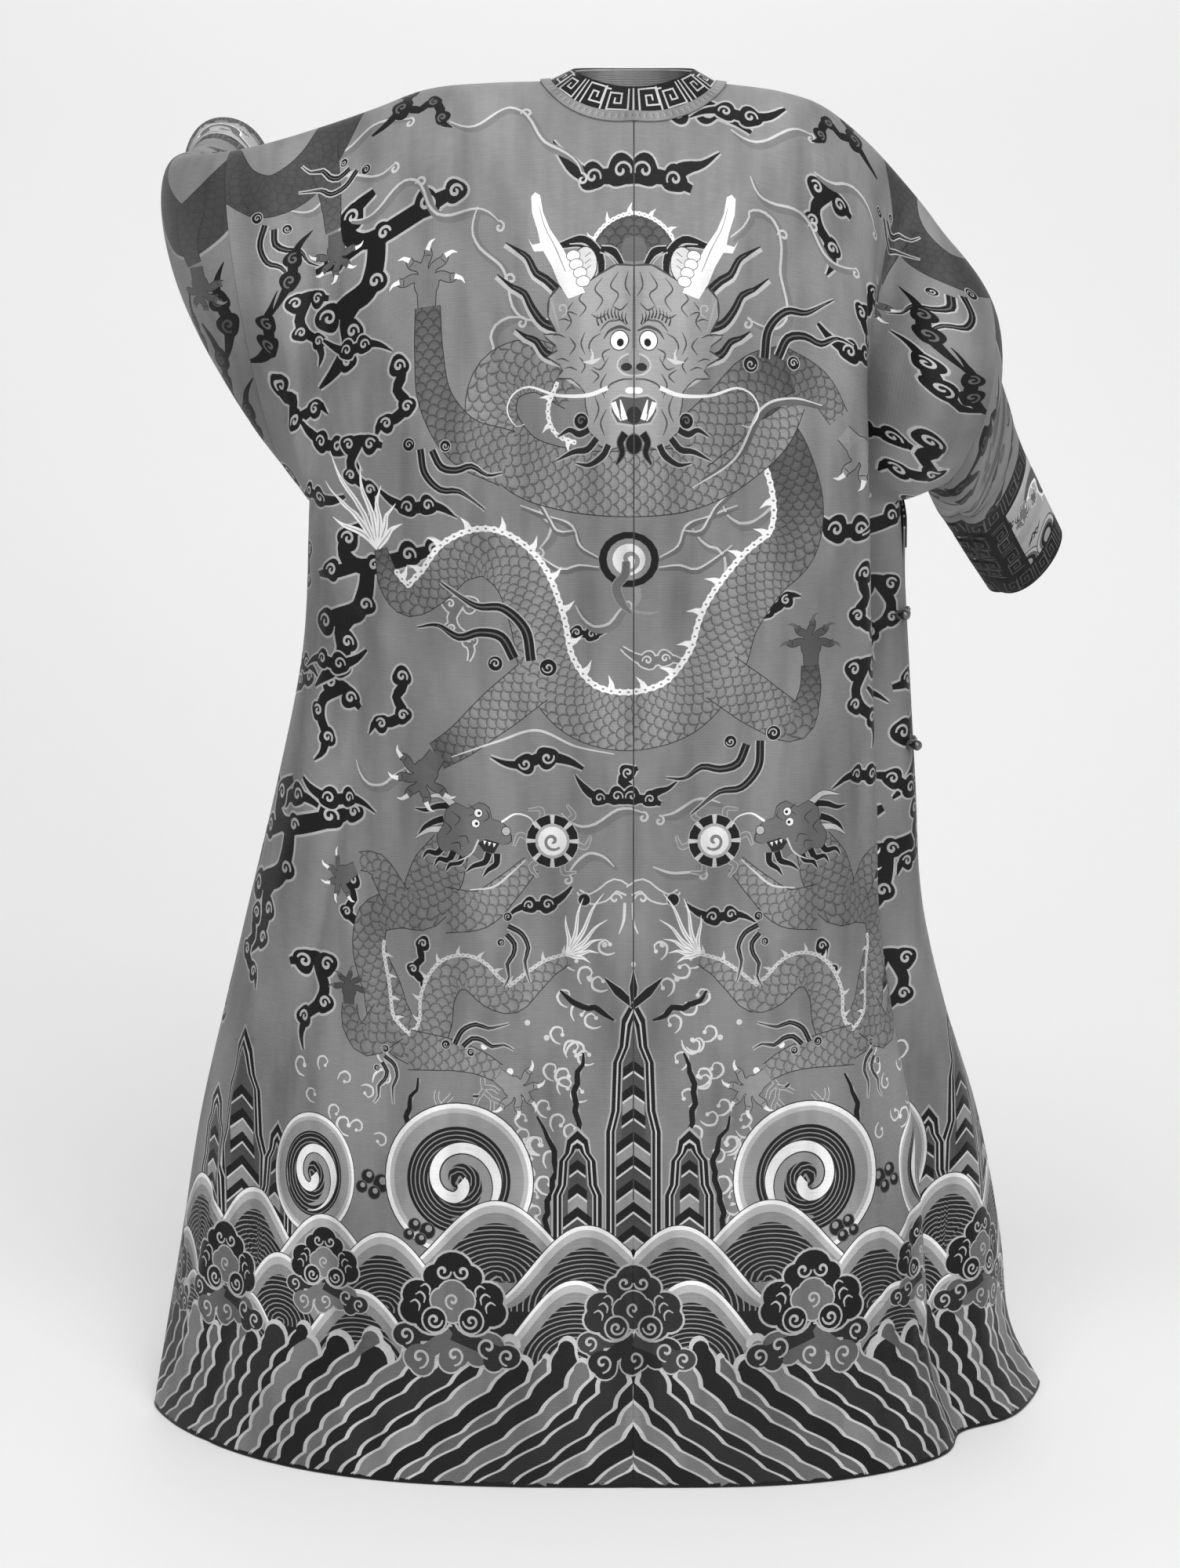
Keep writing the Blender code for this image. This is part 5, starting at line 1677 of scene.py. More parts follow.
# %% Cloud heads of the sea
def ruyi(hand, dark=BLACK, low=MID, edge=PALE + 6):
    """A lobed cloud head with a pale-edged window, over smaller curling clouds."""
    foot = ((-54, 42, 15, -1), (-38, 66, 18, -1), (2, 62, 17, -1), (40, 52, 19, 1), (62, 62, 15, 1))
    for more, shade in ((2.0, edge), (0.0, None)):
        for k, (x, y, r, _) in enumerate(foot):
            tone = shade or (dark + 18 if k in (0, 4) else low)
            hand.disc(x, y, r + more, tone, ry=r * 0.84 + more)
            hand.disc(x * 0.82 - 4, y + r * 0.3, r * 0.8 + more, tone)
            hand.stroke([(x, y), (0, 38)], [r + 2 * more, r + 2 * more], tone)
    for x, y, r, wind in foot:
        hand.curl(x, y, r * 0.66, 1.15, 90, wind, 2.8, edge)
    lobes = ((0, -32, 22), (-19, -24, 15), (19, -24, 15), (-39, -2, 19), (39, -2, 19), (-44, 14, 17),
             (44, 14, 17), (-24, 20, 21), (24, 20, 21))
    for more, shade in ((2.8, edge), (0.0, dark)):
        for x, y, r in lobes:
            hand.disc(x, y, r + more, shade, ry=r * 0.9 + more)
        hand.disc(0, 0, 28, shade)
    for more, shade in ((2.0, edge), (0.0, low + 14)):
        for x, y, r in ((0, -3, 17), (-12, 2, 13), (12, 2, 13), (0, 14, 12)):
            hand.disc(x, y, r + more, shade)
    for side in (-1, 1):
        for k in range(3):
            x, y = side * (31 + 6 * k), -12 + 9 * k
            hand.stroke([(x - side * 4, y + 9), (x - side * 5, y + 2), (x, y - 3), (x + side * 6, y)],
                        [1.0, 2.4, 2.4, 1.0], edge)
        hand.disc(side * 21, 24, 13, dark, edge=2.0, edge_tone=edge)
        hand.curl(side * 21, 24, 9.5, 1.25, 90 + side * 90, -side, 2.8, edge)
        hand.curl(side * 11, -30, 9.5, 1.15, 90 + side * 90, -side, 2.8, edge)
    hand.curl(0, 2, 9.5, 1.2, 90, 1, 2.6, edge)


def bubble_cluster(hand):
    """Dark bubbles with a pale glint."""
    for x, y, r in ((0, 0, 9), (15, -6, 7), (8, 10, 6.5), (22, 5, 6)):
        hand.disc(x, y, r, CHARCOAL - 10, edge=1.0, edge_tone=MID)
        hand.disc(x - r * 0.2, y - r * 0.3, r * 0.45, GREY)


def foam(hand, tone=LIGHT + 14):
    """A hooked drop of foam."""
    hand.stroke([(8, 10), (0, 8), (-6, 0), (-2, -8), (6, -8), (8, -2)], [1, 2.4, 3, 2.6, 2.2, 1.4], tone)
    hand.disc(8, -1, 2.4, tone)


def coral(hand):
    """A little branching sprig."""
    sprigs = [[(0, 24), (4, 8), (-2, -6), (4, -22)], [(2, 10), (14, 2), (22, -6)], [(12, 3), (20, 6)],
              [(-1, -4), (-10, -12), (-12, -20)], [(2, 12), (-8, 8), (-14, 0)]]
    for path in sprigs:
        hand.stroke(path, [3.4, 3.0, 2.6], CHARCOAL, edge=1.4, edge_tone=PALE)
    for path in sprigs[:2] + sprigs[3:]:
        hand.stroke(path, [2.2, 2.0, 1.4], GROUND + 12)


def vine(cartoon, side, points):
    """A jagged dark tendril on one side of the seam, pale along its right edge."""
    points = np.array(points) * [side, 1.0]
    cartoon.stroke(points + [0.002, 0.001], [0.003, 0.006, 0.006, 0.003], GREY + 10)
    line = flow(points, 0.010)
    line[1::2] += 0.0025
    cartoon.stroke(line, [0.002, 0.006, 0.006, 0.006, 0.002], BLACK)


print("cloud heads ready")

# %% Mountains and deep water
CHEVRON = 0.024              # pitch of the chevrons of a mountain
MOUNTAIN_EDGE = 0.0122       # from its edge to the chevrons
MOUNTAIN_BANDS = ((0.0, PALE), (0.0018, BLACK), (0.0058, LIGHT), (0.0074, BLACK), (0.0104, PALE),
                  (0.0118, MID - 8))


def mountain(cartoon, x, top, base, half):
    """A stepped spire with nested outlines and a column of chevrons."""
    height = base - top

    def spire(inset):
        steps = [(0.0, top + inset * 2.2), (0.46, top + 0.09 * height + inset), (0.54, top + 0.20 * height),
                 (0.76, top + 0.26 * height), (0.82, top + 0.44 * height), (1.0, top + 0.52 * height),
                 (1.0, base)]
        side = [(max(half * w - inset, 0.0), y) for w, y in steps]
        return np.array([(x + w, y) for w, y in side] + [(x - w, y) for w, y in side[:0:-1]])

    for inset, tone in MOUNTAIN_BANDS:
        cartoon.patch(spire(inset), tone)
    y, k = top + 0.25 * height, 0
    while y < base:
        core = half * np.interp((y - top) / height, (0.25, 0.44, 0.52), (0.76, 0.82, 1.0)) - MOUNTAIN_EDGE
        for drop, tone in ((0.0, BLACK), (0.010, LIGHT), (0.0125, GREY if k % 2 else MID - 20)):
            tip, brow, deep = y + drop, y + drop + core * 0.75, CHEVRON - drop
            cartoon.patch([(x - core, brow), (x, tip), (x + core, brow), (x + core, brow + deep),
                           (x, tip + deep), (x - core, brow + deep)], tone)
        y, k = y + CHEVRON, k + 1


WATER = (BLACK + 6, MID, BLACK, GREY - 20, BLACK + 4, CHARCOAL, BLACK + 8, MID + 14)
WATER_PITCH, WATER_BANDS = 0.0225, 31


def deep_water(cartoon, side):
    """The slanting bands below the crests, each with a rounded head and a light outline."""
    def edge_of(k, top, inset):
        y = np.linspace(top, LENGTH + 0.02, 56)
        t = (y - 1.24) / 0.18
        lean = 0.030 * t + 0.11 * np.maximum(t, 0) ** 1.7 + 0.017 * np.sin(t * 5.2 + 0.26 * k)
        start = -0.14 + WATER_PITCH * (k + 0.20 * math.sin(2.3 * k))
        scallop = 0.0058 * np.abs(np.sin(y * math.pi / 0.026 + 1.9 * k))
        return np.stack([start + lean + scallop + inset, y], axis=1)

    for inset, lift in ((-0.0006, 0.0), (0.0024, 0.0030)):
        for k in range(WATER_BANDS):
            top = 1.300 + 0.012 * math.sin(2.1 * k) + lift
            near, far = edge_of(k, top, inset), edge_of(k + 1, top, -inset)
            middle, half = (near[0] + far[0]) / 2, (far[0] - near[0]) / 2
            turn = np.linspace(0, math.pi, 9)[1:-1]
            head = middle + np.stack([np.cos(turn) * half[0], -np.sin(turn) * half[0] * 1.1], axis=1)
            shape = np.concatenate([near[::-1], head[::-1], far])
            shape = np.stack([side * np.maximum(shape[:, 0], -0.001), shape[:, 1]], axis=1)
            if shape[:, 0].max() - shape[:, 0].min() > 0.003:
                cartoon.patch(shape, WATER[k % len(WATER)] if lift else LIGHT - 10)


print("water tones:", WATER)

# %% [markdown]
# ## The cartoon of the robe
#
# Positions are metres on the flat cloth, and millimetres in the long tables: x to the right as
# one faces the panel, y down from the shoulder line.  The sea is drawn first, then the clouds,
# and the dragons over both.

# %% The sea at the hem
# The rolling crests from back to front: across, top, half width and drop in millimetres.
CRESTS = [
    (520, 1160, 95, 75), (610, 1190, 85, 75), (425, 1155, 95, 80), (330, 1168, 90, 70), (142, 1142, 118, 80),
    (560, 1225, 85, 70), (470, 1222, 85, 70), (385, 1215, 85, 70), (262, 1180, 100, 78), (48, 1166, 112, 85),
    (620, 1250, 70, 70), (530, 1262, 70, 70), (430, 1262, 70, 70), (290, 1240, 100, 80), (60, 1222, 105, 85),
]
SEA_TOP = 1.236              # from here down the ground of the sea is dark


def shore(cartoon, side):
    """Foam, tendrils, sprigs and a small peak between the mountains, on one side of the seam."""
    flip = side > 0
    for x, y, turn in ((0.075, 1.015, 0), (0.105, 1.085, 0), (0.120, 1.03, 90), (0.095, 1.125, 0),
                       (0.060, 0.985, 90), (0.265, 1.02, 90), (0.310, 1.075, 0), (0.365, 1.02, 0),
                       (0.125, 1.145, 0)):
        foam(Hand(cartoon, side * x, y, 1.0, turn, flip))
    for k in range(19):
        x, y = 0.030 + 0.017 * (2 * k % 3) + 0.0024 * k, 0.884 + 0.0125 * k
        foam(Hand(cartoon, side * x, y, 0.9, 40 * (k % 3) - 30, flip), LIGHT + 10)
    vine(cartoon, side, [(0.020, 0.957), (0.040, 0.944), (0.058, 0.941), (0.076, 0.927)])
    for k in range(9):
        x, y = 0.265 + 0.014 * (k * 5 % 7), 1.000 + 0.012 * k
        foam(Hand(cartoon, side * x, y, 0.75, 50 * (k % 4), flip), LIGHT)
        x, y = 0.118 - 0.002 * k, 1.060 + 0.013 * k
        foam(Hand(cartoon, side * x, y, 0.8, 70 * (k % 3), flip), LIGHT)
    vine(cartoon, side, [(0.100, 1.055), (0.082, 1.10), (0.092, 1.16), (0.078, 1.20)])
    vine(cartoon, side, [(0.225, 1.02), (0.238, 1.06), (0.222, 1.11), (0.240, 1.17)])
    vine(cartoon, side, [(0.052, 0.99), (0.062, 1.03), (0.055, 1.08)])
    coral(Hand(cartoon, side * 0.200, 1.055, 1.0, -20 * side, flip))
    coral(Hand(cartoon, side * 0.150, 1.035, 0.8, 160, flip))
    for x, y in ((0.175, 0.995), (0.155, 0.985), (0.168, 1.005), (0.128, 1.01)):
        cartoon.dot(side * x, y, 0.0035, WHITE)
    mountain(cartoon, side * 0.058, 1.065, 1.20, 0.027)


def swell(cartoon, side):
    """The outer mountains, the two whirls and the crests on one side of the seam."""
    for x, top, half in ((0.445, 0.990, 0.036), (0.500, 1.060, 0.030), (0.395, 1.080, 0.026)):
        mountain(cartoon, side * x, top, 1.24, half)
    whirl(cartoon, side * 0.345, 1.128, 0.062, 0.80, -side)
    bubble_cluster(Hand(cartoon, side * 0.265, 1.130, 1.0, 0, side < 0))
    whirl(cartoon, side * 0.182, 1.122, 0.078, 1.0, -side)
    bubble_cluster(Hand(cartoon, side * 0.215, 1.175, 0.9, 0, side < 0))
    for x, top, half, drop in np.array(CRESTS) / 1000:
        crest(cartoon, side * x, top, half, drop, 0.62 if half < 0.08 else 0.95)


def sea(cartoon):
    """Everything from the mountains down to the hem line."""
    for side in (-1, 1):
        shore(cartoon, side)
    mountain(cartoon, 0.0, 0.930, 1.20, 0.030)
    for lean in (-0.030, 0.0, 0.030):
        cartoon.stroke([(0.0, 0.942), (lean * 0.6, 0.926), (lean, 0.905 + abs(lean) * 0.3)],
                       [0.006, 0.009, 0.001], BLACK, edge=0.0010, edge_tone=PALE)
    cartoon.patch([(-0.7, SEA_TOP), (0.7, SEA_TOP), (0.7, LENGTH), (-0.7, LENGTH)], BLACK + 8)
    for side in (-1, 1):
        swell(cartoon, side)
    for side in (-1, 1):
        deep_water(cartoon, side)
    for side in (-1, 1):
        for x, y, size, tones in (
                (0.188, 1.243, 0.92, ()), (0.330, 1.215, 0.66, (CHARCOAL - 16, MID + 16)),
                (0.470, 1.240, 0.80, ()), (0.595, 1.260, 0.66, (CHARCOAL - 10, MID + 8))):
            ruyi(Hand(cartoon, side * x, y, size, 0, side > 0), *tones)
    ruyi(Hand(cartoon, 0.0, 1.250, 0.84), CHARCOAL, BLACK + 12)
    rim, beyond = LENGTH - 0.0035, LENGTH + 0.01
    cartoon.patch([(-0.7, rim), (0.7, rim), (0.7, beyond), (-0.7, beyond)], BLACK)


print("sea ready")

# %% The great dragon
COIL = [(-0.060, 0.322), (-0.100, 0.300), (-0.138, 0.312), (-0.146, 0.350), (-0.118, 0.388), (-0.070, 0.404),
        (-0.005, 0.408), (0.060, 0.402), (0.115, 0.380), (0.150, 0.358), (0.172, 0.330)]
COIL_WIDTHS = [0.040, 0.048, 0.052, 0.054, 0.056, 0.056, 0.058, 0.058, 0.054, 0.040, 0.018]
SWAY = [(0.128, 0.345), (0.156, 0.375), (0.172, 0.425), (0.165, 0.470), (0.132, 0.500), (0.100, 0.545),
        (0.084, 0.592), (0.048, 0.635), (-0.006, 0.650), (-0.056, 0.637), (-0.088, 0.596), (-0.100, 0.545),
        (-0.118, 0.500), (-0.150, 0.477), (-0.184, 0.486), (-0.208, 0.512), (-0.236, 0.530), (-0.258, 0.512),
        (-0.270, 0.478)]
SWAY_WIDTHS = [0.044, 0.050, 0.054, 0.056, 0.058, 0.060, 0.060, 0.060, 0.060, 0.060, 0.058, 0.056, 0.056,
               0.055, 0.052, 0.046, 0.038, 0.028, 0.016]


def moved(points, side, shift=0.0):
    """Points mirrored by side and moved down by shift."""
    return [(side * x, y + shift) for x, y in points]


def great_dragon(cartoon, shift):
    """The dragon of the chest or back: its coils, limbs and face."""
    def limb(points, widths, tones):
        body(cartoon, moved(points, 1, shift), widths, tones)

    def hand_at(x, y, size, turn, mirror=False):
        return Hand(cartoon, x, y + shift, size, turn, mirror)

    def thread(points, widths, tone):
        cartoon.stroke(moved(points, 1, shift), widths, tone)

    fine = [0.001, 0.0026, 0.0026, 0.001]
    tail_flames(hand_at(-0.274, 0.472, 1.0, -4))
    limb([(0.150, 0.300), (0.195, 0.312), (0.220, 0.340)], [0.048, 0.036, 0.026], (MID, GREY - 14))
    paw(hand_at(0.246, 0.372, 1.12, 130))
    limb(SWAY, SWAY_WIDTHS,
         (DARK + 8, MID + 6, GREY - 4, GREY, GREY, GREY, GREY, GREY - 6, GREY - 10, MID))
    spine(cartoon, moved(SWAY, 1, shift), SWAY_WIDTHS, 1, 1.0, 0.02, 0.97)
    limb([(-0.104, 0.610), (-0.150, 0.648), (-0.178, 0.672), (-0.206, 0.690)],
         [0.046, 0.044, 0.036, 0.028], (GREY, GREY, MID))
    limb([(0.090, 0.605), (0.140, 0.640), (0.172, 0.655), (0.186, 0.625), (0.186, 0.596)],
         [0.050, 0.050, 0.044, 0.026, 0.018], (GREY, GREY - 10, MID - 14))
    paw(hand_at(-0.219, 0.708, 1.0, 215), MID + 6)
    paw(hand_at(0.187, 0.576, 0.85, 0), DARK + 16, DARK + 30)
    thread([(-0.190, 0.690), (-0.140, 0.672), (-0.100, 0.660), (-0.060, 0.676), (-0.020, 0.684)], fine, LIGHT)
    flame_pair(hand_at(-0.106, 0.588, 1.25, -2, True))
    flame_pair(hand_at(0.132, 0.672, 1.05, 176))
    limb(COIL, COIL_WIDTHS, (GREY - 10, GREY - 4, GREY, GREY, GREY, GREY - 8))
    spine(cartoon, moved([(-0.078, 0.315), (-0.088, 0.340), (-0.080, 0.362), (-0.056, 0.372)], 1, shift),
          [0.0, 0.0], 1, 0.7)
    limb([(-0.130, 0.385), (-0.176, 0.368), (-0.205, 0.330), (-0.212, 0.285), (-0.213, 0.240)],
         [0.052, 0.046, 0.036, 0.030, 0.026], (GREY - 4, MID + 6, MID))
    paw(hand_at(-0.214, 0.216, 1.0, 0), MID + 22)
    limb([(0.060, 0.372), (0.095, 0.345), (0.128, 0.312), (0.162, 0.298)],
         [0.050, 0.054, 0.052, 0.044], (GREY, GREY - 10, DARK + 10))
    thread([(0.070, 0.405), (0.110, 0.380), (0.135, 0.340), (0.165, 0.330), (0.205, 0.333)],
           [0.003, 0.006, 0.006, 0.004], MID)
    thread([(0.060, 0.412), (0.105, 0.384), (0.132, 0.338), (0.165, 0.326), (0.200, 0.330)], fine, LIGHT)
    flame_pair(hand_at(0.136, 0.290, 1.05, 0))
    flame_pair(hand_at(-0.222, 0.376, 0.9, 178, True))
    great_face(cartoon, 0.281 + shift)


print("coils ready")

# %% The lower dragons
CREEP = [(-0.190, 0.780), (-0.206, 0.812), (-0.222, 0.845), (-0.250, 0.850), (-0.276, 0.862), (-0.280, 0.895),
         (-0.266, 0.930), (-0.256, 0.962), (-0.232, 0.986), (-0.210, 0.968), (-0.204, 0.935), (-0.190, 0.914),
         (-0.168, 0.912), (-0.146, 0.930), (-0.125, 0.936), (-0.106, 0.920), (-0.087, 0.904), (-0.068, 0.895)]
CREEP_WIDTHS = [0.040, 0.056, 0.056, 0.040, 0.036, 0.036, 0.038, 0.042, 0.046, 0.042, 0.038, 0.036, 0.035,
                0.034, 0.032, 0.026, 0.020, 0.011]
CHAIN_CLOSE = [1.0] * 6 + [0.8, 0.4, 0.2, 0.4, 0.8] + [1.0] * 7    # the chain cuts the inner bend


def lower_dragon(cartoon, side, shift):
    """A dragon in profile that reaches for a flaming pearl by the centre seam."""
    mirror = side > 0

    def limb(points, widths, tones):
        body(cartoon, moved(points, -side, shift), widths, tones, 0.9)

    def hand_at(x, y, size, turn):
        return Hand(cartoon, side * x, y + shift, size, turn, mirror)

    tail_flames(hand_at(0.066, 0.888, 0.62, 58 * -side))
    limb(CREEP, CREEP_WIDTHS,
         (GREY - 12, GREY - 18, GREY - 24, GREY - 18, GREY - 16, GREY - 8, GREY, GREY, GREY))
    chain = np.array(CREEP_WIDTHS) * CHAIN_CLOSE
    spine(cartoon, moved(CREEP, -side, shift), chain, side, 0.62, 0.30, 1.0, LIGHT)
    limb([(-0.258, 0.965), (-0.282, 0.985), (-0.300, 0.970), (-0.302, 0.950)],
         [0.044, 0.036, 0.022, 0.016], (GREY - 18, GREY - 26))
    paw(Hand(cartoon, side * 0.303, 0.936 + shift, 0.62), DARK + 10, DARK + 30)
    limb([(-0.235, 0.992), (-0.190, 0.995), (-0.160, 1.002), (-0.140, 1.012)],
         [0.040, 0.034, 0.026, 0.018], (GREY - 18, GREY, GREY))
    paw(hand_at(0.124, 1.026, 0.82, 125 * -side))
    limb([(-0.250, 0.838), (-0.272, 0.806), (-0.292, 0.804)], [0.030, 0.026, 0.018], (GREY - 22, GREY - 10))
    paw(hand_at(0.312, 0.820, 0.74, 118 * side), MID + 8)
    limb([(-0.196, 0.848), (-0.160, 0.846), (-0.132, 0.824), (-0.106, 0.798)],
         [0.046, 0.038, 0.028, 0.018], (GREY - 16, GREY, GREY))
    whisker = [(-0.170, 0.826), (-0.145, 0.822), (-0.125, 0.806), (-0.112, 0.794)]
    cartoon.stroke(moved(whisker, -side, shift), [0.001, 0.0022, 0.0022, 0.001], LIGHT)
    flaming_pearl(hand_at(0.084, 0.774, 1.0, 0))
    flame_pair(hand_at(0.186, 0.984, 0.62, 20 * -side))
    flame_pair(hand_at(0.130, 0.862, 0.62, 110 * -side))
    flame_pair(hand_at(0.262, 1.000, 0.5, 120 * -side))
    side_head(hand_at(0.172, 0.768, 0.86, 14 * -side))


print("lower dragons ready")

# %% Clouds of the back
# The dark clouds in the order in which they are laid: across and down in millimetres, size in
# hundredths, turn in degrees, whether it is mirrored, and its kind.
CLOUDS = [
    (66, 62, 95, 175, 1, DRIFT), (112, 55, 80, 0, 0, DRIFT), (-268, 200, 105, 0, 0, BRANCH),
    (-385, 312, 100, -30, 0, HOOK), (-340, 365, 85, 20, 1, DRIFT), (-245, 325, 88, 0, 1, HOOK),
    (-365, 425, 85, 20, 0, DRIFT), (-335, 660, 90, 30, 0, ZED), (-250, 640, 85, 10, 1, HOOK),
    (-395, 745, 90, 0, 1, DRIFT), (-385, 820, 105, 0, 0, BRANCH), (-350, 950, 100, 0, 1, ZED),
    (-325, 740, 75, 0, 1, DRIFT), (205, 150, 90, 10, 0, ZED), (262, 215, 90, 25, 0, HOOK),
    (345, 330, 80, 0, 1, DRIFT), (385, 345, 95, 0, 1, HOOK), (225, 455, 95, 10, 1, DRIFT),
    (252, 540, 95, 0, 0, HOOK), (135, 528, 75, -60, 0, HOOK), (258, 640, 95, 0, 0, ZED),
    (300, 740, 90, 40, 0, HOOK), (345, 560, 90, 0, 1, ZED), (345, 850, 100, 0, 0, BRANCH),
    (350, 960, 95, 0, 1, ZED), (440, 870, 90, 0, 0, HOOK), (-450, 910, 90, 10, 0, HOOK),
    (-445, 680, 90, 0, 0, BRANCH), (425, 660, 95, 0, 0, BRANCH), (-430, 560, 85, 0, 0, ZED),
    (510, 960, 90, 0, 0, ZED), (-530, 990, 90, 0, 1, ZED), (370, 740, 80, 20, 0, DRIFT),
    (-420, 430, 80, 0, 0, HOOK), (-400, 610, 75, 0, 1, DRIFT), (-470, 790, 85, 0, 0, ZED),
    (400, 450, 90, 10, 0, ZED), (300, 460, 75, 10, 0, DRIFT), (440, 760, 85, 0, 0, HOOK),
    (300, 640, 75, 0, 1, DRIFT), (500, 850, 85, 0, 1, BRANCH), (-500, 860, 80, 0, 1, HOOK),
    (-300, 850, 70, 0, 0, HOOK), (385, 230, 80, 60, 0, DRIFT), (-230, 430, 70, 0, 1, DRIFT),
    (-355, 235, 85, 0, 0, ZED), (-285, 535, 95, 0, 0, BRANCH), (-400, 520, 80, 0, 1, ZED),
    (-330, 600, 75, 0, 0, DRIFT), (290, 385, 80, 0, 1, ZED), (330, 500, 80, 0, 0, BRANCH),
    (260, 715, 70, 0, 0, DRIFT), (385, 800, 85, 0, 1, HOOK), (-300, 265, 70, 0, 1, DRIFT),
    (240, 265, 80, 0, 1, DRIFT), (-290, 400, 85, 0, 0, ZED), (-6, 706, 62, 0, 0, TAIL_CLOUD),
    (-96, 692, 75, 170, 1, DRIFT), (-48, 558, 50, 0, 0, DRIFT), (-95, 838, 60, -10, 0, DRIFT),
    (88, 850, 60, 0, 1, DRIFT), (-225, 905, 60, 10, 0, HOOK), (205, 910, 60, -10, 1, HOOK),
    (-12, 728, 50, 0, 0, PAIR),
]

# The light threads of cloud, in millimetres.
WISPS = [
    [(-190, 62), (-130, 60), (-85, 85), (-60, 130)], [(-300, 130), (-235, 120), (-190, 150), (-130, 170)],
    [(-160, 150), (-150, 200), (-120, 240), (-85, 262)], [(-150, 310), (-150, 270), (-110, 262)],
    [(100, 75), (150, 75), (190, 60)], [(120, 120), (150, 140), (200, 170), (250, 180)],
    [(100, 180), (120, 150), (160, 200), (150, 250), (110, 262)], [(190, 100), (230, 90), (275, 115)],
    [(-370, 100), (-310, 90), (-245, 85)], [(-330, 40), (-290, 45), (-225, 40)],
    [(-100, 420), (-80, 445), (-110, 470)], [(90, 425), (120, 440), (160, 436)],
    [(60, 450), (90, 470), (80, 510)], [(-75, 745), (-35, 752), (10, 745)],
    [(90, 735), (50, 742), (20, 738)], [(-300, 700), (-270, 718), (-235, 712)],
    [(-20, 800), (-45, 795), (-70, 806)], [(20, 800), (45, 798), (70, 808)],
    [(-60, 530), (-30, 545), (5, 530)], [(280, 420), (310, 440), (350, 430)],
]
CLOUD_SIZE = 1.22            # the dark clouds are laid this much larger than their sizes say
FIXED_CLOUDS, FIXED_WISPS = 400, 300    # those no lower than this, in mm, stay where they are


def drifting_clouds(cartoon, shift):
    """Dark clouds, two light ones, a trefoil and light threads between the dragons."""
    cloud(Hand(cartoon, -0.005, 0.128 + shift * 0.3, 0.80 * CLOUD_SIZE), *PAIR)
    for x, y, size, turn, mirror, kind in CLOUDS:
        down = y / 1000 + (shift if y > FIXED_CLOUDS else 0.0)
        cloud(Hand(cartoon, x / 1000, down, size / 100 * CLOUD_SIZE, turn, bool(mirror)), *kind)
    for hand, kind in ((Hand(cartoon, -0.178, 0.555, 0.8), ZED),
                       (Hand(cartoon, 0.020, 0.585, 0.7, mirror=True), DRIFT)):
        cloud(hand, *kind, tone=GROUND - 14, edge=LIGHT, curl=LIGHT)
    for side in (-1, 1):
        half = Hand(cartoon, -0.005, 0.835 + shift, mirror=side < 0)
        half.stroke([(0, -10), (14, -16), (27, -6), (42, -2), (52, -10)], [8, 11, 13, 9, 2], GROUND, edge=1.8,
                    edge_tone=LIGHT)
        half.disc(46, -1, 6, BLACK, edge=1.2)
        half.curl(14, -2, 7, 1.0, 180, 1, 2.0, LIGHT)
        half.stroke([(4, 2), (5, 20), (10, 34)], [3, 3, 1], LIGHT)
    for points in WISPS:
        wisp(cartoon, [(x / 1000, y / 1000 + (shift if y > FIXED_WISPS else 0.0)) for x, y in points])
    for x, y in ((0.0, 0.900), (-0.045, 0.915), (0.045, 0.915), (-0.030, 0.880), (0.030, 0.880),
                 (0.300, 0.960), (-0.090, 0.975), (0.090, 0.975), (-0.110, 0.960), (0.110, 0.960)):
        cartoon.dot(x, y + shift, 0.003, LIGHT)


print("clouds:", len(CLOUDS), "threads:", len(WISPS))

# %% Shoulder dragons
def shoulder_dragon(cartoon, side):
    """The part of a shoulder dragon that comes down onto a body panel."""
    neck = [(0.300, -0.04), (0.315, 0.020), (0.345, 0.060), (0.385, 0.080), (0.420, 0.060), (0.440, 0.01)]
    body(cartoon, moved(neck, side), [0.050, 0.050, 0.048, 0.046, 0.044, 0.040], (DARK, DARK + 6), 0.5)
    leg = [(0.330, 0.045), (0.322, 0.100), (0.320, 0.135)]
    body(cartoon, moved(leg, side), [0.034, 0.026, 0.018], (DARK, MID), 0.5)
    paw(Hand(cartoon, side * 0.318, 0.158, 0.85, 180), MID - 4)
    flame_pair(Hand(cartoon, side * 0.290, 0.080, 0.7, 140 * side, side > 0))
    flame_pair(Hand(cartoon, side * 0.395, 0.110, 0.8, 150 * side, side < 0))
    for x, y, turn, kind in ((0.215, 0.040, 80, HOOK), (0.375, 0.170, 70, DRIFT), (0.410, 0.230, 80, DRIFT),
                             (0.240, 0.020, 60, DRIFT)):
        cloud(Hand(cartoon, side * x, y, 0.9, turn * side, side < 0), *kind, edge=None, curl=MID)


print("shoulders ready")

# %% [markdown]
# ## Weaving the panels
#
# The back and the front carry the same cartoon, the front a little lower because its neck is
# cut deeper.  Each half of the robe takes its own half of the cartoon, so the pattern meets
# at the centre seam as the two woven lengths do.

# %% The two cartoons
def robe_cartoon(drop):
    """The cartoon of the back or of the front."""
    cartoon = Cartoon()
    sea(cartoon)
    drifting_clouds(cartoon, drop)
    for side in (-1, 1):
        shoulder_dragon(cartoon, side)
    for side in (-1, 1):
        lower_dragon(cartoon, side, drop * 0.5)
    great_pearl(Hand(cartoon, -0.005, 0.482 + drop, 1.0))
    great_dragon(cartoon, drop)
    cartoon.patch([(-0.0011, 0.0), (0.0011, 0.0), (0.0011, 1.14), (-0.0011, 1.14)], MID - 22)
    return cartoon


cartoons = {"back": robe_cartoon(0.0), "front": robe_cartoon(0.028)}
print("patches:", {face: len(cartoon.patches) for face, cartoon in cartoons.items()})

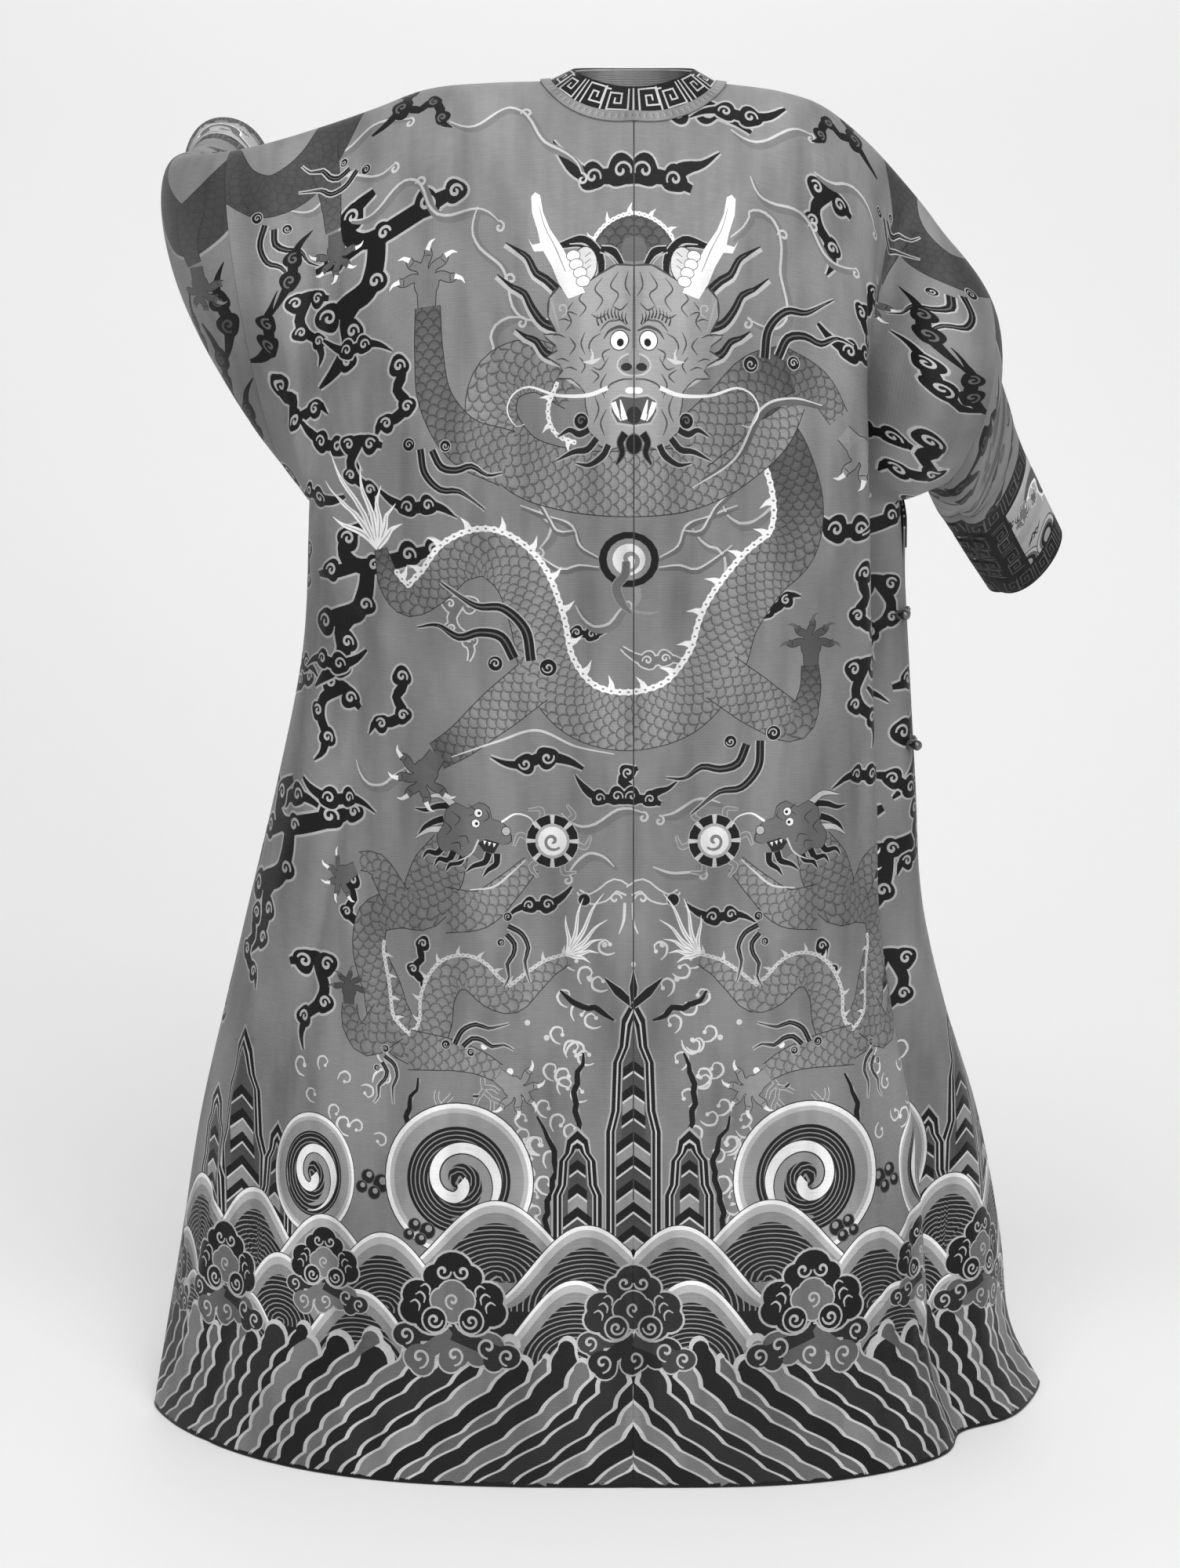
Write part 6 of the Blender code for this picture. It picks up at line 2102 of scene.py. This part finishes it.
# %% Body panels
def panel_piece(name, panel, edge, lifted=False):
    """Weaves one panel of the body in place of its part of the model."""
    cartoon = cartoons[panel[1]]
    hand = SIGN[panel[0]] * (-1 if panel[1] == "back" else 1)
    outline = flat_of(panel, edge[:, 0], edge[:, 1])
    grid = spread(outline.min(axis=0), outline.max(axis=0), FINE)
    extra = np.concatenate(cartoon.extra) * [hand, 1.0]
    patches = [(shape * [hand, 1.0], reversed_tone(tone, hand), marks, reversed_guide(guide, hand))
               for shape, tone, marks, guide in cartoon.patches]
    piece = weave("cloth_" + name, outline, np.concatenate([grid, extra]), grid, patches,
                  seat(panel, lifted), [name])
    return piece


def reversed_guide(guide, hand):
    """A guide that reads panel coordinates."""
    return guide and (lambda flat: guide(flat * [hand, 1.0]))


def reversed_tone(tone, hand):
    """A tone that reads panel coordinates."""
    return (lambda flat: tone(flat * [hand, 1.0])) if callable(tone) else tone


panel_piece("back_left", ("left", "back"), body_outline(("left", "back")))
panel_piece("back_right", ("right", "back"), body_outline(("right", "back")))
panel_piece("front_left", ("left", "front"), body_outline(("left", "front")))
panel_piece("front_right", ("right", "front"), flap_outline())
panel_piece("front_overlap", ("right", "front"), overlap_outline(), lifted=True)

# %% [markdown]
# ## Sleeves, cuffs and borders
#
# The shoulder dragons reach onto the sleeves with their backs and legs, among dark clouds.
# The cuffs are light, with a small dragon over waves, and framed in black silk with a thin
# key fret.

# %% Key fret
CUFF_FRET = DARK + 24        # the fret of the sleeves is worn and dark
FRET_LONG, FRET_HIGH = 16, 7.4    # one repeat of the fret, in widths of its line
FRET_HOOK = [(1.5, 7.0), (1.5, 0.4), (7, 0.4), (7, 5.6), (3.5, 5.6), (3.5, 2.4), (5.3, 2.4), (5.3, 3.9)]
FRET_LINES = [FRET_HOOK, [(FRET_LONG - x, FRET_HIGH - y) for x, y in FRET_HOOK], [(8.7, 0.2), (8.7, 7.2)],
              [(0.1, 0.2), (0.1, 7.2)], [(7.3, 6.6), (8.7, 6.6)]]


def fret(cartoon, length, height, bend, tone=PALE + 14, thick=0.24):
    """A run of hooked key frets, height metres high, along a band of a given length."""
    cell = height / FRET_HIGH
    count = max(1, round(length / (FRET_LONG * cell)))
    scale = length / count
    for k in range(count):
        for line in FRET_LINES:
            line = np.array(line, float) * [scale / FRET_LONG, cell] + [k * scale, 0]
            for a, b in zip(line[:-1], line[1:]):
                run = (b - a) / np.linalg.norm(b - a) * cell * thick
                side = np.array([-run[1], run[0]])
                a, b = a - run, b + run
                cartoon.patch(bend(np.array([a + side, b + side, b - side, a - side])), tone)


def band_of(side, start):
    """A bend that lays a run of fret round a sleeve at a given across."""
    low = -half_round(side, "front", start)

    def bend(points):
        return np.stack([start + points[:, 1], low + points[:, 0]], axis=1)

    return bend


print("points in a hook of the fret:", len(FRET_HOOK))

# %% Cartoons of a sleeve and of a cuff
# The dark clouds of a sleeve: along and round it in millimetres, size in hundredths, turn in
# degrees, whether it is mirrored, and its kind.
ARM_CLOUDS = [
    (448, 190, 100, 94, 0, DRIFT), (470, 240, 100, 84, 1, DRIFT), (455, 310, 100, 80, 0, DRIFT),
    (500, 205, 90, 88, 0, DRIFT), (520, 270, 100, 70, 1, DRIFT), (590, 165, 90, 60, 0, HOOK),
    (640, 115, 90, 70, 0, DRIFT), (690, 40, 80, 60, 1, DRIFT), (700, 150, 80, 60, 0, DRIFT),
    (630, 215, 80, 50, 1, HOOK), (735, 100, 70, 60, 0, DRIFT), (660, 20, 80, 80, 0, HOOK),
]


def sleeve_cartoon():
    """Across from the shoulder, round from the top of the arm, positive behind."""
    cartoon = Cartoon()
    for face in (1, -1):
        for x, y, size, turn, mirror, kind in ARM_CLOUDS:
            hand = Hand(cartoon, x / 1000, face * y / 1000, size / 100, turn * face, bool(mirror))
            cloud(hand, *kind, edge=None, curl=DARK)
        back = np.array([(0.400, 0.030), (0.440, 0.075), (0.480, 0.095), (0.520, 0.060), (0.540, 0.020),
                         (0.545, -0.01)]) * [1, face]
        widths = [0.050, 0.056, 0.058, 0.052, 0.046, 0.040]
        body(cartoon, back, widths, (DARK - 4, DARK + 4), 0.4)
        cartoon.stroke(offset_line(back, np.array(widths) * face)[::4], [0.003, 0.0034, 0.003], GREY)
        for x, y, turn in ((0.468, 0.105, 180), (0.560, 0.075, 150)):
            body(cartoon, [(x, face * (y - 0.030)), (x + 0.006, face * y), (x + 0.002, face * (y + 0.025))],
                 [0.034, 0.026, 0.018], (DARK, DARK + 10), 0.4)
            turn = turn if face > 0 else 180 - turn
            paw(Hand(cartoon, x, face * (y + 0.048), 0.85, turn), DARK + 12, MID + 20)
        cartoon.stroke(np.array([(0.600, 0.010), (0.612, 0.070), (0.602, 0.130), (0.616, 0.200)]) * [1, face],
                       [0.016, 0.020, 0.018, 0.010], DARK + 6, edge=0.0016, edge_tone=MID + 10)
        for y in (0.030, 0.075, 0.120):
            cartoon.dot(0.640, face * y, 0.011, DARK)
            cartoon.dot(0.640, face * y, 0.006, MID)
    return cartoon


def cuff_cartoon():
    """A small dark dragon among clouds over a line of waves, drawn on the light cuff."""
    cartoon = Cartoon()
    for x, y in ((0.868, 0.085), (0.868, 0.045), (0.868, 0.0), (0.868, -0.045), (0.868, -0.085)):
        for radius, tone in ((0.023, CHARCOAL), (0.0215, PALE), (0.017, MID), (0.013, BLACK), (0.008, GREY)):
            cartoon.patch(disc(x, y, radius * 0.72, radius, 20), tone)
    dragon = [(0.800, 0.060), (0.792, 0.036), (0.806, 0.016), (0.826, 0.020), (0.838, 0.002), (0.826, -0.018),
              (0.802, -0.022), (0.794, -0.046), (0.812, -0.060)]
    widths = [0.006, 0.011, 0.013, 0.014, 0.014, 0.013, 0.011, 0.008, 0.002]
    body(cartoon, dragon, widths, (MID, DARK, MID), 0.0, 0.0006)
    spine(cartoon, dragon, widths, 1, 0.40)
    side_head(Hand(cartoon, 0.806, 0.068, 0.26, 90))
    flaming_pearl(Hand(cartoon, 0.822, 0.094, 0.26))
    for x, y, turn in ((0.812, 0.040, 60), (0.836, -0.030, 200), (0.806, -0.006, 300)):
        paw(Hand(cartoon, x, y, 0.26, turn), MID)
    for x, y, size, turn, kind in ((0.790, 0.092, 0.30, 60, ZED), (0.845, 0.062, 0.30, 90, DRIFT),
                                   (0.790, -0.074, 0.32, 80, HOOK), (0.842, -0.062, 0.32, 90, ZED),
                                   (0.786, 0.004, 0.26, 90, DRIFT), (0.822, -0.096, 0.28, 60, DRIFT)):
        cloud(Hand(cartoon, x, y, size, turn), *kind, tone=CHARCOAL, curl=LIGHT)
    return cartoon


arm_cartoon, wrist_cartoon = sleeve_cartoon(), cuff_cartoon()
print("patches:", len(arm_cartoon.patches), len(wrist_cartoon.patches))

# %% Weave the sleeves
CUFF_STRIP = 0.62            # share of the way round at which the border below the wrist begins


def tube_piece(name, side, outline, cartoon, ground):
    """Weaves one opened tube and closes it round the arm."""
    grid = spread(outline.min(axis=0), outline.max(axis=0), FINE)
    extra = np.concatenate(cartoon.extra)
    return weave("cloth_" + name + side, outline, np.concatenate([grid, extra]), grid, cartoon.patches,
                 sleeve_seat(side), [name + side], ground)


def border_cartoon(side):
    """Fret round the mouth of a cuff and along the strips below it."""
    cartoon = Cartoon()
    mouth = float(half_round(side, "back", CUFF_END) + half_round(side, "front", CUFF_END))
    fret(cartoon, mouth, 0.022, band_of(side, CUFF_BORDER + 0.003), CUFF_FRET, 0.2)
    for face, sign in (("back", 1), ("front", -1)):
        for share in (0.66, 0.86):
            def bend(points, face=face, sign=sign, share=share):
                across = CUFF_SEAM + 0.004 + points[:, 0]
                round_arm = half_round(side, face, across) * share + points[:, 1]
                return np.stack([across, sign * round_arm], axis=1)

            fret(cartoon, 0.090, 0.020, bend, CUFF_FRET, 0.2)
    return cartoon


for side in SIGN:
    tube_piece("sleeve_", side, sleeve_outline(side, SLEEVE_SEAM, BAND_SEAM), arm_cartoon,
               GROUND - 8)
    band = Cartoon()
    around = float(half_round(side, "back", BAND_SEAM) + half_round(side, "front", BAND_SEAM))
    fret(band, around, 0.026, band_of(side, BAND_SEAM + 0.004), CUFF_FRET, 0.2)
    tube_piece("cuff_band_", side, sleeve_outline(side, BAND_SEAM, CUFF_SEAM), band, BLACK)
    tube_piece("cuff_", side, sleeve_outline(side, CUFF_SEAM, CUFF_BORDER, CUFF_STRIP), wrist_cartoon,
               GREY + 18)
    tube_piece("cuff_edge_", side, border_outline(side, CUFF_STRIP), border_cartoon(side),
               BLACK)

# %% [markdown]
# ## The neck and the overlap's edge
#
# A straight band of black silk with a bold key fret is shaped round the neck, a woven braid
# covers its outer seam, and the inside shows plain lining.  The same black band edges the
# slanting front.  Each is woven flat like the panels.  Those of the neck are laid on a small
# lofted grid, and the one on the front lies on the overlap itself.

# %% Rings round the neck
NECK_RING_HALF = 0.063
NECK_RING_DEPTH = {"back": 0.056, "front": -0.058}
NECK_RING_HEIGHT = {"back": -0.005, "side": 0.010, "front": 0.008}
TURNS = 96


def neck_point(turn, grow=0.0):
    """A point of the neck edge of the cloth, grow outside it; turn 0 is the centre back."""
    sine, cosine = math.sin(2 * math.pi * turn), math.cos(2 * math.pi * turn)
    side = "left" if sine >= 0 else "right"
    face = "back" if cosine >= 0 else "front"
    drop = (NECK_DROP[face] + grow) * abs(cosine)
    return hanging_line(side, face, (NECK_HALF + grow) * abs(sine), np.array([drop / DEPTH]))[0]


def neck_ring_point(turn):
    """A point of the inner edge of the neck band."""
    sine, cosine = math.sin(2 * math.pi * turn), math.cos(2 * math.pi * turn)
    face = "back" if cosine >= 0 else "front"
    side_height = NECK_RING_HEIGHT["side"]
    return np.array([NECK_RING_HALF * sine, NECK_RING_DEPTH[face] * abs(cosine),
                     side_height + (NECK_RING_HEIGHT[face] - side_height) * cosine ** 2])


def ring_seat(rows, length, width, base=0.0):
    """Puts a flat band on rows of points that run round the neck, starting at the front."""
    grid = np.array(rows)
    grid = np.concatenate([grid[:, -3:-1], grid, grid[:, 1:3]], axis=1)

    def at(x, y):
        return between_rows(grid, y / width * (len(rows) - 1), x / length * (len(rows[0]) - 1) + 2)

    def put(flat, lift):
        x, y = flat[:, 0], np.clip(flat[:, 1], 0, width)
        forward = at(x + 0.001, y) - at(x - 0.001, y)
        over = at(x, np.minimum(y + 0.001, width)) - at(x, np.maximum(y - 0.001, 0))
        out = np.cross(over, forward)
        out /= np.linalg.norm(out, axis=1)[:, None]
        return at(x, y) + out * (lift + base)

    return put


def band_outline(length, width, step=0.006):
    """A straight strip."""
    x = np.linspace(0, length, int(length / step))
    return np.concatenate([np.stack([x, np.zeros(len(x))], axis=1),
                           [(length, width / 3), (length, width * 2 / 3)],
                           np.stack([x[::-1], np.full(len(x), width)], axis=1),
                           [(0, width * 2 / 3), (0, width / 3)]])


turns = 0.5 + np.arange(TURNS + 1) / TURNS
edge_ring = np.array([neck_point(turn) for turn in turns])
inner_ring = np.array([neck_ring_point(turn) for turn in turns])
NECK_LENGTH = float(np.linalg.norm(np.diff(edge_ring, axis=0), axis=1).sum())
BAND_WIDTH = float(np.linalg.norm(edge_ring - inner_ring, axis=1).mean())
print("neck band:", round(NECK_LENGTH, 3), "by", round(BAND_WIDTH, 3))

# %% Neck band, lining and braid
def band_piece(name, length, width, put, cartoon, ground, nodes, fine=0.006):
    """Weaves a straight strip and lays it where put says."""
    outline = band_outline(length, width, fine)
    grid = spread((0.0, 0.0), (length, width), fine)
    return weave("cloth_" + name, outline, grid, grid, cartoon.patches, put, nodes, ground)


collar_rows = [edge_ring * (1 - share) + inner_ring * share for share in (0.02, 0.35, 0.68, 1.0)]
collar_cartoon = Cartoon()
fret(collar_cartoon, NECK_LENGTH, BAND_WIDTH * 0.82,
     lambda points: points + [0.0, BAND_WIDTH * 0.09])
band_piece("collar_band", NECK_LENGTH, BAND_WIDTH, ring_seat(collar_rows, NECK_LENGTH, BAND_WIDTH),
           collar_cartoon, BLACK, ["collar_band"])
lining_rows = [edge_ring * (1 - share) + inner_ring * share for share in (0.2, 0.5, 0.8, 1.0)]
band_piece("neck_lining", NECK_LENGTH, BAND_WIDTH * 0.8,
           ring_seat(lining_rows, NECK_LENGTH, BAND_WIDTH * 0.8, -0.0022), Cartoon(),
           GREY, ["neck_lining"])
BRAID_WIDTH, BRAID_PITCH = 0.0102, 0.007
braid_rows = [[neck_point(turn, grow) for turn in turns] for grow in (0.0086, 0.0052, 0.0018, -0.0016)]
braid_cartoon = Cartoon()
for k in range(int(NECK_LENGTH / BRAID_PITCH)):
    x = BRAID_PITCH / 2 + BRAID_PITCH * k
    for reach, tone in ((-0.003, GROUND - 20), (0.003, GREY + 4)):
        braid_cartoon.patch([(x + reach, 0.0014), (x, 0.0052), (x + reach, 0.009),
                             (x + reach * 0.5, 0.0052)], tone)
band_piece("collar_braid", NECK_LENGTH, BRAID_WIDTH, ring_seat(braid_rows, NECK_LENGTH, BRAID_WIDTH, 0.0024),
           braid_cartoon, GROUND, ["collar_braid"], 0.004)

# %% Band along the overlap
LAPEL_BAND = 0.030


def overlap_bend(points):
    """Lays a straight run along the slanting edge of the overlap; points are along and below."""
    across = np.linspace(HALF_GAP, SIDE_SEAM, 200)
    edge = flat_of(("right", "front"), across, lapel_down(across))
    walked = running_length(edge)
    return np.stack([np.interp(points[:, 0], walked, edge[:, 0]),
                     np.interp(points[:, 0], walked, edge[:, 1]) + points[:, 1]], axis=1)


probe = overlap_bend(np.array([[0.0, 0.0], [9.0, 0.0]]))
slope = overlap_bend(np.stack([np.linspace(0, 1, 500), np.zeros(500)], axis=1))
OVERLAP_LENGTH = float(np.linalg.norm(np.diff(slope, axis=0), axis=1).sum())
edge_cartoon = Cartoon()
fret(edge_cartoon, OVERLAP_LENGTH, 0.024, lambda points: overlap_bend(points + [0.0, 0.004]))
strip = band_outline(OVERLAP_LENGTH, LAPEL_BAND)
overlap_edge = overlap_bend(strip)
overlap_edge = np.where(overlap_edge[:, :1] >= probe[1, 0] - 1e-9, overlap_edge - [1e-6, 0], overlap_edge)
grid = spread(overlap_edge.min(axis=0), overlap_edge.max(axis=0), FINE)


def band_seat(flat, lift):
    """The band lies on the overlap."""
    return seat(("right", "front"), lifted=True)(flat, lift + 0.0018)


weave("cloth_overlap_band", overlap_edge, grid, grid, edge_cartoon.patches, band_seat, ["overlap_band"],
      BLACK)

# %% [markdown]
# ## Toggles
#
# A gilt ball button with a short shank, chased with petals, and a cord loop of twisted silk
# that goes round the shank and is sewn to the overlap by its two legs.

# %% Metal and cord
def gilt_brass():
    """Worn gilding gone dark with age, with duller patches."""
    paint = Paint("gilt_brass", 0.34, Metallic=0.9)
    spot = paint.node("ShaderNodeTexCoord", {}, out=3)
    wear = paint.node("ShaderNodeTexNoise", {}, Vector=spot, Scale=420.0, Detail=4.0)
    dull = paint.node("ShaderNodeTexNoise", {}, Vector=spot, Scale=90.0, Detail=2.0)
    paint.feed("Base Color", paint.mix(dull.step(0.4, 0.6), plain(0.16), plain(0.05)))
    paint.feed("Roughness", wear * 0.30 + 0.22)
    paint.bump(wear, 0.25, 0.0002)
    return paint.material


def twisted_cord():
    """Dark silk cord: the strands run slantwise round it, and the grooves between them are painted darker, as
    shade.
    """
    paint = Paint("twisted_cord", 0.6, Sheen_Weight=0.4)
    lay = paint.parts(paint.node("ShaderNodeUVMap", {"uv_map": "cord"}))
    strand = ((lay[0] + lay[1] * 0.5) * (2 * math.pi * 2.0)).math("SINE")
    shade = strand * 0.5 + 0.5
    # The colour follows the twist: the grooves between the strands are painted darker, as shade, and their
    # crowns lighter.
    paint.feed("Base Color", paint.mix(shade, plain(0.006), plain(0.035)))
    paint.feed("Roughness", shade * 0.2 + 0.45)
    paint.bump(strand, 0.5, 0.0004)
    return paint.material


button_metal, cord_silk = gilt_brass(), twisted_cord()
print("finishes:", button_metal.name, cord_silk.name)

# %% Buttons and loops
LOOP_LOW = 0.0028            # height of a loop over the cloth at its button
CORD_RADIUS, CORD_SIDES = 0.0015, 12
CORD_LAY = 0.0045            # length of cord in which its strands repeat
KNOT_PLACE, KNOT_LENGTH, KNOT_SWELL = 0.004, 0.0025, 0.30    # the knots near the ends of the legs
BUTTON_RADIUS, SHANK = 0.0055, 0.0060
BUTTON_SIDES, PETALS, CHASING = 40, 8, 0.045
TOGGLES = table("round_side drop run fall leg_lift", [
    (0.750, 0.100, 0.34, 0.94, 0.0078),
    (0.604, 0.221, 0.77, 0.64, 0.0078),
    (0.500, 0.353, 0.73, 0.68, 0.0078),
    (0.382, 0.560, 1.00, 0.00, 0.0066),
    (0.382, 0.700, 1.00, 0.00, 0.0066),
])

# One half of a loop, from the end of its leg to the head round the shank: distance from the
# button, half the width there, and how far it has risen from the button onto the overlap.
LOOP_HALF = [
    (0.0400, 0.0019, 1.0),
    (0.0240, 0.0019, 1.0),
    (0.0130, 0.0021, 1.0),
    (0.0060, 0.0038, 0.2),
    (-0.0010, 0.0037, 0.0),
    (-0.0037, 0.0016, 0.0),
]


def toggle_point(round_side, drop, lift):
    """A point over the right side, round_side metres from the centre back towards the front."""
    face = "back" if round_side <= SIDE_SEAM else "front"
    across = round_side if face == "back" else 2 * SIDE_SEAM - round_side
    return place(("right", face), np.array([across]), np.atleast_1d(down_of(drop)), lift)[0][0]


def finished(name, mesh, material, node):
    """Puts a piece in the scene in place of its plain node."""
    mesh.materials.append(material)
    mesh.shade_smooth()
    piece = bpy.data.objects.new(name, mesh)
    bpy.context.scene.collection.objects.link(piece)
    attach(piece, "root")
    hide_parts(node)
    return piece


def ball_button(k, seat_at, out):
    """A chased ball on a collared shank, turned as a lathe would."""
    top = SHANK + 2 * BUTTON_RADIUS
    profile = [(0.0, 0.0003), (0.0030, 0.0003), (0.0030, 0.0009), (0.0017, 0.0014), (0.0015, SHANK - 0.0006),
               (0.0024, SHANK - 0.0002), (0.0024, SHANK + 0.0004)]
    profile += [(BUTTON_RADIUS * math.cos(a), SHANK + BUTTON_RADIUS + BUTTON_RADIUS * math.sin(a))
                for a in np.linspace(-math.pi / 2 + 0.46, math.pi / 2 - 0.16, 13)]
    profile += [(0.0009, top), (0.0009, top + 0.0003), (0.0, top + 0.0004)]
    build = bmesh.new()
    rows = []
    for r, z in profile:
        chased = CHASING * max(0.0, r / BUTTON_RADIUS - 0.4)
        angles = np.arange(BUTTON_SIDES) * 2 * math.pi / BUTTON_SIDES
        rows.append([build.verts.new((r * math.cos(a) * (1 + chased * math.cos(PETALS * a)),
                                      r * math.sin(a) * (1 + chased * math.cos(PETALS * a)), z))
                     for a in angles])
    for low, high in zip(rows[:-1], rows[1:]):
        for i in range(BUTTON_SIDES):
            j = (i + 1) % BUTTON_SIDES
            build.faces.new((low[i], low[j], high[j], high[i]))
    bmesh.ops.remove_doubles(build, verts=build.verts, dist=1e-6)
    bmesh.ops.recalc_face_normals(build, faces=build.faces)
    mesh = bpy.data.meshes.new("ball_button")
    build.to_mesh(mesh)
    build.free()
    piece = finished(f"ball_button_{k}", mesh, button_metal, f"button_{k}")
    piece.matrix_world = (Matrix.Translation(Vector(seat_at))
                          @ Vector(out).to_track_quat("Z", "Y").to_matrix().to_4x4())
    return piece


def cord_loop(k, row):
    """A twisted cord that goes round the shank, with two small knots where the legs are sewn."""
    path = [(reach, -half, share) for reach, half, share in LOOP_HALF]
    path += [(reach, half, share) for reach, half, share in LOOP_HALF[::-1]]
    knots = []
    for reach, half, share in path:
        lift = LOOP_LOW + (row["leg_lift"] - LOOP_LOW) * share
        knots.append(toggle_point(row["round_side"] + row["run"] * reach - row["fall"] * half,
                                  row["drop"] + row["fall"] * reach + row["run"] * half, lift))
    line = flow(np.array(knots), 0.0008)
    tangent = np.gradient(line, axis=0)
    tangent /= np.linalg.norm(tangent, axis=1)[:, None]
    across = np.cross(tangent, row["out"])
    across /= np.linalg.norm(across, axis=1)[:, None]
    over = np.cross(across, tangent)
    angle = (np.arange(CORD_SIDES) * 2 * math.pi / CORD_SIDES)[:, None]
    walked = running_length(line)
    thick = 1.0
    for gone in (walked, walked[-1] - walked):
        thick = thick + KNOT_SWELL * np.exp(-((gone - KNOT_PLACE) / KNOT_LENGTH) ** 2)
    shape = line[:, None] + CORD_RADIUS * thick[:, None, None] * (
        across[:, None] * np.cos(angle) + over[:, None] * np.sin(angle))
    mesh = bpy.data.meshes.new("cord_loop")
    last = (len(line) - 1) * CORD_SIDES
    faces, lay = [], []
    for i, (start, end) in enumerate(zip(walked[:-1] / CORD_LAY, walked[1:] / CORD_LAY)):
        low = i * CORD_SIDES
        high = low + CORD_SIDES
        for j in range(CORD_SIDES):
            after, turn, step = (j + 1) % CORD_SIDES, j / CORD_SIDES, 1 / CORD_SIDES
            faces.append((low + j, low + after, high + after, high + j))
            lay += [(start, turn), (start, turn + step), (end, turn + step), (end, turn)]
    faces += [tuple(range(CORD_SIDES))[::-1], tuple(range(last, last + CORD_SIDES))]
    lay += [(0.0, 0.0)] * (2 * CORD_SIDES)
    mesh.from_pydata(shape.reshape(-1, 3).tolist(), [], faces)
    layer = mesh.uv_layers.new(name="cord")
    layer.data.foreach_set("uv", np.array(lay, np.float32).ravel())
    mesh.validate()
    return finished(f"cord_loop_{k}", mesh, cord_silk, f"loop_{k}")


SIDE_SETTLE = 0.0034         # by how much the overlap lies closer at the side seam
for k in range(len(TOGGLES["drop"])):
    row = {column: float(values[k]) for column, values in TOGGLES.items()}
    if row["drop"] > 0.5:
        row["leg_lift"] -= SIDE_SETTLE
    foot = toggle_point(row["round_side"], row["drop"], 0.0)
    row["out"] = toggle_point(row["round_side"], row["drop"], 1.0) - foot
    ball_button(k + 1, foot, row["out"])
    cord_loop(k + 1, row)
print("toggles:", len(TOGGLES["drop"]))
